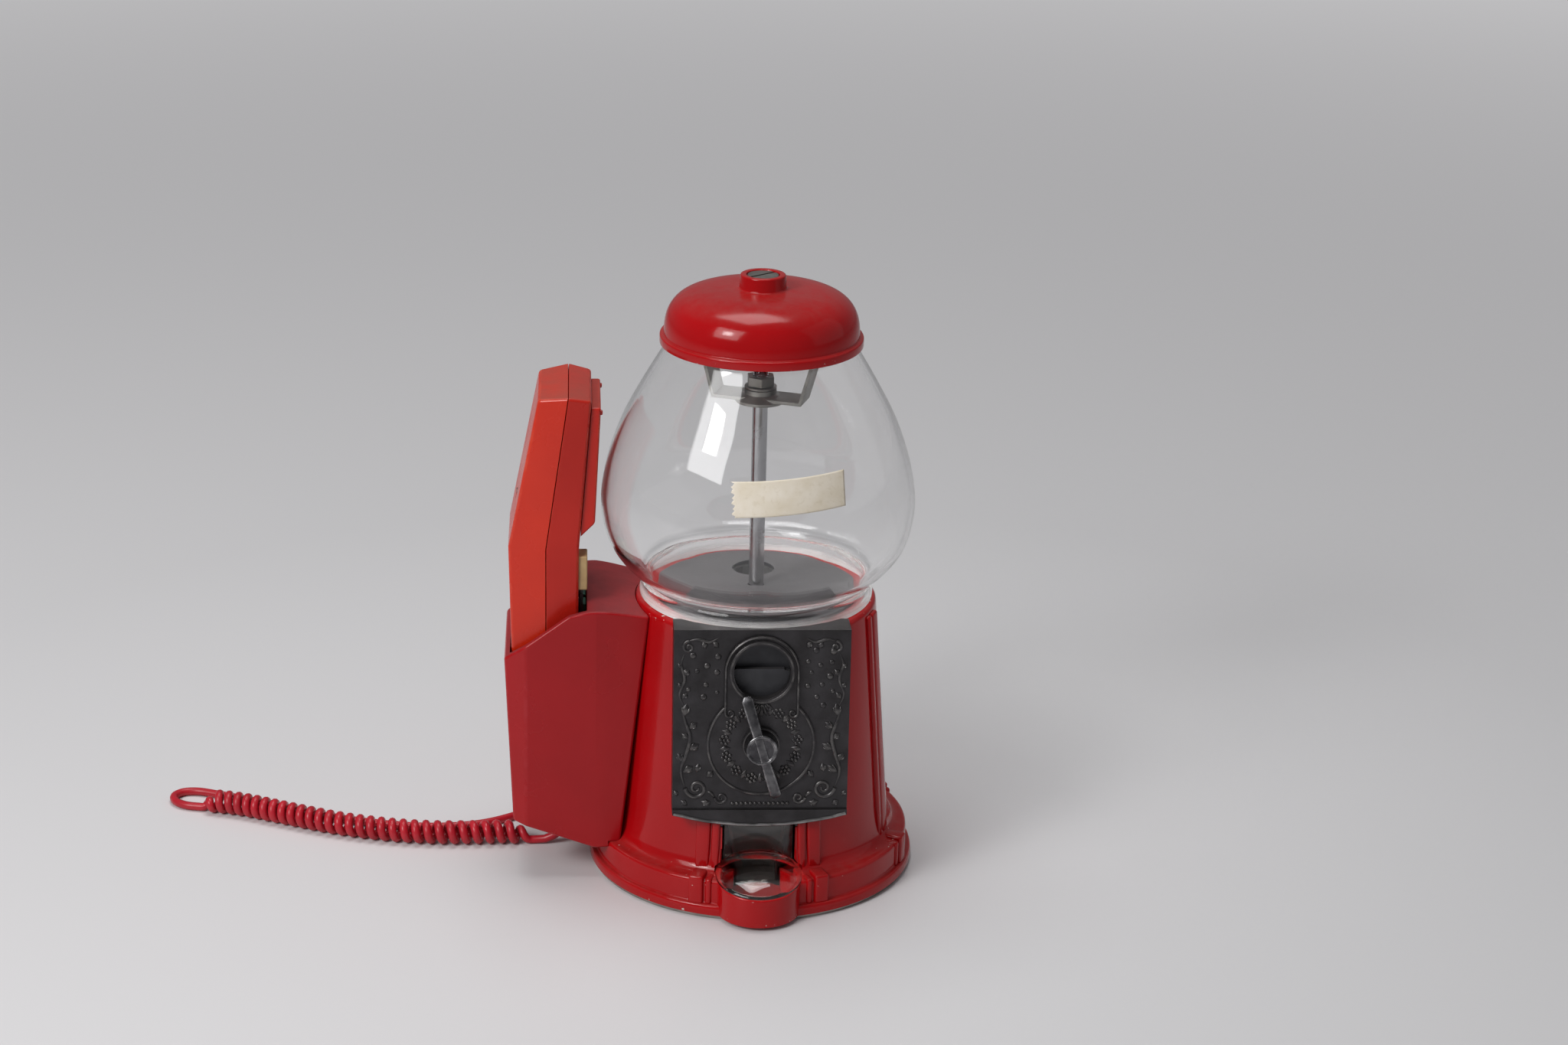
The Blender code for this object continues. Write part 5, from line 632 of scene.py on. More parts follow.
# Stove enamel on zinc: deep gloss with a faint orange peel, dust on the ledges and a few chips
# down to the grey metal at the shoulder and the flange
enamel = finish("red stove enamel on cast zinc", "#AC0A10", "#9C060B", 0.06, 0.0016, 0.00002, 0.15, 0.09,
                Specular_IOR_Level=0.30)
dusted(enamel, 0.07, 0.006, "#8A4A46", 0.5)
tree = enamel.node_tree
for low, high, least in CHIP_BANDS:
    chips = clouded(tree, banded(tree, low, high, 0.0004), 0.0024, 0.0, 1.0, least, least + 0.01)
    overlay(enamel, chips, "#C9C4BC", 0.5)
cup_place = Matrix.Translation((0.0, CUP_Y, 0.0))
lid_place = Matrix.Translation((0.0, CUP_Y, LID_Z)) @ Matrix.Rotation(LID_TILT, 4, "X")
lid_space = turned(LID_SPACE_PROFILE, 96, lid_place)
window, mouth, notch, sill, throat = [as_mesh(box(*room)) for room in (WINDOW, CHUTE_MOUTH, LIP_NOTCH, SILL, THROAT)]
shell = cut(turned(rounded(BASE_PROFILE, 5, True), 144), window, mouth, notch,
            disc(BOWL_RADIUS, CUP_FLOOR_Z, BOWL_TOP_Z, 96, cup_place), sill, throat, lid_space)
piece("base_casting", shell, enamel, "machine", ["base_body"])
cup = turned(rounded(CUP_PROFILE, 5), 96, cup_place)
for vertex in cup.vertices:
    rise = max(0.0, (vertex.co.z - CUP_FLOOR_Z) / (LID_Z - CUP_FLOOR_Z))
    vertex.co.z += rise * math.tan(LID_TILT) * (vertex.co.y - CUP_Y)
piece("catch_cup", cut(cup, sill, throat), enamel, "machine")
rib_place = Matrix.Translation((0.0, -RIB_ROOT, RIB_FOOT_Z)) @ Matrix.Rotation(-RIB_LEAN, 4, "X")
rib_sets = []
for outward in (1.0, -1.0):
    for top_z, turns in ((RIB_TOP_Z, SIDE_RIB_TURNS), (CHUTE_RIB_TOP_Z, (CHUTE_RIB_TURN * outward,))):
        places = [Matrix.Rotation(math.radians(turn), 4, "Z") for turn in turns if turn * outward > 0]
        length = (top_z - RIB_FOOT_Z) / math.cos(RIB_LEAN)
        parts = []
        for left, right in RIB_PARTS:
            left, right = sorted((left * outward, right * outward))
            rib = as_mesh(block((left, -RIB_DEPTH, 0.0), (right, 0.0, length), RIB_ROUND, 4), rib_place)
            # the ribs beside the chute make room for the lid
            if top_z == CHUTE_RIB_TOP_Z:
                lid_room = lid_space.copy()
                lid_room.transform(places[0].inverted())
                rib = cut(rib, lid_room)
            parts.append(rib)
        for left, right, reach, block_top in RIB_BLOCKS:
            left, right = sorted((left * outward, right * outward))
            parts.append(as_mesh(block((left, -reach, RIB_BLOCK_FOOT_Z), (right, -RIB_ROOT, block_top), RIB_ROUND, 4)))
        rib_sets.append(copies(one_mesh(parts), places, enamel))
piece("casting_ribs", one_mesh(rib_sets), enamel, "machine")

# Foot disc: a plain zinc-plated steel disc drawn up under the casting; its rim shows as a bright
# line under the flange.
FOOT_DISC = ((0.0, 0.0, 0.0), (0.0759, 0.0, 0.0003), (0.0759, 0.0015, 0.0003), (0.0, 0.0015, 0.0))
# Bright zinc: scratched where it slides on a counter
bright_zinc = finish("bright zinc plate, scratched", "#A5A29C", "#8C8984", 0.010, 0.0009, 0.00002, 0.40, 0.26,
                     Metallic=0.9)
piece("foot_disc", turned(rounded(FOOT_DISC), 144), bright_zinc, "machine", ["bottom_plate"])

# Works inside: zinc-plated steel discs, nuts, pillar and chute on one tie rod, a grey nylon
# vending wheel with six pockets, and the plate's nuts. Only glimpses of them show.
ROD_RADIUS = 0.0035
ROD_TIP_RADIUS = 0.0030
ROD_PROFILE = ((0.0, 0.0018, 0.0), (ROD_RADIUS, 0.0018, 0.0003), (ROD_RADIUS, 0.2376, 0.0001),
               (0.00325, 0.2378, 0.0001))
THREAD_FOOT_Z = 0.2380
THREAD_TOP_Z = 0.2462
THREAD_PITCH = 0.0008
THREAD_DEPTH = 0.00035
HOPPER_PROFILE = ((0.0039, 0.1350, 0.0003), (0.0474, 0.1350, 0.0004), (0.0474, 0.1335, 0.0), (0.0039, 0.1335, 0.0))
INLET_Y = 0.0240
INLET_ROOM = (0.0100, 0.1300, 0.1400)      # radius and the heights it is cut between


def dress(names, material):
    """Gives CAD nodes a material."""
    for name in names:
        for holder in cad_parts[name].material_slots:
            holder.link = "OBJECT"
            holder.material = material


# Zinc plate: dull grey with a faint spangle; chrome: bright; steel: bare and a little tarnished;
# nylon: grey, matt and dusty
zinc = finish("zinc plated steel, dulled", "#8F8D88", "#76746F", 0.010, 0.0009, 0.00002, 0.52, 0.36, Metallic=0.9)
chrome = finish("chromed steel rod", "#B4B4B6", "#9C9C9E", 0.020, 0.0008, 0.000006, 0.30, 0.16, Metallic=1.0)
steel = finish("bare steel, tarnished", "#8A8782", "#6E6A64", 0.008, 0.0006, 0.00001, 0.45, 0.30, Metallic=1.0)
nylon = finish("moulded grey nylon, dusty", "#454544", "#3A3A39", 0.012, 0.0007, 0.00001, 0.58, 0.46)
# Blackened die-cast disc: dark, with a grey film of dust all over
sooted = finish("blackened zinc disc, dusty", "#37373A", "#434346", 0.008, 0.0010, 0.00003, 0.50, 0.36, Metallic=0.55)
dusted(sooted, 0.45, 0.005, "#7A7676", 0.7)
# Chute sheet: near black, partly its own dark finish and partly painted shade for the dim inside of the chute, stained
# brown by sugar, with a pale band where the sheet is bent that is a painted highlight
near_black_with_painted_shade = finish("japanned steel sheet, stained", "#120B0A", "#1D1210", 0.010, 0.0008, 0.00002, 0.44, 0.28)
# painted highlight: a pale band across the bend of the sheet, broken up in clouds
bend_painted_highlight = banded(near_black_with_painted_shade.node_tree, 0.0350, 0.0368, 0.0005)
overlay(near_black_with_painted_shade, clouded(near_black_with_painted_shade.node_tree, bend_painted_highlight, 0.004, 0.0, 0.9, 0.42, 0.60), "#A29892", 0.35)
dress(["bottom_nut", "centre_pillar", "wheel_floor", "shaft_nut", "plate_nut_upper_left",
       "plate_nut_upper_right", "plate_nut_lower_left", "plate_nut_lower_right"], zinc)
dress(["drive_finger", "ratchet_pawl", "flap_pin", "holster_screw_upper", "holster_screw_lower"], steel)
dress(["vending_wheel"], nylon)
dress(["coin_backing", "coin_carrier"], sooted)
dress(["chute_ramp"], near_black_with_painted_shade)
thread = []
for step in range(int((THREAD_TOP_Z - THREAD_FOOT_Z) / THREAD_PITCH)):
    foot = THREAD_FOOT_Z + step * THREAD_PITCH
    thread += [(ROD_RADIUS - THREAD_DEPTH, foot, 0.0), (ROD_RADIUS, foot + THREAD_PITCH * 0.5, 0.0)]
rod = turned(rounded([*ROD_PROFILE, *thread, (ROD_TIP_RADIUS, THREAD_TOP_Z, 0.0), (0.0, THREAD_TOP_Z, 0.0)]), 48)
piece("tie_rod_threaded", rod, chrome, "machine", ["tie_rod"])
hopper = cut(turned(rounded(HOPPER_PROFILE, 3, True), 128),
             disc(*INLET_ROOM, 64, Matrix.Translation((0.0, INLET_Y, 0.0))))
piece("hopper_disc", hopper, sooted, "machine", ["hopper_plate"])
soft_piece("inlet_cover", "hopper_cover", 0.0003, sooted)

# Globe: blown soda glass, pear shaped, with a drawn-in waist and a ground foot that stands on
# the casting's rim. It is clear, a little hazy at the foot, and has a soft lip.
GLOBE_FOOT_Z = 0.1335
GLOBE_WAIST_Z = 0.1433
GLOBE_MOUTH_Z = 0.2573
GLOBE_BELLY = 0.0727
GLOBE_WALL = 0.0024
GLOBE_MOUTH = 0.0414
GLOBE_SHARES = ((0.612, 0.945), (0.739, 0.807), (0.866, 0.652), (0.955, 0.490), (0.996, 0.350),
                (0.990, 0.250), (0.952, 0.155), (0.885, 0.085), (0.800, 0.028))
GLOBE_WAIST = ((0.0530, GLOBE_WAIST_Z - 0.0006), (0.0536, 0.1395))
GLOBE_FOOT = ((0.0543, 0.1365, 0.002), (0.0543, GLOBE_FOOT_Z, 0.0006), (0.0514, GLOBE_FOOT_Z, 0.0006),
              (0.0512, 0.1372, 0.001), (0.0505, 0.1405, 0.001))
GLOBE_WALL_FOOT_Z = 0.1440      # above it the wall is even
FROST_BAND = (GLOBE_FOOT_Z - 0.001, 0.1368, 0.0014)
bulb = [(GLOBE_MOUTH, GLOBE_MOUTH_Z)]
bulb += [(GLOBE_BELLY * across, GLOBE_WAIST_Z + (GLOBE_MOUTH_Z - GLOBE_WAIST_Z) * up) for across, up in GLOBE_SHARES]
bulb = [tuple(point) for point in smooth([*bulb, *GLOBE_WAIST], 8)]
foot_ring = rounded([(*bulb[-1], 0.0), *GLOBE_FOOT], 4)
inside = []
for before, here, after in zip(bulb, bulb[1:], bulb[2:]):
    if here[1] < GLOBE_WALL_FOOT_Z:
        continue
    run = (Vector(after) - Vector(before)).normalized()
    inside.append(tuple(Vector(here) + Vector((run.y, -run.x)) * GLOBE_WALL))
globe_outline = bulb + foot_ring[1:] + inside[::-1] + [(GLOBE_MOUTH - GLOBE_WALL, GLOBE_MOUTH_Z)]


def lets_lamps_through(made):
    """Lets light from the lamps pass a clear material, as it does the real one."""
    tree = made.node_tree
    shader = tree.nodes["Principled BSDF"]
    rays = add_node(tree, "ShaderNodeLightPath")
    open_way = add_node(tree, "ShaderNodeBsdfTransparent")
    both = add_node(tree, "ShaderNodeMixShader", {0: rays.outputs["Is Shadow Ray"], 1: shader.outputs[0],
                                                  2: open_way.outputs[0]})
    tree.links.new(both.outputs[0], tree.nodes["Material Output"].inputs["Surface"])


# Soda glass: clear and smooth; the ground foot scatters light and looks white
glass, tree, shader = bare_finish("blown soda glass", Roughness=0.02, IOR=1.50)
frost = clouded(tree, banded(tree, *FROST_BAND), 0.015, 0.30, 0.45)
tree.links.new(ranged(tree, frost, 0.0, 1.0, 1.0, 0.0), shader.inputs["Transmission Weight"])
tree.links.new(blended(tree, frost, "#FCFCFC", "#E4E3DF"), shader.inputs["Base Color"])
lets_lamps_through(glass)
piece("glass_globe", turned(globe_outline, 160), glass, "machine", ["globe"], 60.0)

# Sticker on the globe: a strip of blank paper, yellowed, pasted on a little askew; its left
# edge is torn. It lies on the glass and bends with it.
STICKER_SIZE = (0.0500, 0.0153)
STICKER_CENTRE = (0.0096, 0.2030)
STICKER_TURN = math.radians(3.4)
STICKER_OFF = 0.00012       # paper's middle, from the glass
STICKER_THICKNESS = 0.00014
STICKER_CELLS = (60, 20)
TORN_CELLS = 3
TORN_DEPTH = 0.0007


def globe_radius(height):
    """Outer radius of the bulb at a height."""
    for (first, high), (second, low) in zip(bulb, bulb[1:]):
        if low <= height <= high:
            return first + (second - first) * (high - height) / (high - low)
    return GLOBE_BELLY


across_cells, up_cells = STICKER_CELLS
points, faces = [], []
for row in range(up_cells + 1):
    for column in range(across_cells + 1):
        across = (column / across_cells - 0.5) * STICKER_SIZE[0]
        up = (row / up_cells - 0.5) * STICKER_SIZE[1]
        if column < TORN_CELLS:
            ragged = math.sin(row * 2.1) + 0.6 * math.sin(row * 5.3 + 1.0)
            across += (TORN_CELLS - column) / TORN_CELLS * TORN_DEPTH * ragged
        x = STICKER_CENTRE[0] + across * math.cos(STICKER_TURN) - up * math.sin(STICKER_TURN)
        z = STICKER_CENTRE[1] + across * math.sin(STICKER_TURN) + up * math.cos(STICKER_TURN)
        radius = globe_radius(z) + STICKER_OFF
        points.append((x, -math.sqrt(radius ** 2 - x ** 2), z))
        if row and column:
            corner = len(points) - 1
            faces.append((corner - across_cells - 2, corner - across_cells - 1, corner, corner - 1))
paper_mesh = bpy.data.meshes.new("sticker")
paper_mesh.from_pydata(points, [], faces)
# Gummed paper: matt, cream, browner in clouds
paper = finish("yellowed gummed paper", "#EBE2D3", "#DED2BC", 0.009, 0.0005, 0.00001, 0.85, 0.75)
everywhere = banded(paper.node_tree, 0.0, 1.0, 0.001)
overlay(paper, clouded(paper.node_tree, everywhere, 0.0024, 0.0, 0.35, 0.55, 0.75), "#BFAE8A")
sticker = piece("blank_sticker", paper_mesh, paper, "machine")
solid = sticker.modifiers.new("paper", "SOLIDIFY")
solid.thickness = STICKER_THICKNESS
solid.offset = 0.0

# Hold-down: a zinc-plated strap with splayed legs that bear on the globe's lip, a bell pressed
# in its middle, and a washer and hexagon nut that draw it down on the tie rod.
soft_piece("hold_down", "hold_down_strap", 0.0003, zinc)
soft_piece("plain_washer", "rod_washer", 0.0002, steel)
soft_piece("hexagon_nut", "rod_nut", 0.0004, steel, steps=3)

# Cap: spun-looking cast dome with a rim band and a small boss, enamelled like the base; a plated
# slotted screw in the boss locks it to the rod.
CAP_RIM_Z = 0.2538
CAP_BAND_Z = CAP_RIM_Z + 0.0044          # top of the rim band, where the dome starts
CAP_RIM_RADIUS = 0.0464
CAP_DOME_RADIUS = 0.0446
CAP_DOME_FOOT_Z = 0.2560
CAP_DOME_HEIGHT = 0.0234
CAP_POWERS = (4.6, 2.9)
CAP_TOP_Z = 0.2860
CAP_BOSS_RADIUS = 0.0103
CAP_RECESS_RADIUS = 0.0075
CAP_RECESS_Z = CAP_TOP_Z - 0.0032
CAP_HOLE_RADIUS = 0.0034
CAP_BOSS = ((CAP_HOLE_RADIUS, CAP_RECESS_Z, 0.0), (CAP_RECESS_RADIUS, CAP_RECESS_Z, 0.0003),
            (CAP_RECESS_RADIUS, CAP_TOP_Z, 0.0006), (CAP_BOSS_RADIUS, CAP_TOP_Z, 0.0008),
            (CAP_BOSS_RADIUS + 0.0005, CAP_DOME_FOOT_Z + CAP_DOME_HEIGHT + 0.0001, 0.0008))
CAP_BAND = ((CAP_DOME_RADIUS, CAP_BAND_Z, 0.0006), (CAP_RIM_RADIUS, CAP_RIM_Z + 0.0042, 0.0009),
            (CAP_RIM_RADIUS, CAP_RIM_Z, 0.0006))
CAP_INSIDE = ((0.0446, CAP_RIM_Z, 0.0003), (0.0424, CAP_BAND_Z, 0.0), (0.0413, 0.2680, 0.0),
              (0.0380, 0.2724, 0.0), (0.0314, 0.2768, 0.0), (CAP_HOLE_RADIUS, 0.2768, 0.0))
CAP_ENDS = (CAP_BOSS_RADIUS + 0.0010, CAP_RIM_Z + 0.0046)      # dome's least radius and height
CAP_STEPS = 28
SCREW_PROFILE = ((0.0, 0.2463, 0.0), (0.0030, 0.2463, 0.0003), (0.0030, 0.2831, 0.0), (0.0072, 0.2831, 0.0003),
                 (0.0072, 0.2857, 0.0005), (0.0, 0.2857, 0.0))
SCREW_SLOT = ((-0.010, -0.00075, 0.2845), (0.010, 0.00075, 0.2900))
SCREW_SLOT_TURN = math.radians(38.0)
dome = []
for step in range(1, CAP_STEPS):
    turn = math.pi / 2 * step / CAP_STEPS
    radius = CAP_DOME_RADIUS * math.sin(turn) ** (2 / CAP_POWERS[0])
    height = CAP_DOME_FOOT_Z + CAP_DOME_HEIGHT * math.cos(turn) ** (2 / CAP_POWERS[1])
    if radius > CAP_ENDS[0] and height > CAP_ENDS[1]:
        dome.append((radius, height, 0.0))
outline = [*CAP_BOSS, *dome, *CAP_BAND, *CAP_INSIDE]
piece("cap_dome", turned(rounded(outline, 4, True), 144), enamel, "cap", ["cap"])
screw = cut(turned(rounded(SCREW_PROFILE, 3), 64),
            as_mesh(block(*SCREW_SLOT, 0.0001), Matrix.Rotation(SCREW_SLOT_TURN, 4, "Z")))
piece("lock_screw", screw, zinc, "cap_lock_screw", ["cap_lock_screw"])

# Front plate: a pan casting in zinc, blackened and rubbed back, held by four studs. Its relief is
# cast with it: a ridge round the coin opening, a ringed medal, scrolls, leaves and small bosses.
PLATE_PLACE = Matrix.Translation((0.0, -0.0602336, 0.0817980)) @ Matrix.Rotation(math.radians(-3.5), 4, "X")
RELIEF_PLACE = PLATE_PLACE @ Matrix.Rotation(math.radians(90.0), 4, "X")    # across, up the plate, outward
FACE_PROUD = 0.0
MEDAL_PROUD = 0.0009
KEYHOLE_PROUD = 0.0011
COLLAR_PROUD = 0.0022
SEAT_PROUD = 0.0030
PLATE_HALF_WIDTH = 0.0400
PLATE_FOOT = 0.0342      # below the shaft
LIP_SAG = 0.0056
LIP_PROUD = 0.0014
LIP_BEAD = 0.00085
COIN_Y = 0.0347          # coin opening's middle, above the shaft
# rings: middle above the shaft, radius, start, sweep, half width, steps, height and base
RINGS = ((0.0, 0.0241, 134.0, 272.0, 0.00070, 96, 0.00070, MEDAL_PROUD),
         (COIN_Y, 0.0141, 0.0, 360.0, 0.00070, 72, 0.00050, COLLAR_PROUD),
         (0.0, 0.0079, 0.0, 360.0, 0.00045, 48, 0.00025, SEAT_PROUD))
ROSETTE = (6, 0.00185, 0.00100, 0.00095)             # petals, their reach and radius, height
ROSETTE_RING = 0.0168
ROSETTE_COUNT = 13
MEDAL_LEAF = (0.0052, 0.0012, 0.00085)               # length, half width and height
MEDAL_LEAF_RING = ROSETTE_RING - 0.0030
LEAF = (0.0058, 0.0017, 0.00100)
PEARL = (0.00095, 0.00085)                           # radius and height
PEARL_COUNT = 13
PEARL_SPACING = 0.0021
PEARL_Y = -0.0290
# ribs of the fan under the collar: pairs beside the middle one, degrees between two, the point
# they spread from, start, length, loss of length per step outwards and half width
FAN_PAIRS = 3
FAN_SPREAD = 17.0
FAN_MIDDLE = Vector((0.0, COIN_Y - 0.0135))
FAN_START = 0.0022
FAN_LENGTH = 0.0082
FAN_LOSS = 0.0004
FAN_HALF_WIDTH = 0.00080
KEYHOLE_HEIGHT = 0.00095
KEYHOLE_HALF_WIDTH = 0.00072
KEYHOLE_RADIUS = 0.0164
KEYHOLE_SIDE = (0.0185, 0.0230, 0.0280, 0.0320)      # heights along its straight sides
KEYHOLE_CURL = (0.0142, 0.0150, 0.0022, 0.0007)      # middle, outer and inner radius
BEAD_STEPS = 80
BEAD_HEIGHT = 0.00075
BEAD_HALF_LENGTH = PLATE_HALF_WIDTH - 0.0006
BEAD_WAVES = ((0.00009, 330.0, 0.4), (0.00006, 870.0, 0.7))      # depth, rate and shift
# relief of the right half, which the left half mirrors: spirals with their middle, outer and inner
# radius, start below the plate's side, sweep, half width and height
SCROLLS = ((0.0290, -0.0215, 0.0052, 0.0008, 90.0, -560.0, 0.00105, 0.00110),
           (0.0176, -0.0262, 0.0031, 0.0006, 90.0, -500.0, 0.00080, 0.00090),
           (0.0332, 0.0462, 0.0030, 0.0006, 0.0, -480.0, 0.00078, 0.00090))
# stems: half width, height and points
STEMS = ((0.00105, 0.00110, (0.0342, -0.0215), (0.0362, -0.0130), (0.0340, -0.0050), (0.0322, 0.0030),
          (0.0345, 0.0110), (0.0362, 0.0175)),
         (0.00080, 0.00085, (0.0352, 0.0180), (0.0372, 0.0240), (0.0350, 0.0310), (0.0366, 0.0380),
          (0.0352, 0.0430)),
         (0.00080, 0.00090, (0.0207, -0.0262), (0.0222, -0.0240), (0.0240, -0.0232)),
         (0.00078, 0.00085, (0.0332, 0.0492), (0.0290, 0.0500), (0.0240, 0.0486), (0.0200, 0.0505)))
# leaves: place, turn and size
LEAVES = ((0.0354, -0.0140, 145.0, 1.0), (0.0352, -0.0090, 60.0, 0.9), (0.0330, -0.0030, 150.0, 1.0),
          (0.0325, 0.0020, 40.0, 0.8), (0.0330, 0.0070, 140.0, 0.9), (0.0350, 0.0130, 100.0, 1.1),
          (0.0290, -0.0140, 100.0, 0.8), (0.0245, -0.0165, 130.0, 0.8), (0.0225, -0.0295, 20.0, 0.8),
          (0.0330, -0.0300, 40.0, 0.7), (0.0270, 0.0492, 250.0, 0.7), (0.0225, 0.0490, 230.0, 0.7),
          (0.0362, 0.0215, 130.0, 0.7), (0.0362, 0.0265, 60.0, 0.6), (0.0354, 0.0325, 130.0, 0.7),
          (0.0360, 0.0360, 50.0, 0.6), (0.0262, -0.0295, 160.0, 0.7), (0.0375, -0.0255, 60.0, 0.6))
FIELD_BOSS = (0.00145, 0.00075)
BOSS_SPACING = 0.0050
BOSS_FIELDS = (((-0.0365, 0.0225), (-0.0195, 0.0225), (-0.0195, 0.0440), (-0.0365, 0.0440)),
               ((0.0205, 0.0180), (0.0325, 0.0180), (0.0325, 0.0455), (0.0205, 0.0455)))
BOSS_SEEDS = (4, 11)


def arc(across, up, radius, start, sweep, half_width, steps=40):
    """Part of a ring, as a path of (across, up, half width)."""
    turns = [math.radians(start + sweep * step / steps) for step in range(steps + 1)]
    return [(across + radius * math.cos(turn), up + radius * math.sin(turn), half_width) for turn in turns]


def volute(across, up, outer, inner, start, sweep, half_width, steps=44):
    """Spiral that narrows as it winds in, as a path of (across, up, half width)."""
    path = []
    for step in range(steps + 1):
        share = step / steps
        turn = math.radians(start + sweep * share)
        radius = outer + (inner - outer) * share ** 0.8
        path.append((across + radius * math.cos(turn), up + radius * math.sin(turn), half_width * (1 - 0.45 * share)))
    return path


def tapered(points, half_width, per_span=6, blunt=0.25):
    """Smooth path through (across, up) points, thin at its ends."""
    line = smooth([(*point, 0.0) for point in points], per_span)
    count = len(line) - 1
    return [(point.x, point.y, half_width * (blunt + (1 - blunt) * math.sin(math.pi * index / count)))
            for index, point in enumerate(line)]


def skinned(build, rows):
    """Faces from each row of vertices to the next and over both ends, turned outwards."""
    for first, second in zip(rows, rows[1:]):
        for index in range(len(first)):
            after = (index + 1) % len(first)
            build.faces.new((first[index], first[after], second[after], second[index]))
    build.faces.new(rows[0])
    build.faces.new(rows[-1])
    bmesh.ops.recalc_face_normals(build, faces=build.faces)
    return build


def ridge(path, height, base, lanes=6):
    """Half-round ridge along a path, its crest marked as an edge that wears; low where it is thin."""
    build = bmesh.new()
    mark = build.verts.layers.float.new("edge")
    widest = max(point[2] for point in path)
    rows = []
    for index, (across, up, half_width) in enumerate(path):
        before, after = path[max(index - 1, 0)], path[min(index + 1, len(path) - 1)]
        run = Vector((after[0] - before[0], after[1] - before[1])).normalized()
        row = []
        for lane in range(lanes + 1):
            turn = math.pi * lane / lanes
            side = half_width * math.cos(turn)
            rise = height * half_width / widest * math.sin(turn) if 0 < lane < lanes else -0.0003
            row.append(build.verts.new((across - run.y * side, up + run.x * side, base + rise)))
            row[-1][mark] = math.sin(turn) ** 3 * half_width / widest
        rows.append(row)
    return kept(skinned(build, rows))


def boss(radius, height, across=0.0, up=0.0, sides=14):
    """Low round boss, domed, its top marked as an edge that wears."""
    shares = (1.0, 0.88, 0.62, 0.30, 0.0)
    outline = [(radius * share, height * math.sqrt(1 - share ** 2)) for share in shares]
    made = turned([(0.0, -0.0004), (radius, -0.0004), *outline], sides, Matrix.Translation((across, up, 0.0)))
    values = [max(0.0, vertex.co.z / height) ** 2 for vertex in made.vertices]
    made.attributes.new("edge", "FLOAT", "POINT").data.foreach_set("value", values)
    return made


def flower(petals, reach, petal, height):
    """Small rosette of round petals about a boss."""
    parts = [boss(petal * 0.9, height)]
    for number in range(petals):
        turn = math.tau * number / petals
        parts.append(boss(petal, height * 0.75, reach * math.cos(turn), reach * math.sin(turn), 10))
    return one_mesh(parts)


def leaf(length, half_width, height):
    """Pointed leaf along +X with a vein on each side of its middle."""
    parts = [ridge(tapered([(0.0, 0.0), (length * 0.5, 0.0), (length, 0.0)], half_width, 6, 0.05), height, 0.0)]
    for side in (-1.0, 1.0):
        parts.append(ridge(tapered([(length * 0.15, side * half_width * 0.2), (length * 0.5, side * half_width * 0.75),
                                    (length * 0.75, side * half_width * 0.9)], half_width * 0.35), height * 0.9, 0.0))
    return one_mesh(parts)


def strewn(tree, given):
    """Points strewn over a field, no closer than the spacing, and a size for each."""
    points = add_node(tree, "GeometryNodeDistributePointsOnFaces",
                      {"Mesh": given["Field"], "Distance Min": given["Spacing"], "Density Max": 400000.0,
                       "Seed": given["Seed"]}, distribute_method="POISSON")
    sizes = add_node(tree, "FunctionNodeRandomValue", {2: 0.7, 3: 1.15, "Seed": given["Seed"]})
    return {"Points": points.outputs["Points"], "Scale": sizes.outputs[1]}


def scattered(field, shape, spacing, seed, material):
    """Copies of a shape strewn over a flat field, by a node tree."""
    tree = placing_tree("bosses strewn on a field", {"Field": "Geometry", "Spacing": "Float", "Seed": "Int"}, strewn)
    plain = bpy.data.meshes.new("field")
    plain.from_pydata([(*corner, 0.0) for corner in field], [], [(0, 1, 2, 3)])
    return run_tree(tree, plain, {"Shape": shape, "Spacing": spacing, "Seed": seed, "Finish": material})


def in_ring(count, radius, base, start=90.0):
    """Places round a ring, each turned to point outwards."""
    turns = [math.radians(start) + math.tau * number / count for number in range(count)]
    return [Matrix.Translation((radius * math.cos(turn), radius * math.sin(turn), base))
            @ Matrix.Rotation(turn, 4, "Z") for turn in turns]


# Blackened zinc: dark grey; ridges, rims and the lip are rubbed bright
pewter = finish("blackened zinc casting, rubbed", "#454345", "#343233", 0.010, 0.0009, 0.00005, 0.46, 0.30,
                Metallic=0.80)
dusted(pewter, 0.12, 0.008, "#6A6562", 0.7)
worn(pewter, 0.005, (0.05, 0.75, 0.40, 0.68), "#7E7B79", 0.28)
worn(pewter, 0.006, (0.25, 0.95, 0.35, 0.60), "#A9A7A6", 0.26, banded(pewter.node_tree, 0.0400, 0.0490, 0.0006))
relief = [ridge(arc(0.0, *ring), height, base) for *ring, height, base in RINGS]
# ridge round the keyhole, with a curl at each foot
curl_across, *curl = KEYHOLE_CURL
keyhole = volute(-curl_across, *curl, 180.0, 400.0, KEYHOLE_HALF_WIDTH)[::-1]
keyhole += [(-KEYHOLE_RADIUS, up, KEYHOLE_HALF_WIDTH) for up in KEYHOLE_SIDE]
keyhole += arc(0.0, COIN_Y, KEYHOLE_RADIUS, 178.0, -176.0, KEYHOLE_HALF_WIDTH, 44)
keyhole += [(KEYHOLE_RADIUS, up, KEYHOLE_HALF_WIDTH) for up in KEYHOLE_SIDE[::-1]]
keyhole += volute(curl_across, *curl, 0.0, -400.0, KEYHOLE_HALF_WIDTH)
relief.append(ridge(keyhole, KEYHOLE_HEIGHT, KEYHOLE_PROUD))
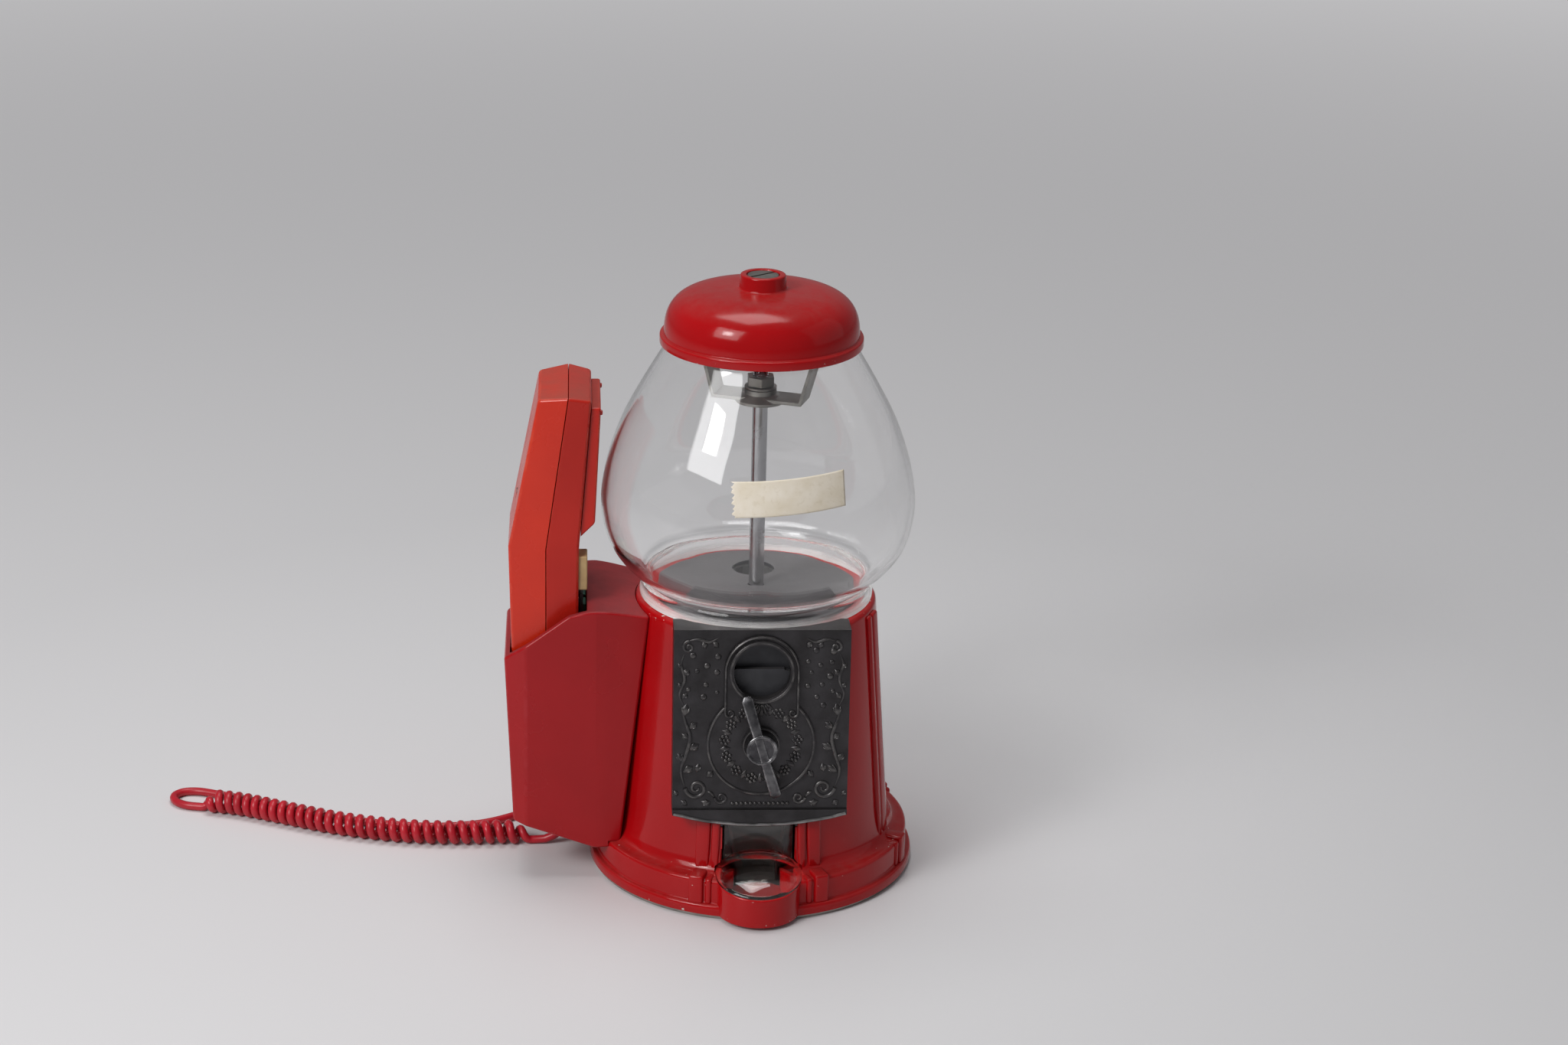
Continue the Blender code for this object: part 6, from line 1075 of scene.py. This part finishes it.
# bead rolled along the lip's lower edge
lip_radius = (PLATE_HALF_WIDTH ** 2 + LIP_SAG ** 2) / (2 * LIP_SAG)
bead = []
for step in range(BEAD_STEPS + 1):
    across = (2 * step / BEAD_STEPS - 1) * BEAD_HALF_LENGTH
    uneven = sum(depth * math.sin(across * rate + shift) for depth, rate, shift in BEAD_WAVES)
    up = lip_radius - LIP_SAG - PLATE_FOOT - math.sqrt(lip_radius ** 2 - across ** 2) + LIP_BEAD
    bead.append((across, up + uneven, LIP_BEAD + uneven * 0.5))
relief.append(ridge(bead, BEAD_HEIGHT, LIP_PROUD))
# fan under the collar: ribs that spread downwards
for number in range(-FAN_PAIRS, FAN_PAIRS + 1):
    turn = math.radians(-90.0 + number * FAN_SPREAD)
    run = Vector((math.cos(turn), math.sin(turn)))
    long = FAN_LENGTH - FAN_LOSS * abs(number)
    path = tapered([FAN_MIDDLE + run * FAN_START, FAN_MIDDLE + run * long * 0.6, FAN_MIDDLE + run * long],
                   FAN_HALF_WIDTH, 5, 0.15)
    relief.append(ridge(path, KEYHOLE_HEIGHT, KEYHOLE_PROUD))
leaf_places = []
for side in (-1.0, 1.0):
    for across, up, outer, inner, start, sweep, half_width, height in SCROLLS:
        path = volute(side * across, up, outer, inner, 90.0 - side * start, side * sweep, half_width)
        relief.append(ridge(path, height, FACE_PROUD))
    for half_width, height, *points in STEMS:
        path = tapered([(side * across, up) for across, up in points], half_width)
        relief.append(ridge(path, height, FACE_PROUD))
    for across, up, turn, size in LEAVES:
        leaf_places.append(Matrix.Translation((side * across, up, FACE_PROUD))
                           @ Matrix.Rotation(math.radians(turn if side > 0 else 180.0 - turn), 4, "Z")
                           @ Matrix.Diagonal((size, size, 1.0, 1.0)))
relief.append(copies(leaf(*LEAF), leaf_places, pewter))
relief.append(copies(flower(*ROSETTE), in_ring(ROSETTE_COUNT, ROSETTE_RING, MEDAL_PROUD), pewter))
between = in_ring(ROSETTE_COUNT, MEDAL_LEAF_RING, MEDAL_PROUD, 90.0 + 180.0 / ROSETTE_COUNT)
relief.append(copies(leaf(*MEDAL_LEAF), between, pewter))
pearls = [Matrix.Translation(((number - (PEARL_COUNT - 1) / 2) * PEARL_SPACING, PEARL_Y, FACE_PROUD))
          for number in range(PEARL_COUNT)]
relief.append(copies(boss(*PEARL), pearls, pewter))
for field, seed in zip(BOSS_FIELDS, BOSS_SEEDS):
    relief.append(scattered(field, boss(*FIELD_BOSS), BOSS_SPACING, seed, pewter))
relief = one_mesh(relief)
relief.transform(RELIEF_PLACE)
pan = one_mesh([softened("front_plate", 0.00045, steps=3), relief])
piece("front_plate_casting", pan, pewter, "machine", ["front_plate"], flats=True)

# Handle: one steel casting, a round boss with a rolled rim and two flat blades that bow back
# towards their tips; nickel plated, worn bright along the edges, fixed on the shaft.
HUB_OUTLINE = ((0.0, 0.0033, 0.0), (0.0072, 0.0033, 0.0004), (0.0072, 0.0098, 0.0009), (0.0060, 0.0098, 0.0004),
               (0.0056, 0.0092, 0.0005), (0.0, 0.0092, 0.0))
SHAFT_OUTLINE = ((0.0, -0.0236, 0.0), (0.0032, -0.0236, 0.0004), (0.0032, 0.0050, 0.0), (0.0, 0.0050, 0.0))
BLADE_REACH = 0.0254
BLADE_LEAN = math.radians(16.7)
BLADE_HALF_WIDTHS = (0.0022, 0.0027)      # near the boss and near the tip
BLADE_FRONT = 0.0098
BLADE_BOW = 0.0036
BLADE_THICKNESS = 0.0032
BLADE_STEPS = 36
BLADE_SPREAD = 1.15          # how soon it reaches its full width
TIP_START = 0.93             # share of the reach where the tip's round starts
TIP_SHARE = 0.07
TIP_NARROWING = 0.45
TIP_DROP = 0.0008
CORNER_WEAR = (0.0009, 0.0012)            # how far in and how far down a front corner is worn
FLAT_WEAR = 0.35
HUB_WEAR = 0.2
HUB_WORN = (0.0054, 0.0090)               # radius and height beyond which the hub's rim is worn
# Nickelled steel: cool, bright and streaky, darker where grime has stayed near the boss
nickel = finish("worn nickel plated steel", "#4B4A4D", "#373639", 0.006, 0.0008, 0.00004, 0.42, 0.28, Metallic=1.0)
worn(nickel, 0.004, (0.1, 0.9, 0.38, 0.62), "#9C9B9C", 0.24)
build = bmesh.new()
mark = build.verts.layers.float.new("edge")
narrow, wide = BLADE_HALF_WIDTHS
rows = []
for step in range(BLADE_STEPS + 1):
    share = 2 * step / BLADE_STEPS - 1
    half_width = narrow + (wide - narrow) * ease(min(1.0, abs(share) * BLADE_SPREAD))
    end = max(0.0, (abs(share) - TIP_START) / TIP_SHARE)
    half_width *= math.sqrt(max(0.0, 1 - end ** 2)) * TIP_NARROWING + (1 - TIP_NARROWING)
    front = BLADE_FRONT - BLADE_BOW * share ** 2 - TIP_DROP * end ** 2
    back = front - BLADE_THICKNESS * (1 - share ** 2 / 3) + TIP_DROP * end
    section = rounded([(-half_width, back, 0.0005), (half_width, back, 0.0005), (half_width, front, 0.0011),
                       (-half_width, front, 0.0011)], 3, True)
    row = []
    for across, out in section:
        row.append(build.verts.new((across, share * BLADE_REACH, out)))
        near_corner = abs(abs(across) - half_width) < CORNER_WEAR[0] and out > front - CORNER_WEAR[1]
        row[-1][mark] = 1.0 if near_corner else FLAT_WEAR
    rows.append(row)
blade = as_mesh(skinned(build, rows), Matrix.Rotation(BLADE_LEAN, 4, "Z"))
hub = turned(rounded(HUB_OUTLINE, 4), 72)
wear = [1.0 if math.hypot(vertex.co.x, vertex.co.y) > HUB_WORN[0] and vertex.co.z > HUB_WORN[1] else HUB_WEAR
        for vertex in hub.vertices]
hub.attributes.new("edge", "FLOAT", "POINT").data.foreach_set("value", wear)
handle = one_mesh([blade, hub, turned(rounded(SHAFT_OUTLINE), 40)])
handle.transform(RELIEF_PLACE)
piece("handle_casting", handle, nickel, "handle", ["handle"])

# Flap: one clear moulding, a knuckle on a pin under the plate's lip, a flat panel and a domed
# round lid that lies tilted on the bowl.
FLAP_HINGE = Vector((0.0, -0.057034, 0.042398))
LID_DOME = 0.0055
LID_WALL = 0.0012
LID_EDGE = 0.0003
LID_STEPS = 14
LID_INSIDE = 0.94            # of the dome's outer radius
PANEL_HALF_WIDTH = 0.0160
PANEL_FOOT_BACK = 0.0010
KNUCKLE_RADIUS = 0.0017
PIN_ROOM = 0.0011
SIDEWAYS = Matrix.Rotation(math.radians(90.0), 4, "Y")      # stands what is turned about Z along X
# Clear styrene: water clear with fine scuffs
clear_moulding = finish("clear moulded styrene, scuffed", "#F4F0EC", "#EBE6E0", 0.010, 0.0008, 0.000003, 0.06, 0.02,
                        Transmission_Weight=1.0, IOR=1.59)
lets_lamps_through(clear_moulding)
sphere = (LID_RADIUS ** 2 + LID_DOME ** 2) / (2 * LID_DOME)
swing = math.asin(LID_RADIUS / sphere)
outer = [(sphere * math.sin(swing * step / LID_STEPS),
          LID_DOME - sphere + LID_WALL + sphere * math.cos(swing * step / LID_STEPS)) for step in range(LID_STEPS + 1)]
inner = [(radius * LID_INSIDE, max(0.0, height - LID_WALL)) for radius, height in outer[::-1]]
edge_z = outer[-1][1]
lid = turned([*outer[:-1], (LID_RADIUS - LID_EDGE, edge_z), (LID_RADIUS, edge_z - LID_EDGE), (LID_RADIUS, LID_EDGE),
              (LID_RADIUS - LID_EDGE, 0.0), *inner], 96, lid_place)
lid_normal = Vector((0.0, -math.sin(LID_TILT), math.cos(LID_TILT)))
foot_y = FLAP_HINGE.y + PANEL_FOOT_BACK
foot = Vector((0.0, foot_y, LID_Z + lid_normal.y * (CUP_Y - foot_y))) + lid_normal * (LID_WALL / 2)
down = foot - FLAP_HINGE
panel_turn = Vector((0.0, 0.0, -1.0)).rotation_difference(down.normalized()).to_matrix().to_4x4()
panel = block((-PANEL_HALF_WIDTH, -LID_WALL / 2, -down.length), (PANEL_HALF_WIDTH, LID_WALL / 2, 0.0), LID_EDGE, 2)
panel = as_mesh(panel, Matrix.Translation(FLAP_HINGE) @ panel_turn)
across = Matrix.Translation(FLAP_HINGE) @ SIDEWAYS
knuckle = turned(rounded([(0.0, -PANEL_HALF_WIDTH, 0.0), (KNUCKLE_RADIUS, -PANEL_HALF_WIDTH, 0.0003),
                          (KNUCKLE_RADIUS, PANEL_HALF_WIDTH, 0.0003), (0.0, PANEL_HALF_WIDTH, 0.0)]), 32, across)
flap = carved(lid, ("UNION", panel), ("UNION", knuckle), ("DIFFERENCE", disc(PIN_ROOM, -0.02, 0.02, 24, across)))
piece("clear_flap", flap, clear_moulding, "chute_flap", ["chute_flap"])

# Holster: a red moulded box with creased sides and a sloping top, screwed to the casting. The
# handset stands in its open slot on the left.
BOX_FRONT_Y = -0.0305
BOX_REAR_Y = 0.0385
BOX_FACET = 0.0042          # how far the end facets fall back
BOX_LEFT_X = -0.1168
BOX_CREASES = (-0.1070, -0.0746)
BOX_RIGHT_X = -0.0502
BOX_WALL = 0.0026
BOX_FRONT = ((-0.1129, 0.0286), (-0.0746, 0.0152), (-0.0632, 0.0152), (-0.0502, 0.1302), (-0.0741, 0.1342),
             (-0.0871, 0.1318), (-0.1168, 0.1100))
BOX_BEHIND = -0.0600        # for cutters: a depth behind the box,
BOX_AHEAD = 0.0600          # one before it
BOX_ABOVE = 0.2000          # and a height above it
SLOT_RIGHT_X = -0.0788
SLOT_WALL = 0.0022
SLOT_FLOOR_Z = 0.0400
SLOT_FOOT = (-0.1123, 0.0390)      # foot of its end wall
SLEEVE_ROOM = (0.0061, 0.0300, 0.0500)      # radius and the heights it is cut between
BOX_BODY_SPACE = ((0.0, 0.1500), (0.0563, 0.1500), (0.0563, 0.1332), (0.0648, 0.0300), (0.0664, 0.0213),
                  (0.0694, 0.0185), (0.0747, 0.0185), (0.0747, 0.0069), (0.0774, 0.0069), (0.0774, 0.0), (0.0, 0.0))
STANDING = Matrix.Rotation(math.radians(90.0), 4, "X")      # across, up, towards the front


def slab(points, low, high, place=Matrix.Identity(4)):
    """Outline drawn out along Z from low to high and placed, as a mesh."""
    build = bmesh.new()
    rows = [[build.verts.new((*point, height)) for point in points] for height in (low, high)]
    return as_mesh(skinned(build, rows), place)


def box_plan(wall, low_x, high_x):
    """Plan of the box between two creases, moved in by a wall; cut off at low and high x."""
    front, rear, drop = BOX_FRONT_Y + wall, BOX_REAR_Y - wall, BOX_FACET
    lean = drop / (BOX_RIGHT_X - BOX_CREASES[1])
    outline = []
    for x in (low_x, BOX_CREASES[0] + wall * 0.2, BOX_CREASES[1] - wall * 0.1, high_x):
        x = min(max(x, low_x), high_x)
        fall = max(0.0, (BOX_CREASES[0] - x) * drop / (BOX_CREASES[0] - BOX_LEFT_X), (x - BOX_CREASES[1]) * lean)
        if not outline or x > outline[-1][0] + 1e-6:
            outline.append((x, fall))
    return [(x, front + fall) for x, fall in outline] + [(x, rear - fall) for x, fall in outline[::-1]]


# Glossy ABS: deep red, smooth, with a film of dust on the top and light rubbing on the creases
holster_red = finish("moulded dark red ABS", "#A81118", "#9B0E14", 0.050, 0.0014, 0.00001, 0.30, 0.20,
                     Specular_IOR_Level=0.30)
dusted(holster_red, 0.65, 0.010, "#6B3436", 0.6)
worn(holster_red, 0.010, (0.0, 0.5, 0.45, 0.7), "#AC3036", 0.3)
crown = [tuple(point[:2]) for point in smooth([(*point, 0.0) for point in BOX_FRONT[3:6]], 8)]
skin = carved(slab([*BOX_FRONT[:3], *crown, BOX_FRONT[6]], BOX_AHEAD, BOX_BEHIND, STANDING),
              ("INTERSECT", slab(box_plan(0.0, BOX_LEFT_X, BOX_RIGHT_X), 0.0, BOX_ABOVE)))
skin = as_mesh(soften(merged(skin), 0.0012, 10.0, steps=4))
# hollow on the right, that the casting's room and a wall round it are kept out of
wide_space = [(radius + (BOX_WALL if radius else 0.0), height) for radius, height in BOX_BODY_SPACE]
right_plan = box_plan(BOX_WALL, SLOT_RIGHT_X + SLOT_WALL, BOX_RIGHT_X + BOX_WALL)
cavity = cut(slab(right_plan, 0.0, BOX_FRONT[3][1] - BOX_WALL), turned(wide_space, 144))
# open slot on the left; its end wall leans in towards the foot and is thinner there
left_plan = box_plan(BOX_WALL, BOX_LEFT_X + BOX_WALL, SLOT_RIGHT_X)
leaning = slab([SLOT_FOOT, (0.0, SLOT_FOOT[1]), (0.0, BOX_ABOVE), (BOX_LEFT_X + BOX_WALL, BOX_ABOVE),
                (BOX_LEFT_X + BOX_WALL, BOX_FRONT[6][1])], BOX_AHEAD, BOX_BEHIND, STANDING)
slot = carved(slab(left_plan, SLOT_FLOOR_Z, BOX_ABOVE), ("INTERSECT", leaning))
slot = as_mesh(soften(merged(slot), 0.0010, 10.0, steps=3))
under = slab(left_plan, 0.0, SLOT_FLOOR_Z - BOX_WALL)
sleeve_hole = disc(*SLEEVE_ROOM, 40, Matrix.Translation((*LEAD_ROUTE[0][:2], 0.0)))
skin = cut(skin, turned(BOX_BODY_SPACE, 144), slot, cavity, under, sleeve_hole)
piece("holster_box", skin, holster_red, "machine", ["holster"], flats=True)

# Handset: two orange-red shells that meet at a seam, screwed through posts, with an earpiece
# cover on its face, a keypad of twelve keys in a black bezel and a sprung hook bar under it.
HANDSET_Y = 0.0038
SHELL_HEIGHTS = (0.0405, 0.1620, 0.2342)            # bottom, bend and top
END_DRAFT = 0.0020
SEAM_X = (-0.0976, -0.0976, -0.0874)
SEAM_HALF_WIDTH = 0.0276
SEAM_SPACE = 0.00015
SHELL_ROUND = 0.0015
# each shell's outer face at the three heights, its half width and its side of the seam
SHELLS = {"back": ((-0.1118, -0.1148, -0.1010), 0.0236, -1.0), "face": ((-0.0836, -0.0825, -0.0769), 0.0250, 1.0)}
SHELL_SCREWS = (0.1800, 0.0660)
SCREW_HEAD_ROOM = (0.0027, -0.01, 0.0017)            # radius, then from outside the shell to the seat
EAR_OUTLINE = ((-0.08184, 0.1665), (-0.0753, 0.1730), (-0.0728, 0.2283), (-0.07691, 0.2283))
EAR_HALF_WIDTH = 0.0230
EAR_FOOT_X = -0.0760                                 # its edges beyond it are rounded
EAR_BUMP = (-0.0729, 0.2255)
EAR_BUMP_IN = 0.0024                                 # from the cover's sides
EAR_BUMP_PROFILE = ((0.0, -0.0004), (0.0012, -0.0004), (0.0012, 0.0004), (0.0009, 0.0008), (0.0, 0.0009))
SOUND_Z = 0.2040
SOUND_RING = 0.0050
SOUND_HOLE = (0.0010, -0.0018, 0.0018)               # radius, then from inside to outside
HOOK_ROOM = ((-0.0885, -0.0198, 0.1405), (-0.0780, -0.0082, 0.1575))


def along(line, height):
    """Value at a height of a line given at the bottom, the bend and the top."""
    low, bend, high = SHELL_HEIGHTS
    if height < bend:
        return line[0] + (line[1] - line[0]) * (height - low) / (bend - low)
    return line[1] + (line[2] - line[1]) * (height - bend) / (high - bend)


def shell_skin(face_line, half_width, outward):
    """Half of the handset from the seam to its outer face, rounded everywhere but at the seam."""
    build = bmesh.new()
    rows = []
    for seam_x, face_x, height, draft in zip(SEAM_X, face_line, SHELL_HEIGHTS, (END_DRAFT, 0.0, -END_DRAFT)):
        seam_x += outward * SEAM_SPACE
        corners = ((seam_x, -SEAM_HALF_WIDTH, height), (seam_x, SEAM_HALF_WIDTH, height),
                   (face_x, half_width, height + draft), (face_x, -half_width, height + draft))
        rows.append([build.verts.new((x, HANDSET_Y + y, z)) for x, y, z in corners])
    skinned(build, rows)
    build.verts.index_update()

    def at_seam(edge):
        return all(abs(vertex.co.x - outward * SEAM_SPACE - along(SEAM_X, vertex.co.z)) < 0.0002
                   for vertex in edge.verts)
    soften(build, SHELL_ROUND, 20.0, lambda edge: not at_seam(edge), 4)
    soften(build, 0.0004, 40.0, at_seam, 2)
    return as_mesh(build)


# Gloss ABS of one red, painted a little brighter on the back shell and a little darker on the face shell as painted
# light and shade for how each faces the lamps; dust has settled grey on what faces up
shell_back = finish("moulded orange-red ABS, back shell", "#C92A10", "#BE240E", 0.040, 0.0014, 0.00001, 0.32, 0.22,
                    Specular_IOR_Level=0.38)
shell_face = finish("moulded orange-red ABS, face shell", "#C2261A", "#B62116", 0.040, 0.0014, 0.00001, 0.36, 0.26,
                    Specular_IOR_Level=0.35)
for made in (shell_back, shell_face):
    dusted(made, 0.75, 0.012, "#92463A", 0.6)
    worn(made, 0.010, (0.0, 0.5, 0.45, 0.7), "#D4553A", 0.3)
seats = [Matrix.Translation((along(SHELLS["back"][0], height), HANDSET_Y, height)) for height in SHELL_SCREWS]
heads = [disc(*SCREW_HEAD_ROOM, 32, seat @ SIDEWAYS) for seat in seats]
piece("back_shell", cut(shell_skin(*SHELLS["back"]), *heads), shell_back, "handset", ["handset_back_shell"],
      flats=True)
piece("face_shell", cut(shell_skin(*SHELLS["face"]), as_mesh(box(*HOOK_ROOM))), shell_face, "handset",
      ["handset_front_shell"], flats=True)
# ear cover: a plate with a rounded face, seven sound holes and two moulded bumps
ear = slab(EAR_OUTLINE, -HANDSET_Y - EAR_HALF_WIDTH, -HANDSET_Y + EAR_HALF_WIDTH, STANDING)
ear = soften(merged(ear), 0.0011, 20.0, lambda edge: any(vertex.co.x > EAR_FOOT_X for vertex in edge.verts), 4)
slope = math.atan2(EAR_OUTLINE[2][0] - EAR_OUTLINE[1][0], EAR_OUTLINE[2][1] - EAR_OUTLINE[1][1])
sound_x = EAR_OUTLINE[1][0] + math.tan(slope) * (SOUND_Z - EAR_OUTLINE[1][1])
ring = [(0.0, 0.0)] + [(SOUND_RING * math.cos(math.tau * number / 6), SOUND_RING * math.sin(math.tau * number / 6))
                       for number in range(6)]
holes = [Matrix.Translation((sound_x, HANDSET_Y + y, SOUND_Z + z)) @ Matrix.Rotation(math.radians(90.0) + slope, 4, "Y")
         for y, z in ring]
ear = cut(as_mesh(ear), copies(disc(*SOUND_HOLE, 16), holes, shell_face))
bumps = []
for side in (-1.0, 1.0):
    place = Matrix.Translation((EAR_BUMP[0], HANDSET_Y + side * (EAR_HALF_WIDTH - EAR_BUMP_IN), EAR_BUMP[1]))
    bumps.append(turned(EAR_BUMP_PROFILE, 20, place @ SIDEWAYS))
piece("ear_cover", one_mesh([ear, *bumps]), shell_face, "handset", ["earpiece_cover"],
      flats=True)
# Black, green and ivory plastics: satin mouldings; the ivory has yellowed unevenly
black_plastic = finish("satin black ABS", "#19191A", "#222223", 0.010, 0.0006, 0.00001, 0.55, 0.40)
green_plastic = finish("moulded green ABS keys", "#2E6B54", "#27604A", 0.006, 0.0006, 0.00001, 0.45, 0.34)
ivory = finish("yellowed ivory ABS", "#B79A6C", "#A3845A", 0.007, 0.0006, 0.00001, 0.50, 0.38)
# Circuit board: green lacquer, only glimpsed
board = finish("green lacquered circuit board", "#2C5A3A", "#254E33", 0.010, 0.0006, 0.00001, 0.45, 0.35)
soft_piece("key_bezel", "keypad_bezel", 0.0003, black_plastic, "handset")
soft_piece("hook_bar", "hook_plunger", 0.0006, ivory, "hook_plunger", 3)
for number in range(1, 13):
    name = "key_%d" % number
    soft_piece("cap_of_" + name, name, 0.0006, green_plastic, name, 3)
dress(["circuit_board"], board)
dress(["speaker_capsule", "microphone_capsule"], black_plastic)
dress(["handset_screw_upper", "handset_screw_lower"], steel)
